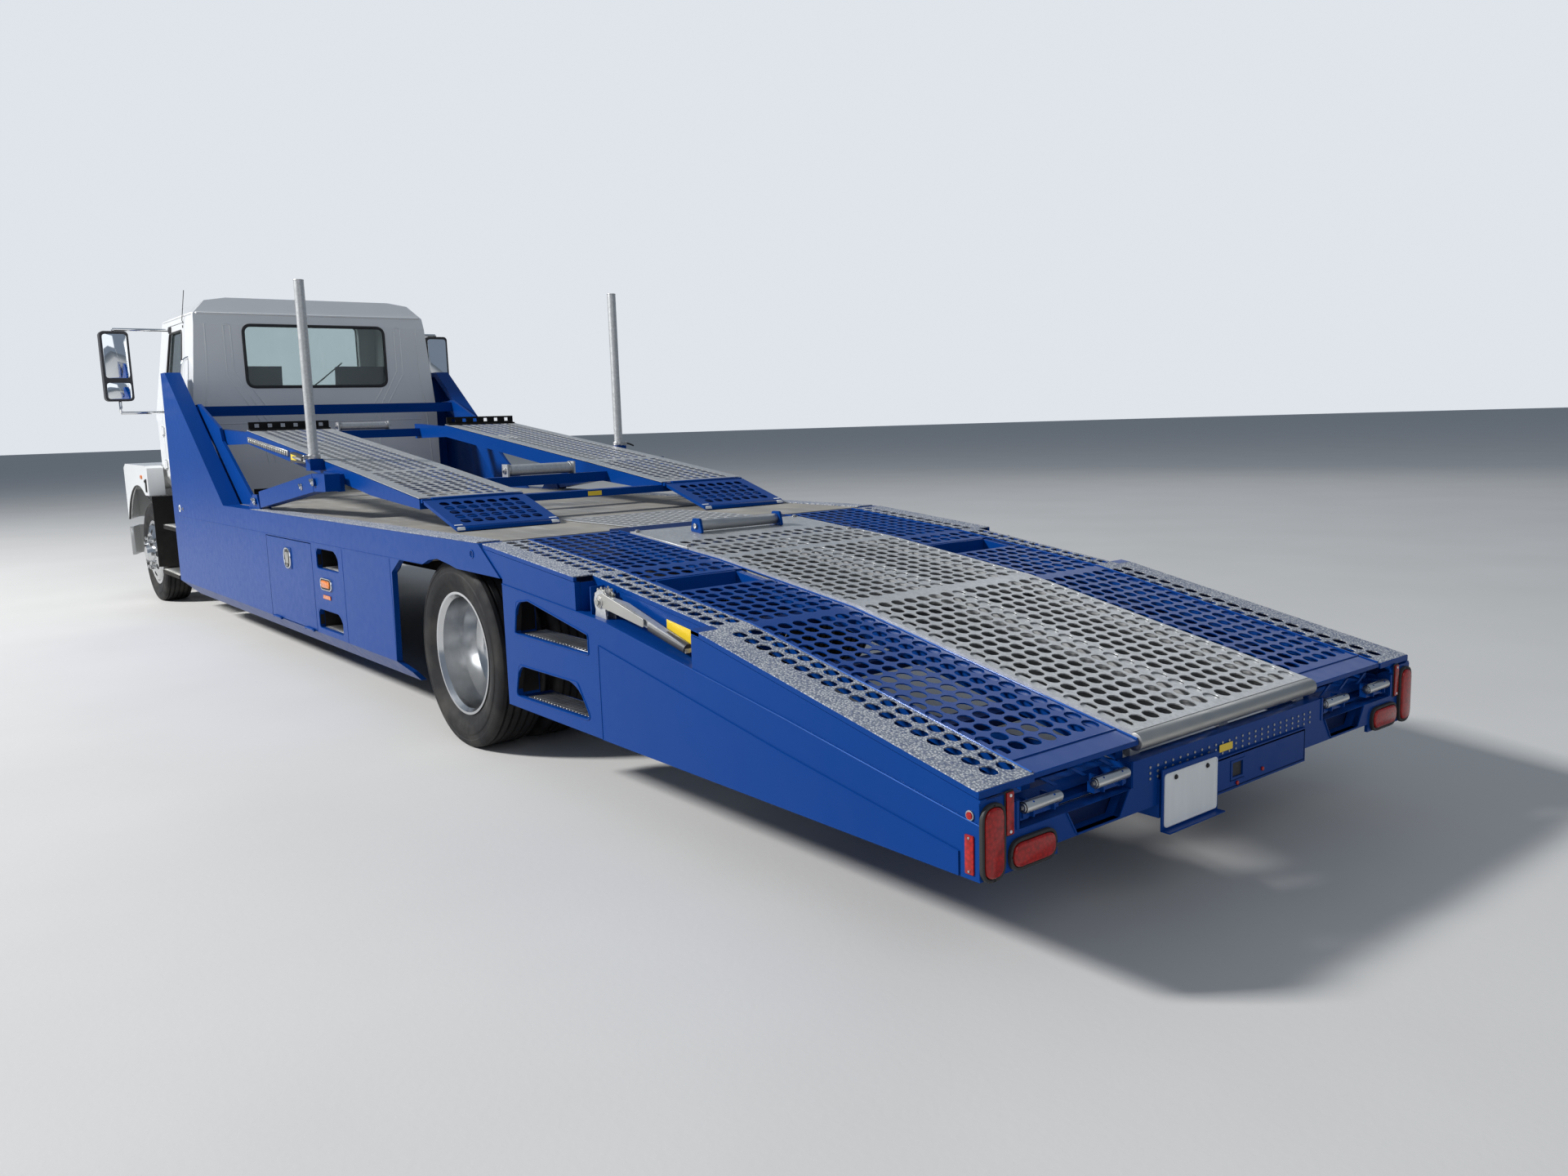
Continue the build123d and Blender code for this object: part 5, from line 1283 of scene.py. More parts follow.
@dataclass
class Decks:
    """All the punched sheets of the load deck, the runways and their flaps."""

    kink: Pair = (-2.730, 1.033)
    knee: Pair = (-3.619, 0.950)
    bend: Pair = (-4.480, 0.833)
    tail: Pair = (-5.756, 0.564)
    lift: float = 0.008
    border: float = -5.655
    runway: tuple[Pair, ...] = ((-1.680, 1.190), (-0.770, 1.306), (1.500, 1.578))
    flap_hinge: Pair = (-1.696, 1.176)
    flap_length: float = 0.440
    flap_angle: float = 16.5
    winch_x: float = -3.070

    def height(self, x: float) -> float:
        """Load deck's height.

        Args:
            x: the place along the truck.

        Returns:
            The height of its top there.
        """
        line = [self.kink, self.knee, self.bend, self.tail]
        for (x0, z0), (x1, z1) in zip(line, line[1:]):
            if x >= x1:
                return z0 + (z1 - z0) * min(0.0, x - x0) / (x1 - x0)
        return self.tail[1]

    def deck_profile(self, rear: float, front: float, lift: float) -> list[Pair]:
        """Profile of the load deck's top.

        Args:
            rear: x of its rear end.
            front: x of its front end.
            lift: how much it is raised.

        Returns:
            (x, z) of its bends from the rear to the front.
        """
        inner = [p for p in (self.bend, self.knee, self.kink) if rear < p[0] < front]
        ends = [(rear, self.height(rear)), *inner, (front, self.height(front))]
        return [(x, z + lift) for x, z in ends]

    def band(self, rear: float, front: float, y_span: Pair, top: float, bottom: float) -> Piece:
        """Bar that follows the load deck.

        Args:
            rear: x of its rear end.
            front: x of its front end.
            y_span: its two sides.
            top: its top above the deck.
            bottom: its foot above the deck.

        Returns:
            The new object.
        """
        upper = self.deck_profile(rear, front, top)
        lower = self.deck_profile(rear, front, bottom)
        outline = [(x, y_span[0], z) for x, z in upper + lower[::-1]]
        return slab(outline, (0, y_span[1] - y_span[0], 0), 0.0015)

    def edges(self) -> None:
        """Bars, borders and side edges that close the tail's sheets."""
        bars = [self.band(-5.690, -2.790, span, 0.002, -0.064) for span in ((0.527, 0.563), (0.951, 0.987))]
        bars.append(self.band(-5.736, self.border, (0.514, 0.990), self.lift, -0.008))
        bars += [self.band(x - 0.006, x + 0.006, (0.563, 0.951), 0.006, -0.050) for x in (-3.990, -3.806)]
        settle_pair(joined(bars), "grating_bars", BLUE, "truck")
        low, wide, narrow = self.lift - 0.003, (1.200, 1.2145), (1.114, 1.1285)
        runs = [self.band(*run) for run in (
            (-5.736, -4.430, wide, low, -0.014),
            (-4.430, -3.619, narrow, low, -0.014),
            (-3.619, -2.795, wide, low, -0.014),
            (-4.480, -4.430, (1.128, 1.2145), self.lift, -0.010),
            (-5.740, -5.730, (0.991, 1.2145), self.lift - 0.001, -0.014),
        )]
        settle_pair(joined(runs), "coat_edge", BLUE, "truck")
        places = (-5.730, -4.480, -3.619, -2.800)
        welds = [
            weld([(x, y, self.height(x) + self.lift + 0.001) for x in places], 0.0035) for y in (0.9905, 0.5135)
        ]
        z = self.height(self.border) + self.lift
        welds.append(weld([(self.border, y, z) for y in (0.514, 0.990)], 0.0040))
        settle_pair(joined(welds), "deck_welds", BLUE, "truck")
        rail = [(-2.730, 1.0335), (1.000, 1.0335), (0.900, 1.0365), (-2.730, 1.0385)]
        settle_pair(plate(Axis.Y, 1.100, rail, 0.112, 0.0), "rail_coat", GRIT, "truck")

    def centre(self, tile: Piece) -> None:
        """Lay the centre panel with its legs and rolled lip, and the winch cover.

        Args:
            tile: the tile to repeat.
        """
        PunchedSheet(
            "centre_sheet", ZINC, "truck", "galvanised", ("centre_panel",),
            self.deck_profile(-5.712, -3.390, 0.022), (-0.511, 0.511), -7 * PITCH, 15,
        ).build(tile)
        legs = [self.band(-5.700, -3.395, (y - 0.025, y + 0.025), 0.016, -0.064) for y in (-0.481, 0.0, 0.481)]
        legs += [self.band(-5.712, -3.390, (y - 0.0015, y + 0.0015), 0.020, 0.006) for y in (-0.5095, 0.5095)]
        settle(joined(legs), "centre_legs", ZINC, "truck")
        # Very dark zinc sheet under the centre panel: painted shade that darkens the view through its holes.
        under = self.band(-5.690, -3.395, (-0.505, 0.505), -0.034, -0.038)
        settle(under, "centre_under_sheet", SHADED_ZINC, "truck")
        lip = disc((-5.718, 0.0, self.height(-5.718) - 0.006), 0.028, 1.022, Axis.Y, 0.002, 32)
        settle(lip, "centre_lip", BRUSHED_ZINC, "truck")
        PunchedSheet(
            "winch_cover_sheet", ZINC, "truck", "galvanised", ("winch_cover",),
            self.deck_profile(-3.370, -3.210, 0.018), (-0.505, 0.505), -6.5 * PITCH, 14,
        ).build(tile)
        smooth = [
            self.band(-3.210, -2.890, (-0.505, 0.505), 0.018, 0.013),
            self.band(-3.374, -3.369, (-0.505, 0.505), 0.018, 0.002),
            *[self.band(-3.370, -2.890, (y - 0.0015, y + 0.0015), 0.0185, 0.002) for y in (-0.5055, 0.5055)],
        ]
        settle(joined(smooth), "winch_cover_plate", ZINC, "truck")

    def winch(self) -> None:
        """Hang the winch roller between its ears and bolt the winch cover down."""
        x, z = self.winch_x, self.height(self.winch_x) + 0.050
        roller = [disc((x, 0.0, z), 0.026, 0.470, Axis.Y, 0.004, 28)]
        roller += [disc((x, y, z), 0.013, 0.012, Axis.Y, 0.002, 16) for y in (-0.253, 0.253)]
        settle(joined(roller), "winch_roller", STEEL, "truck")
        corners = [(-3.118, z - 0.036), (-3.022, z - 0.028), (-3.040, z + 0.036), (-3.100, z + 0.036)]
        ear = plate(Axis.Y, 0.235, rounded(corners, 0.010), 0.014)
        settle(joined([ear, across(ear)]), "winch_roller_ears", BLUE, "truck")
        heads = [
            bolt(Axis.Z, (x, y, self.height(x) + 0.019), 0.011, 0.009)
            for x in (-3.345, -2.915) for y in (-0.482, 0.482)
        ]
        settle(joined(heads), "winch_cover_bolts", STEEL, "truck")

    def along(self, *places: Pair) -> list[Pair]:
        """Places in the flap's slope.

        Args:
            places: distance from the hinge and rise above the slope, for each place.

        Returns:
            (x, z) of each place.
        """
        slope = math.radians(self.flap_angle)
        sine, cosine = math.sin(slope), math.cos(slope)
        x, z = self.flap_hinge
        return [(x - far * cosine + up * sine, z - far * sine + up * cosine) for far, up in places]

    def flap(self, tile: Piece, side: Side) -> None:
        """Lay one runway's rear flap on its hinge.

        Args:
            tile: the tile to repeat.
            side: which side.
        """
        length = self.flap_length
        low, high = side.span(0.466, 1.044)
        middle, tube_length = side.value * 0.755, 0.470
        body, wall = f"flap_{side.tail}", 0.012
        PunchedSheet(
            f"flap_sheet_{side.tail}", BLUE, body, "blue_paint", (f"runway_flap_{side.tail}",),
            self.along((length - 0.012, 0.008), (0.024, 0.008)), (low, high), side.column(0.554, 7), 7,
        ).build(tile)
        cheek = self.along((0.024, 0.005), (length, 0.005), (length - 0.004, -0.015), (0.024, -0.015))
        bars = [plate(Axis.Y, y, cheek, wall, 0.0015) for y in (low, high - wall)]
        end = self.along((length - 0.014, 0.008), (length, 0.002), (length, -0.016), (length - 0.014, -0.016))
        bars.append(plate(Axis.Y, low, end, high - low))
        for far in (length * 0.30, length * 0.62):
            rib = self.along((far, 0.003), (far + 0.010, 0.003), (far + 0.010, -0.016), (far, -0.016))
            bars.append(plate(Axis.Y, low + wall, rib, high - low - 2 * wall, 0.001))
        # Dark blue sheet under the punched flap: painted shade that darkens its holes.
        liner = self.along((0.030, -0.007), (length - 0.014, -0.007), (length - 0.014, -0.009), (0.030, -0.009))
        lining = plate(Axis.Y, low + wall, liner, high - low - 2 * wall, 0.0)
        settle(lining, f"flap_lining_{side.tail}", SHADED_BLUE, body)
        x, z = self.flap_hinge
        bars.append(disc((x, middle, z), 0.0150, tube_length, Axis.Y, 0.001, 24))
        web = self.along((0.0, 0.008), (0.040, 0.006), (0.040, -0.012), (0.0, -0.012))
        bars.append(plate(Axis.Y, middle - tube_length / 2, web, tube_length, 0.001))
        settle(joined(bars), f"flap_frame_{side.tail}", BLUE, body)
        edge = self.along(
            (length - 0.032, 0.0095), (length + 0.001, 0.0035), (length + 0.001, -0.010), (length - 0.032, 0.006),
        )
        tips = [plate(Axis.Y, y, edge, 0.044, 0.0008) for y in (low + 0.004, high - 0.048)]
        settle(joined(tips), f"flap_tips_{side.tail}", PALE_PLATE, body)

    def build(self) -> None:
        """Build every sheet."""
        tile = Tile().build()
        rear, front = -5.736, -2.795
        for side in Side:
            for part, ends, stands in (
                ("front", (-3.800, -2.790), ()), ("rear", (self.border, -3.995), ("tail_gratings",)),
            ):
                PunchedSheet(
                    f"tail_grating_{part}_{side.tail}", BLUE, "truck", "blue_paint", stands,
                    self.deck_profile(*ends, self.lift), side.span(0.514, 0.990), side.column(0.555, 7), 7,
                ).build(tile)
            for part, ends, outer in (
                ("tail", (rear, self.bend[0]), 1.214), ("recess", (self.bend[0], self.knee[0]), 1.128),
                ("front", (self.knee[0], front), 1.214),
            ):
                PunchedSheet(
                    f"side_coat_{part}_{side.tail}", GRIT, "truck", "grit_coat", ("deck_strips",),
                    self.deck_profile(*ends, self.lift), side.span(0.991, outer), side.column(1.025, 2), 2,
                ).build(tile)
            PunchedSheet(
                f"runway_sheet_{side.tail}", ZINC, "upper_deck", "galvanised", ("runway_plates",),
                self.runway, side.span(0.460, 1.050), side.column(0.5540, 7), 7,
            ).build(tile)
            self.flap(tile, side)
        self.centre(tile)
        self.winch()
        PunchedSheet(
            "floor_sheet", ZINC, "truck", "galvanised", (), [(-2.722, 1.040), (-1.985, 1.040)],
            (-0.380, 0.380), -5 * PITCH, 11,
        ).build(tile)
        self.edges()
        take(tile)
        bpy.ops.object.delete()


# ---------------------------------------------------------------- wheels


@dataclass
class Tyre:
    """Road tyre with ribbed tread and a stepped sidewall."""

    radius: float = 0.463
    half: float = 0.125
    bead: float = 0.286
    seat: float = 0.096
    grooves: tuple[float, ...] = (0.080, 0.041, 0.0, -0.041, -0.080)
    groove_depth: float = 0.013
    steps: int = 96

    def profile(self) -> list[Pair]:
        """Outline from the outer side round to the inner side.

        Returns:
            (distance from the middle, radius) of each point.
        """
        lower = (
            (self.seat, 0.0), (self.seat + 0.004, 0.022), (self.seat + 0.014, 0.040), (self.half - 0.0095, 0.062),
            (self.half - 0.0075, 0.065), (self.half - 0.004, 0.080), (self.half, 0.105), (self.half - 0.001, 0.112),
            (self.half - 0.004, 0.116),
        )
        upper = ((0.0060, 0.040), (0.0040, 0.037), (0.0050, 0.030), (0.013, 0.011), (0.022, 0.003))
        outer = [(y, self.bead + rise) for y, rise in lower]
        outer += [(self.half - inset, self.radius - drop) for inset, drop in upper]
        floor = self.radius - self.groove_depth
        tread: list[Pair] = []
        for groove in self.grooves:
            tread += [
                (groove + 0.007, self.radius), (groove + 0.004, floor),
                (groove - 0.004, floor), (groove - 0.007, self.radius),
            ]
        mirrored = [(-y, r) for y, r in reversed(outer)]
        inner = [(-self.seat + 0.012, self.bead + 0.012), (self.seat - 0.012, self.bead + 0.012)]
        return outer + tread + mirrored + inner

    def build(self, name: str, centre: Point, body: str, stands_for: Sequence[str]) -> None:
        """Spin the tyre.

        Args:
            name: the piece's name.
            centre: the wheel's middle.
            body: the body it rides on.
            stands_for: the CAD node it replaces.
        """
        settle(lathe(self.profile(), centre, self.steps), name, TYRE, body, stands_for, angle=30.0)


@dataclass
class RunningGear:
    """Tyres of both axles."""

    rear_x: float = -2.330
    front_x: float = 4.780
    height: float = 0.463
    outer: float = 1.045
    inner: float = 0.759
    front: float = 1.015

    def build(self) -> None:
        """Build the six tyres."""
        for side in Side:
            for part, x, y, body, stands in (
                ("rear_outer", self.rear_x, self.outer, "rear_wheels", ["rear_tyres"]),
                ("rear_inner", self.rear_x, self.inner, "rear_wheels", []),
                ("front", self.front_x, self.front, "front_wheel", ["front_tyre"]),
            ):
                Tyre().build(
                    f"tyre_{part}_{side.tail}", (x, side.value * y, self.height),
                    f"{body}_{side.tail}", [f"{node}_{side.tail}" for node in stands],
                )


# ---------------------------------------------------------------- tail


@dataclass
class TailEnd:
    """Lamps, plate, ramp ends and fittings on the truck's rear wall."""

    wall: float = -5.744
    stop: Pair = (1.172, 0.430)
    reflector: Pair = (1.104, 0.494)
    turn: Pair = (1.010, 0.372)
    plate: Pair = (0.2775, 0.371)
    plate_size: Pair = (0.283, 0.168)
    ramp_handle: Pair = (-5.739, 0.492)

    def lamps(self) -> None:
        """Stop lamps, turn lamps and reflectors in their rubber mounts."""
        gaskets = [
            bezel(Axis.X, self.wall, self.stop, (0.094, 0.216), 0.046, -0.012, 0.010),
            bezel(Axis.X, self.wall, self.turn, (0.196, 0.090), 0.044, -0.012, 0.010),
            badge(Axis.X, self.wall, self.reflector, (0.036, 0.126), 0.004, -0.003),
        ]
        settle_pair(joined(gaskets), "tail_lamp_mounts", SEAL)
        lenses = [
            badge(Axis.X, self.wall - 0.004, self.stop, (0.072, 0.194), 0.035, -0.013, 0.006, 3),
            badge(Axis.X, self.wall - 0.003, self.reflector, (0.029, 0.118), 0.003, -0.005, 0.0015),
            badge(Axis.X, self.wall - 0.004, self.turn, (0.174, 0.068), 0.033, -0.013, 0.006, 3),
        ]
        settle_pair(joined(lenses), "tail_lenses", RED_LENS, "truck", ["tail_lamps"])
        screws = [
            disc((self.wall - 0.0085, self.reflector[0], self.reflector[1] + dz), 0.0045, 0.003, Axis.X, 0.0006, 12)
            for dz in (-0.050, 0.050)
        ]
        settle_pair(joined(screws), "reflector_screws", PALE_PLATE)

    def side_marks(self) -> None:
        """Round marker and tall reflector at the rear end of each skirt."""
        glass = [
            disc((-5.709, 1.2175, 0.505), 0.0105, 0.007, Axis.Y, 0.002, 20),
            badge(Axis.Y, 1.2165, (-5.7095, 0.3985), (0.031, 0.108), 0.003, 0.005, 0.0012),
        ]
        settle_pair(joined(glass), "skirt_reflectors", RED_LENS, "truck")
        rims = [
            disc((-5.709, 1.2155, 0.505), 0.0145, 0.005, Axis.Y, 0.001, 20),
            *[disc((-5.7095, 1.2222, 0.3985 + dz), 0.0036, 0.003, Axis.Y, 0.0005, 12) for dz in (-0.046, 0.046)],
        ]
        settle_pair(joined(rims), "skirt_reflector_fittings", STEEL)

    def number_plate(self) -> None:
        """Blank plate with its raised border, bracket and bolts."""
        bracket = [
            block((-5.7615, 0.126, 0.276), (-5.7550, 0.429, 0.470), 0.0015),
            block((-5.7900, 0.126, 0.276), (-5.7550, 0.429, 0.281), 0.0015),
        ]
        settle(joined(bracket), "plate_bracket", BLUE, "truck")
        plate = bezel(Axis.X, -5.7615, self.plate, self.plate_size, 0.014, -0.0036, 0.0050)
        settle(plate, "number_plate_blank", PALE_PLATE, "truck")
        y, z = self.plate
        heads = [bolt(Axis.X, (-5.7640, y + dy, z + 0.066), 0.0060, -0.0050) for dy in (-0.085, 0.085)]
        settle(joined(heads), "plate_bolts", SEAL, "truck")

    def ramp_ends(self) -> None:
        """Bright sleeves, caps and screws on the pull-out ramps' handles."""
        x, z = self.ramp_handle
        sleeves, screws = [], []
        for low, high in ((0.579, 0.729), (0.889, 1.039)):
            sleeves.append(disc((x, (low + high) / 2, z), 0.0172, high - low, Axis.Y, 0.0015, 28))
            for y, turn in ((low - 0.002, -1), (high + 0.002, 1)):
                sleeves.append(disc((x, y, z), 0.0135, 0.007, Axis.Y, 0.001, 20))
                screws.append(bolt(Axis.Y, (x, y + turn * 0.0035, z), 0.0055, turn * 0.005))
        settle_pair(joined(sleeves), "ramp_handles", BRIGHT_ZINC, "ramp_*")
        settle_pair(joined(screws), "ramp_handle_screws", STEEL, "ramp_*")
        straps = [
            block((-5.752, y - 0.003, z - 0.030), (-5.700, y + 0.003, z + 0.015), 0.001)
            for y in (0.612, 0.700, 0.920, 1.008)
        ]
        settle_pair(joined(straps), "ramp_handle_straps", BLUE, "ramp_*")

    def wall_work(self) -> None:
        """Folded flanges, braces and weld beads of the rear wall."""
        notch = [(0.575, 0.437), (0.620, 0.367), (0.815, 0.367), (0.858, 0.437)]
        rear, front = self.wall - 0.004, self.wall + 0.020
        parts = []
        for start, end, depth in zip(notch, notch[1:], ((0, -0.006, 0), (0, 0, -0.006), (0, 0.006, 0))):
            parts.append(slab([(rear, *start), (rear, *end), (front, *end), (front, *start)], depth, 0.001))
        for y in (0.545, 1.063):
            parts.append(block((self.wall - 0.003, y, 0.440), (self.wall + 0.010, y + 0.012, 0.520), 0.001))
        for a in (0.600, 0.730, 0.860):
            brace = [(a, 0.512), (a + 0.020, 0.512), (a + 0.080, 0.546), (a + 0.060, 0.546)]
            parts.append(plate(Axis.X, self.wall + 0.030, brace, 0.006, 0.001))
        settle_pair(joined(parts), "tail_wall_flanges", BLUE, "truck")
        back = self.wall - 0.0080
        face = [block((back, y0, z0), (back + 0.0025, y1, z1), 0.0008) for y0, y1, z0, z1 in (
            (0.0410, 0.4270, 0.3250, 0.4350), (-0.4270, -0.0410, 0.3250, 0.4350),
            (-0.0410, 0.0410, 0.4150, 0.4350), (-0.0410, 0.0410, 0.3250, 0.3475),
        )]
        settle(joined(face), "bumper_face", BLUE, "truck")
        # Dark blue plates behind and under the notches: painted shade in place of the lit floor seen through them.
        notch_shade_blocks = [
            block((-5.690, 0.566, 0.3400), (x, 0.880, z), 0.0) for x, z in ((-5.686, 0.4380), (-5.560, 0.3440))
        ]
        settle_pair(joined(notch_shade_blocks), "notch_linings", SHADED_BLUE)

    def step_plate(self) -> None:
        """Rows of bright studs on the plate behind the lip, with a bare label."""
        stud = disc((self.wall - 0.001, -0.468, 0.4490), 0.0048, 0.004, Axis.X, 0.0014, 8)
        for count, offset in ((25, (0, 0.039, 0)), (3, (0, 0, 0.0175))):
            repeated(stud, count, offset)
        settle(stud, "step_studs", STEEL, "truck")
        label = badge(Axis.X, self.wall - 0.0035, (0.062, 0.467), (0.076, 0.024), 0.003, -0.0008, 0.0)
        settle(label, "step_label_blank", YELLOW_PLATE, "truck")
        places = ((-0.150, 0.352), (0.002, 0.337))
        marks = [disc((-5.7550, y, z), 0.0070, 0.006, Axis.X, 0.0018, 18) for y, z in places]
        settle(joined(marks), "bumper_markers", RED_LENS, "truck")
        inside = block((-5.7480, -0.0290, 0.3580), (-5.7460, 0.0290, 0.4040), 0.0)
        settle(inside, "receiver_shade", SEAL, "truck")

    def build(self) -> None:
        """Build the tail's fittings."""
        self.lamps()
        self.side_marks()
        self.number_plate()
        self.ramp_ends()
        self.wall_work()
        self.step_plate()


# ---------------------------------------------------------------- body sides


@dataclass
class BodySides:
    """Fittings of the blue body sides, modelled on the left and mirrored."""

    face: float = 1.220
    ledge: tuple[Pair, ...] = ((-2.974, 0.870), (-3.837, 0.803), (-4.940, 0.624), (-5.670, 0.496), (-5.744, 0.484))
    skirt_wall: float = -3.0125
    ratchet: Pair = (-3.775, 0.8694)
    rail_cap: Pair = (3.090, 0.955)
    rail_eye: Pair = (-2.686, 0.982)
    low_ledge: tuple[Pair, ...] = (
        (-3.798, 0.333), (-3.798, 0.705), (-4.933, 0.511), (-5.670, 0.398), (-5.670, 0.332),
    )
    pockets: tuple[tuple[Pair, Pair], ...] = (
        ((-0.806, -0.430), (0.740, 0.858)), ((-0.806, -0.392), (0.372, 0.486)),
    )

    def ledge_height(self, x: float) -> float:
        """Height of the upper ledge.

        Args:
            x: the place along the truck.

        Returns:
            The ledge's height there.
        """
        for (x0, z0), (x1, z1) in zip(self.ledge, self.ledge[1:]):
            if x >= x1:
                return z0 + (z1 - z0) * (x - x0) / (x1 - x0)
        return self.ledge[-1][1]

    def lamps(self) -> None:
        """Side turn lamp and reflector on the step column."""
        lamp = (-0.580, 0.651)
        rims = [bezel(Axis.Y, self.face, lamp, (0.196, 0.074), 0.036, 0.010, 0.007)]
        settle_pair(joined(rims), "side_lamp_rims", CHROME)
        seal = badge(Axis.Y, self.face + 0.001, lamp, (0.180, 0.058), 0.028, 0.006, 0.002)
        settle_pair(seal, "side_lamp_seals", SEAL)
        glass = [
            badge(Axis.Y, self.face + 0.004, lamp, (0.150, 0.044), 0.020, 0.010, 0.005, 3),
            badge(Axis.Y, self.face, (-0.575, 0.5715), (0.128, 0.023), 0.003, 0.006, 0.0015),
        ]
        settle_pair(joined(glass), "side_amber_lenses", AMBER_LENS)

    def latch(self) -> None:
        """Oval paddle latch of the toolbox door."""
        middle = (0.155, 0.7575)
        ring = bezel(Axis.Y, self.face + 0.002, middle, (0.132, 0.136), 0.062, 0.009, 0.008)
        settle_pair(ring, "latch_rings", CHROME, "toolbox_door_*")
        cup = badge(Axis.Y, self.face + 0.003, middle, (0.112, 0.116), 0.055, 0.002, 0.0)
        settle_pair(cup, "latch_cups", SEAL, "toolbox_door_*")
        leaf = rounded([(0.118, 0.795), (0.192, 0.795), (0.180, 0.722), (0.130, 0.722)], 0.014)
        paddle = [
            plate(Axis.Y, self.face + 0.004, leaf, 0.007, 0.002, 2),
            disc((0.155, self.face + 0.009, 0.712), 0.0095, 0.009, Axis.Y, 0.002, 18),
        ]
        settle_pair(joined(paddle), "latch_paddles", BRUSHED_ZINC, "toolbox_door_*")

    def steps(self) -> None:
        """Bright treads in the step openings, and their folded rims."""
        treads: list[Piece] = []
        for x0, x1, y0, z in (
            (-0.806, -0.430, 1.092, 0.7355), (-0.806, -0.392, 1.092, 0.3675),
            (-3.720, -3.060, 1.062, 0.6555), (-3.690, -3.110, 1.062, 0.3815),
        ):
            treads.append(block((x0, y0, z), (x1, self.face - 0.030, z + 0.0035), 0.001))
            tooth = block((x0 + 0.012, y0 + 0.010, z + 0.003), (x0 + 0.020, self.face - 0.036, z + 0.0075), 0.0012)
            treads.append(repeated(tooth, int((x1 - x0 - 0.024) / 0.026), (0.026, 0, 0)))
        settle_pair(joined(treads), "step_treads", STEEL)
        rims: list[Piece] = []
        for corners, radius in (
            (rectangle((-0.6175, 0.7985), (0.395, 0.127)), 0.024),
            (rectangle((-0.5975, 0.4285), (0.435, 0.123)), 0.024),
            ([(-3.074, 0.663), (-3.105, 0.805), (-3.213, 0.822), (-3.715, 0.738), (-3.716, 0.657)], 0.012),
            ([(-3.051, 0.383), (-3.095, 0.529), (-3.611, 0.531), (-3.717, 0.391)], 0.026),
        ):
            rims.append(loop(lay(Axis.Y, self.face - 0.004, rounded(corners, radius)), 0.0045))
        settle_pair(joined(rims), "opening_rims", BLUE, "truck")
        settle_pair(joined(self.arches()), "opening_arches", BLUE, "truck")

    def arches(self) -> list[Piece]:
        """Fillings that round the upper corners of the step openings.

        Returns:
            The new objects, on the left side.
        """
        parts = []
        turns = (0.0, 0.4, 0.8, 1.2, math.pi / 2)
        for x0, x1, z in ((-0.815, -0.420, 0.862), (-0.815, -0.380, 0.490)):
            for x, turn, wide, tall in ((x0, 1, 0.110, 0.078), (x1, -1, 0.060, 0.045)):
                corner = [(x - turn * 0.002, z + 0.002)]
                corner += [(x + turn * wide * (1 - math.cos(a)), z - tall * (1 - math.sin(a))) for a in turns]
                parts.append(plate(Axis.Y, self.face - 0.029, corner, 0.028, 0.0))
        steps = 6
        for corner, start, end in (
            ((-3.1050, 0.8050), (-3.0925, 0.7450), (-3.1650, 0.8140)),
            ((-3.0950, 0.5290), (-3.0760, 0.4660), (-3.1650, 0.5295)),
            ((-3.6110, 0.5310), (-3.5000, 0.5305), (-3.6640, 0.4610)),
        ):
            shape = [corner]
            for t in (step / steps for step in range(steps + 1)):
                shares = ((1 - t) ** 2, 2 * t * (1 - t), t * t)
                trio = list(zip(shares, (start, corner, end)))
                shape.append(tuple(sum(share * at[axis] for share, at in trio) for axis in (0, 1)))
            parts.append(plate(Axis.Y, self.face - 0.013, shape, 0.012, 0.0))
        return parts

    def liners(self) -> None:
        """Dark plates inside the step pockets and shelves: painted shade in the openings."""
        parts: list[Piece] = []
        deep, back = self.face - 0.032, 1.0812
        for (x0, x1), (z0, z1) in self.pockets:
            parts.append(block((x0, back, z0), (x1, back + 0.0028, z1), 0.0))
            parts += [block((x, back, z0), (x + 0.0030, deep, z1), 0.0) for x in (x0 - 0.0035, x1 + 0.0005)]
            parts.append(block((x0, back, z1 - 0.0030), (x1, deep, z1), 0.0))
        wall = self.skirt_wall
        for z0, z1 in ((0.660, 0.850), (0.386, 0.570)):
            parts.append(block((wall - 0.0030, 1.090, z0), (wall, 1.1880, z1), 0.0))
        for corners in (
            [(-0.4205, 0.7360), (-0.4205, 0.8615), (-0.8145, 0.8615), (-0.8145, 0.7360)],
            [(-0.3805, 0.3680), (-0.3805, 0.4895), (-0.8145, 0.4895), (-0.8145, 0.3680)],
            [(-3.0745, 0.6640), (-3.1053, 0.8045), (-3.2130, 0.8215), (-3.7147, 0.7375), (-3.7155, 0.6580)],
            [(-3.0515, 0.3840), (-3.0953, 0.5285), (-3.6107, 0.5305), (-3.7160, 0.3915)],
        ):
            for (x0, z0), (x1, z1) in zip(corners, corners[1:]):
                length = math.hypot(x1 - x0, z1 - z0)
                dx, dz = 0.0012 * (z1 - z0) / length, -0.0012 * (x1 - x0) / length
                quad = [(x0, z0), (x1, z1), (x1 + dx, z1 + dz), (x0 + dx, z0 + dz)]
                parts.append(plate(Axis.Y, self.face - 0.031, quad, 0.0245, 0.0))
        # The black enamel on these plates is painted shade inside the step openings.
        settle_pair(joined(parts), "step_liners", BLACK)

    def welds(self) -> None:
        """Weld beads along the ledges and seams."""
        seam = self.face - 0.0005
        step = (-4.430, self.ledge_height(-4.430))
        ledge = [*self.ledge[:2], step, *self.ledge[2:]]
        welds = [
            weld([(x, self.face - 0.0035, z) for x, z in ledge]),
            weld([(x, seam, z) for x, z in self.low_ledge]),
            weld([(-5.742, self.face - 0.004, 0.335), (-5.742, self.face - 0.004, 0.545)]),
            *[weld([(x, seam, 0.338), (x, seam, 0.885)], 0.0020) for x in (-0.330, -0.890, -1.640)],
            weld([(3.320, seam, 0.890), (-2.090, seam, 0.890)], 0.0022),
        ]
        settle_pair(joined(welds), "side_welds", BLUE, "truck")

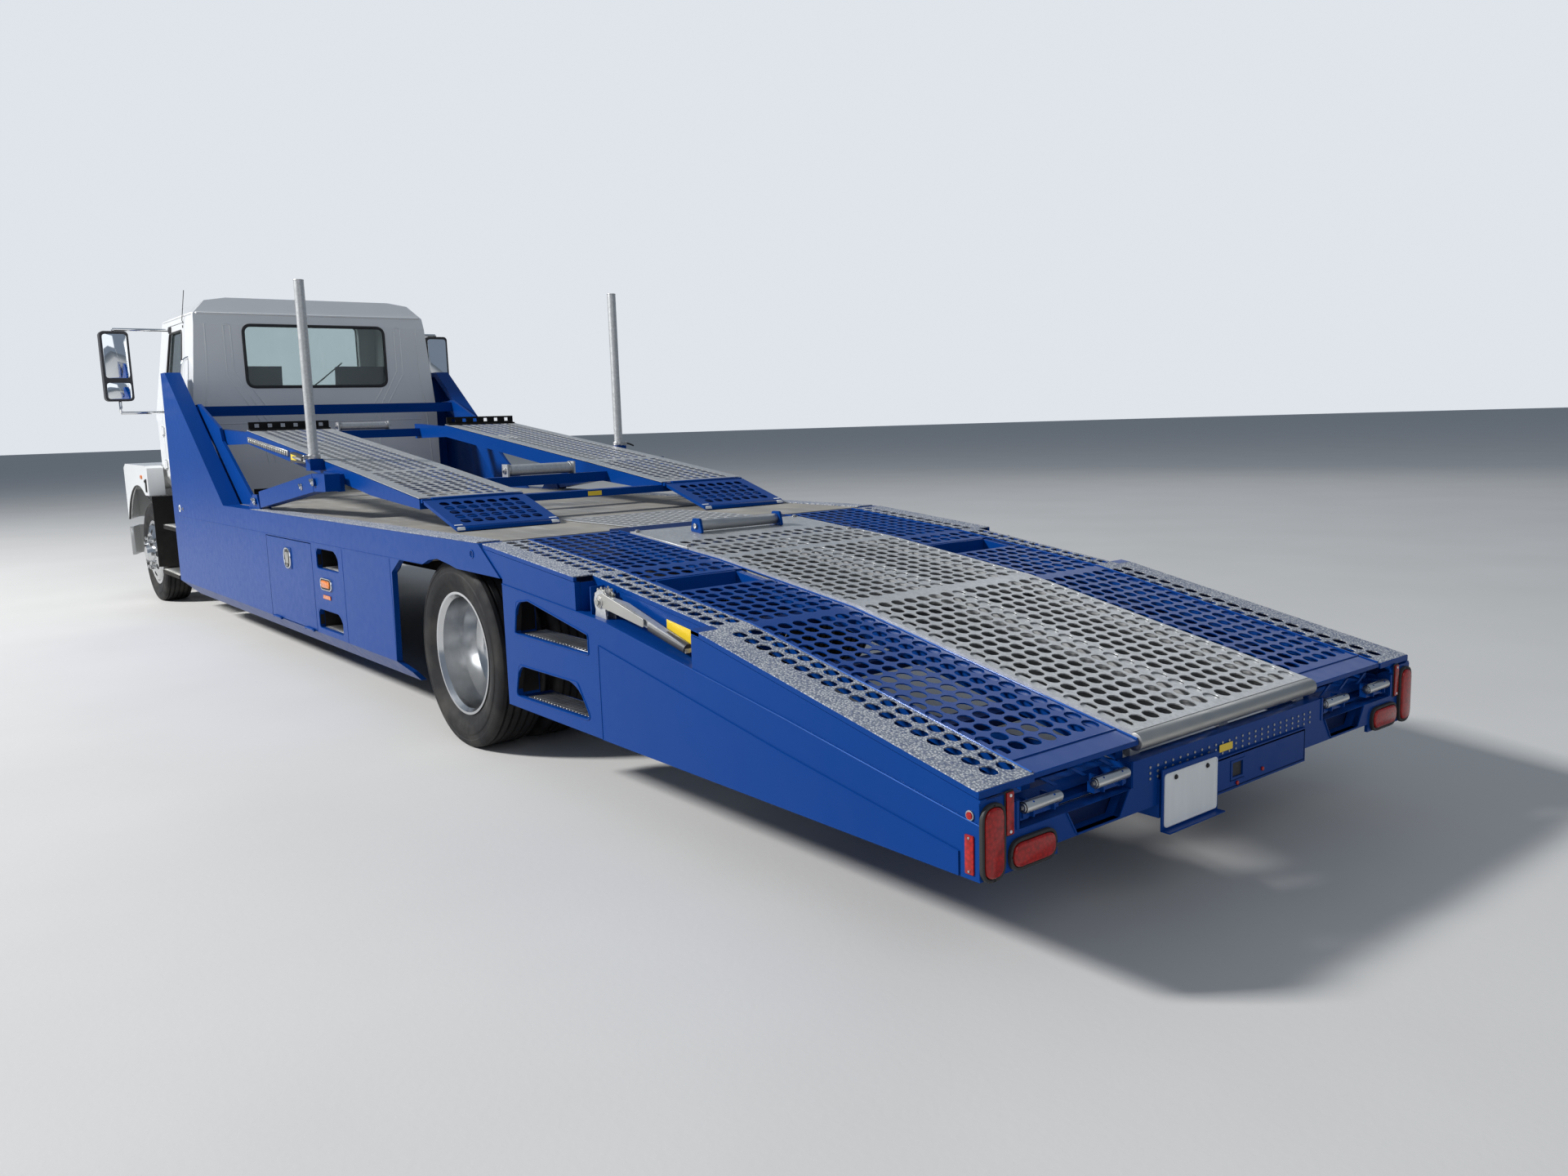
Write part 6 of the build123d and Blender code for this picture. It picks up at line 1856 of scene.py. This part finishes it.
    def recess(self) -> None:
        """Ratchet dressing, bare label and lashing eye in the side recess."""
        label = [(-4.150, 0.838), (-4.400, 0.803), (-4.400, 0.745), (-4.150, 0.778)]
        settle_pair(plate(Axis.Y, 1.1285, label, 0.0010, 0.0), "recess_labels_blank", YELLOW_PLATE)
        grip = [(-4.105, 1.166, 0.808), (-4.220, 1.166, 0.782), (-4.338, 1.166, 0.757)]
        settle_pair(tube(grip, 0.0200, smooth=False, resolution=3), "ratchet_grips", PLASTIC)
        x, z = self.ratchet
        teeth, root = 12, 0.052
        wheels = []
        for y in (1.150, 1.180):
            wheels.append(disc((x, y, z), 0.050, 0.004, Axis.Y, 0.0008, 32))
            for turn in (math.tau * step / teeth for step in range(teeth)):
                place = (x + root * math.cos(turn), y, z + root * math.sin(turn))
                wheels.append(disc(place, 0.0068, 0.004, Axis.Y, 0.0, 8))
        wheels.append(disc((x, 1.165, z), 0.024, 0.060, Axis.Y, 0.003, 24))
        wheels.append(bolt(Axis.Y, (x, 1.195, z), 0.013, 0.010))
        arm = [(-3.755, 0.895), (-3.800, 0.905), (-4.090, 0.838), (-4.090, 0.806), (-3.790, 0.850)]
        wheels.append(plate(Axis.Y, 1.188, rounded(arm, 0.010), 0.004, 0.001))
        settle_pair(joined(wheels), "ratchet_wheels", BRUSHED_ZINC)

    def marks(self) -> None:
        """Round recess near the front and bolts along the rail."""
        (x, z), face = self.rail_cap, self.face
        settle_pair(disc((x, face + 0.002, z), 0.030, 0.005, Axis.Y, 0.0018, 28), "rail_caps", PALE_PLATE)
        settle_pair(disc((x, face + 0.0045, z), 0.017, 0.003, Axis.Y, 0.0008, 20), "rail_cap_centres", SEAL)
        settle_pair(bolt(Axis.Y, (x - 0.105, face, z), 0.010, 0.008), "rail_bolts", STEEL)
        rim = bezel(Axis.Y, face, self.rail_eye, (0.040, 0.040), 0.019, 0.003, 0.006)
        settle_pair(rim, "rail_eye_rims", BLUE, "truck")
        x, z = self.rail_eye
        settle_pair(disc((x, face + 0.0004, z), 0.0145, 0.001, Axis.Y, 0.0, 24), "rail_eyes", SEAL)

    def build(self) -> None:
        """Build the sides' fittings."""
        self.lamps()
        self.latch()
        self.steps()
        self.liners()
        self.welds()
        self.recess()
        self.marks()


# ---------------------------------------------------------------- upper deck


@dataclass
class UpperDeck:
    """Pins, clamps, stops and ratchet gear of the lifting deck."""

    arm_pin: Pair = (0.953, 1.088)
    elbow: Pair = (-0.400, 1.252)
    arm_joint: Pair = (-0.137, 1.216)
    post: Pair = (-0.130, 1.095)
    clamp: float = 1.398
    rail_side: float = 1.0505

    @staticmethod
    def keeper(x: float, y: float, z: float, reach: float = 0.060, radius: float = 0.026) -> Piece:
        """Teardrop keeper plate round a pin.

        Args:
            x: pin's place along the truck.
            y: inner face of the plate.
            z: pin's height.
            reach: distance to the small end.
            radius: radius of the large end.

        Returns:
            The new object.
        """
        turns = [math.radians(20 + 20 * k) for k in range(17)]
        outline = [(x + radius * math.cos(a), z + radius * math.sin(a)) for a in turns]
        slope = math.radians(15)
        far, high = x + reach * math.cos(slope), z + reach * math.sin(slope)
        outline += [(far, high - 0.009), (far + 0.009, high), (far, high + 0.009)]
        return plate(Axis.Y, y, outline, 0.005, 0.001)

    def pins(self) -> None:
        """Keepers and bolts of the lift arms' pins."""
        x, z = self.arm_pin
        lug = [
            self.keeper(x, 1.1865, z), disc((x, 1.193, z), 0.0150, 0.010, Axis.Y, 0.003, 24),
            bolt(Axis.Y, (x + 0.050, 1.1915, z + 0.0135), 0.006, 0.005),
        ]
        settle_pair(joined(lug), "lug_keepers", CHROME)
        x, z = self.elbow
        head = [self.keeper(x, 1.1975, z, 0.052, 0.024), disc((x, 1.205, z), 0.0120, 0.008, Axis.Y, 0.002, 20)]
        settle_pair(joined(head), "elbow_keepers", CHROME, "lift_rod_*")
        x, z = self.arm_joint
        tail = [self.keeper(x, 1.1855, z, 0.048, 0.022), disc((x, 1.194, z), 0.0115, 0.010, Axis.Y, 0.002, 20)]
        settle_pair(joined(tail), "arm_keepers", CHROME, "lift_arm_*")

    def posts(self) -> None:
        """Clamps, caps and welds of the posts."""
        (x, y), z = self.post, self.clamp
        collars = [
            disc((x, y, z), 0.0415, 0.028, Axis.Z, 0.003, 32),
            block((x - 0.012, y + 0.034, z - 0.012), (x + 0.012, y + 0.066, z + 0.012), 0.002),
            disc((x, y, 2.4690), 0.0312, 0.006, Axis.Z, 0.002, 32),
        ]
        settle_pair(joined(collars), "post_clamps", STEEL, "upper_deck")
        lever = [(x, y + 0.058, z), (x - 0.006, y + 0.082, z), (x - 0.060, y + 0.088, z - 0.018)]
        settle_pair(tube(lever, 0.0060, resolution=2), "post_clamp_levers", SEAL, "upper_deck")

    def rollers(self) -> None:
        """Grooved end plates and bosses of the cross rollers."""
        parts = []
        for x, z, half, radius in ((2.070, 1.588, 0.200, 0.030), (-1.000, 1.2812, 0.220, 0.034)):
            for sign in (-1, 1):
                parts.append(disc((x, sign * (half + 0.016), z), radius * 0.62, 0.010, Axis.Y, 0.003, 24))
                parts.append(bolt(Axis.Y, (x, sign * (half + 0.021), z), 0.009, sign * 0.007))
            for share in (-0.94, 0.94):
                parts.append(disc((x, share * half, z), radius + 0.003, 0.014, Axis.Y, 0.002, 32))
        settle(joined(parts), "roller_ends", STEEL, "upper_deck")

    def ratchets(self) -> None:
        """Toothed bar and gear box on the runways' outer sides."""
        rail = [(1.460, 1.528), (0.525, 1.433), (0.525, 1.397), (1.460, 1.492)]
        tooth = block((0.560, 1.0625, 1.4025), (0.584, 1.0685, 1.4265), 0.0015)
        parts = [plate(Axis.Y, self.rail_side, rail, 0.012, 0.0015), repeated(tooth, 19, (0.047, 0, 0.00477))]
        settle_pair(joined(parts), "ratchet_bars", BRUSHED_ZINC, "upper_deck")
        case = rounded([(0.384, 1.425), (0.075, 1.392), (0.075, 1.352), (0.384, 1.358)], 0.008)
        settle_pair(plate(Axis.Y, self.rail_side, case, 0.038, 0.003, 2), "ratchet_cases", PLASTIC, "upper_deck")
        lever = tube([(0.300, 1.092, 1.392), (0.180, 1.098, 1.386), (0.020, 1.096, 1.366)], 0.0085, resolution=2)
        settle_pair(lever, "ratchet_levers", BRUSHED_ZINC, "upper_deck")
        label = [(0.360, 1.412), (0.250, 1.400), (0.250, 1.372), (0.360, 1.375)]
        outer = self.rail_side + 0.038
        settle_pair(plate(Axis.Y, outer, label, 0.0010, 0.0), "ratchet_labels_blank", YELLOW_PLATE, "upper_deck")

    def frame_welds(self) -> None:
        """Beads where the runways' rails meet their cross tubes."""
        welds = []
        for x, top, height, width in (
            (2.070, 1.554, 0.066, 0.070), (-1.000, 1.2432, 0.060, 0.070), (-1.632, 1.1699, 0.040, 0.090),
        ):
            for at in (x - width / 2, x + width / 2):
                welds.append(weld([(at, 0.462, top), (at, 0.462, top - height)], 0.004))
        settle_pair(joined(welds), "upper_deck_welds", BLUE, "upper_deck")
        label = plate(Axis.X, -1.6775, rectangle((0.0, 1.150), (0.090, 0.026)), -0.0010, 0.0)
        settle(label, "cross_bar_label_blank", YELLOW_PLATE, "upper_deck")

    def build(self) -> None:
        """Build the lifting deck's fittings."""
        self.pins()
        self.posts()
        self.rollers()
        self.ratchets()
        self.frame_welds()


# ---------------------------------------------------------------- cab


@dataclass
class CabTrim:
    """Seals, gutters, pressings, handles and mirrors of the cab."""

    back: float = 3.079
    half: float = 1.052
    seam_half: float = 0.975
    belt: float = 1.700
    seam: float = 2.553
    handle_x: float = 3.265
    mirror_y: float = 1.435
    mirror_tube: Pair = (3.910, 0.0124)
    mirror_ends: Pair = (1.760, 2.470)
    arch: tuple[float, float, float] = (4.780, 0.463, 0.636)

    def skin(self, z: float) -> float:
        """Half width of the cab's side at a height."""
        return self.half + (self.seam_half - self.half) * max(0.0, z - self.belt) / (self.seam - self.belt)

    def screen(self, z: float) -> float:
        """Place of the windscreen's outer face at a height."""
        return 4.499 - (z - 1.790) / 3.0

    def seals(self) -> None:
        """Rubber seals of all windows."""
        rear = rounded(rectangle((0.0, 2.2035), (1.200, 0.517)), 0.070, 8)
        front = rounded([(-0.840, 1.850), (0.840, 1.850), (0.760, 2.560), (-0.760, 2.560)], 0.060, 6)
        rings = [
            loop(lay(Axis.X, self.back + 0.001, rear), 0.0135),
            loop([(self.screen(z) + 0.002, y, z) for y, z in front], 0.0120),
        ]
        settle(joined(rings), "window_seals", SEAL, "truck")
        pane = rounded([(3.479, 1.790), (3.479, 2.440), (3.9393, 2.440), (4.159, 1.790)], 0.045, 6)
        ring = loop([(x, self.skin(z) - 0.001, z) for x, z in pane], 0.0095)
        settle_pair(ring, "door_window_seals", SEAL, "door_*")

    def pressings(self) -> None:
        """Creases of the rear wall, gutter round the roof and sill beads."""
        level, radius = self.back + 0.0035, 0.0085
        lines = [[(0.560, 1.925), (0.445, 1.750), (-0.445, 1.750), (-0.560, 1.925)]]
        creases = []
        for sign in (-1, 1):
            for shift in (0.0, 0.055):
                line = [(0.700, 2.455), (0.700, 2.075 - shift * 0.5), (0.470, 1.660), (0.430, 1.300)]
                lines.append([(sign * (y + shift), z) for y, z in line])
            for line in (
                [(0.700, 2.455), (0.7275, 2.478), (0.755, 2.455)],
                [(0.900, 2.470), (0.905, 2.000), (0.965, 1.700), (0.980, 1.200)],
            ):
                creases.append(tube([(level, sign * y, z) for y, z in line], radius, resolution=2))
        creases += [tube([(level, *place) for place in line], radius, smooth=False, resolution=2) for line in lines]
        creases.append(tube([(level, 0.900, 1.640), (level, -0.900, 1.640)], 0.0070, smooth=False, resolution=2))
        settle(joined(creases), "rear_wall_creases", WHITE, "truck")
        side, top = self.seam_half + 0.001, self.seam + 0.004
        back = [(3.098, self.seam_half - 0.030, self.seam + 0.002), (3.100, 0.0, self.seam + 0.002)]
        gutter = tube([(4.190, side, top), (3.150, side, top), *back], radius, smooth=False, resolution=2)
        settle_pair(gutter, "roof_gutters", WHITE, "truck")

    def fittings(self) -> None:
        """Grab handle, door handle, antenna, mirror glass and mirror tubes."""
        x, low = self.handle_x, self.skin(1.60)
        grab = [
            (x, self.skin(2.20) - 0.004, 2.200), (x, self.skin(2.20) + 0.050, 2.190),
            (x - 0.003, self.skin(2.0) + 0.056, 2.000), (x - 0.007, low + 0.056, 1.620),
            (x - 0.007, low + 0.050, 1.560), (x - 0.007, low - 0.004, 1.550),
        ]
        settle_pair(tube(grab, 0.0125), "grab_handles", CHROME)
        handle = [
            badge(Axis.Y, 1.0785, (3.554, 1.6075), (0.176, 0.040), 0.016, 0.005, 0.002, 2),
            badge(Axis.Y, 1.0500, (3.554, 1.6300), (0.220, 0.100), 0.030, 0.004, 0.001, 1),
        ]
        settle_pair(joined(handle), "door_handles", PLASTIC, "door_*")
        mast = [(3.440, 0.972, 2.470), (3.420, 0.990, 2.520), (3.215, 1.000, 2.745)]
        rod = tube(mast, 0.0032, smooth=False, resolution=2)
        foot = disc((3.440, 0.975, 2.468), 0.014, 0.024, Axis.Z, 0.004, 20)
        settle(joined([rod, foot]), "antenna", SEAL, "truck")
        out, (x, radius) = self.mirror_y, self.mirror_tube
        glasses = [
            badge(Axis.X, 3.885, (out, 2.245), (0.186, 0.372), 0.030, -0.003, 0.001),
            badge(Axis.X, 3.885, (out, 1.950), (0.186, 0.138), 0.028, -0.003, 0.001),
        ]
        settle_pair(joined(glasses), "mirror_glasses", SILVER, "door_*")
        backs = [badge(Axis.X, 3.975, (out, 2.1585), (0.196, 0.560), 0.060, 0.014, 0.010, 3)]
        for z in self.mirror_ends:
            start = self.skin(z) + 0.014
            backs.append(disc((x, (start + out) / 2, z), radius, out - start, Axis.Y, 0.001, 24))
        for z0, z1 in ((1.760, 1.858), (2.459, 2.470)):
            backs.append(disc((x, out, (z0 + z1) / 2), radius, z1 - z0, Axis.Z, 0.001, 24))
        settle_pair(joined(backs), "mirror_tubes", CHROME, "door_*")
        feet = [
            badge(Axis.Y, self.skin(z) - 0.003, (x, z), (0.060, 0.056), 0.010, 0.018, 0.004, 2)
            for z in self.mirror_ends
        ]
        settle_pair(joined(feet), "mirror_brackets", PLASTIC, "door_*")

    def front(self) -> None:
        """Wipers, hood catches, side lamps and the fenders' lips."""
        for side in Side:
            sign = side.value
            arm, blade = [
                [(self.screen(z) + gap, sign * y, z) for y, z, gap in line] for line in (
                    ((0.150, 1.800, 0.010), (0.190, 1.860, 0.034), (0.480, 2.080, 0.024)),
                    ((0.330, 1.960, 0.016), (0.640, 2.220, 0.016)),
                )
            ]
            rods = [tube(arm, 0.0065, resolution=2), tube(blade, 0.0060, smooth=False, resolution=2)]
            pivot = disc((self.screen(1.80) + 0.008, sign * 0.150, 1.800), 0.018, 0.030, Axis.X, 0.004, 20)
            settle(joined([*rods, pivot]), f"wiper_{side.tail}", SEAL, "truck")
        lamp = badge(Axis.Y, 1.2165, (4.560, 1.185), (0.074, 0.034), 0.014, 0.008, 0.003, 2)
        settle_pair(lamp, "fender_lamps", AMBER_LENS, "hood")
        catch = [
            badge(Axis.Y, 1.2165, (4.365, 1.110), (0.030, 0.120), 0.010, 0.012, 0.003, 2),
            disc((4.365, 1.2300, 1.150), 0.012, 0.012, Axis.Y, 0.003, 18),
        ]
        settle_pair(joined(catch), "hood_catches", SEAL, "hood")
        x, z, radius = self.arch
        turns = [math.radians(a) for a in range(28, 121, 6)]
        lip = [(x + radius * math.cos(a), 1.2145, z + radius * math.sin(a)) for a in turns]
        settle_pair(tube(lip, 0.0085, smooth=False, resolution=2), "arch_lips", SEAL, "hood")

    def steps(self) -> None:
        """Pale treads on the steps below the doors."""
        treads = []
        for z, x0, x1, y0, y1 in ((0.772, 3.392, 3.913, 0.992, 1.198), (0.362, 3.432, 4.078, 1.002, 1.208)):
            treads.append(block((x0, y0, z - 0.001), (x1, y1, z + 0.003), 0.001))
            rib = block((x0 + 0.010, y0 + 0.008, z + 0.002), (x0 + 0.018, y1 - 0.006, z + 0.008), 0.0015)
            treads.append(repeated(rib, int((x1 - x0 - 0.02) / 0.025), (0.025, 0, 0)))
        settle_pair(joined(treads), "cab_step_treads", BRUSHED_ZINC)

    def build(self) -> None:
        """Build the cab's trim."""
        self.seals()
        self.pressings()
        self.fittings()
        self.front()
        self.steps()


# ---------------------------------------------------------------- studio


@dataclass(frozen=True)
class Studio:
    """Floor, light and camera."""

    eye: tuple[float, float, float] = (-7.7677, 3.4435, 1.5534)
    yaw: float = -0.6697
    pitch: float = -0.1428
    roll: float = -0.0308
    focal_pixels: float = 1455.06
    picture: tuple[int, int] = (1920, 1440)
    sensor: float = 36.0

    def camera(self) -> None:
        """Set the camera at the photograph's viewpoint."""
        rise, turn = self.pitch, self.yaw
        forward = Vector((math.cos(rise) * math.cos(turn), math.cos(rise) * math.sin(turn), math.sin(rise)))
        level = forward.cross(Vector((0, 0, 1))).normalized()
        upright = level.cross(forward)
        right = level * math.cos(self.roll) + upright * math.sin(self.roll)
        up = upright * math.cos(self.roll) - level * math.sin(self.roll)
        clear()
        bpy.ops.object.camera_add(location=self.eye)
        camera = bpy.context.object
        camera.name = "camera"
        camera.rotation_euler = Matrix((right, up, -forward)).transposed().to_euler()
        camera.data.sensor_fit = "HORIZONTAL"
        camera.data.sensor_width = self.sensor
        camera.data.lens = self.focal_pixels * self.sensor / self.picture[0]
        camera.data.clip_end = 500.0
        bpy.context.scene.camera = camera

    def floor(self) -> None:
        """Lay a plain pale floor."""
        clear()
        bpy.ops.mesh.primitive_circle_add(vertices=96, radius=150.0, fill_type="NGON")
        floor = bpy.context.object
        floor.name = "floor"
        board = NodeBoard("floor")
        board.colour(board.noise(0.8, 6.0), (0.60, 0.59, 0.57), (0.53, 0.52, 0.50))
        board.set(Roughness=0.9)
        board.bump(board.noise(40.0, 5.0), 0.12, 0.004)
        floor.data.materials.append(board.material)

    def light(self) -> None:
        """Hang the key and fill lamps and set the world."""
        for name, place, size, power in (
            ("key", (8.0, 18.0, 14.5), 3.0, 8600.0),
            ("fill", (-16.0, 5.0, 9.0), 12.0, 420.0),
            ("back", (4.0, -18.0, 12.0), 12.0, 380.0),
        ):
            clear()
            bpy.ops.object.light_add(type="AREA", location=place)
            lamp = bpy.context.object
            lamp.name = name
            lamp.data.size = size
            lamp.data.energy = power
            aim = Vector((-1.5, 0.0, 0.8)) - Vector(place)
            lamp.rotation_euler = aim.to_track_quat("-Z", "Y").to_euler()
        world = bpy.data.worlds.new("studio")
        bpy.context.scene.world = world
        world.use_nodes = True
        tree = world.node_tree
        tree.nodes.clear()
        path = tree.nodes.new("ShaderNodeLightPath")
        seen = tree.nodes.new("ShaderNodeMath")
        seen.operation = "MAXIMUM"
        tree.links.new(path.outputs["Is Camera Ray"], seen.inputs[0])
        tree.links.new(path.outputs["Is Transmission Ray"], seen.inputs[1])
        ambient = tree.nodes.new("ShaderNodeBackground")
        ambient.inputs["Color"].default_value = (0.64, 0.77, 0.96, 1)
        ambient.inputs["Strength"].default_value = 0.30
        backdrop = tree.nodes.new("ShaderNodeBackground")
        backdrop.inputs["Color"].default_value = (0.74, 0.78, 0.83, 1)
        backdrop.inputs["Strength"].default_value = 1.0
        mix = tree.nodes.new("ShaderNodeMixShader")
        output = tree.nodes.new("ShaderNodeOutputWorld")
        tree.links.new(seen.outputs[0], mix.inputs[0])
        tree.links.new(ambient.outputs[0], mix.inputs[1])
        tree.links.new(backdrop.outputs[0], mix.inputs[2])
        tree.links.new(mix.outputs[0], output.inputs["Surface"])

    def build(self) -> None:
        """Set up the camera, floor, light and view."""
        self.camera()
        self.floor()
        self.light()
        bpy.context.scene.view_settings.view_transform = "Standard"


def paint_nodes(nodes: dict[str, Piece]) -> None:
    """Give every CAD node its finish.

    Args:
        nodes: the frame's nodes by name.
    """
    finishes = {stem: finish for finish, stems in NODE_FINISH.items() for stem in stems.split()}
    for name, node in nodes.items():
        finish = finishes[name.removesuffix("_left").removesuffix("_right")]
        node.data.materials.clear()
        node.data.materials.append(finish.material())
        LOG.info("node %s: %s", name, finish.name)


def main() -> None:
    """Load the frame, dress it, and set the studio."""
    logging.basicConfig(level=logging.INFO, format="%(name)s: %(message)s")
    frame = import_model()
    paint_nodes(frame["nodes"])
    Decks().build()
    RunningGear().build()
    TailEnd().build()
    BodySides().build()
    UpperDeck().build()
    CabTrim().build()
    Studio().build()


if __name__ == "__main__":
    main()
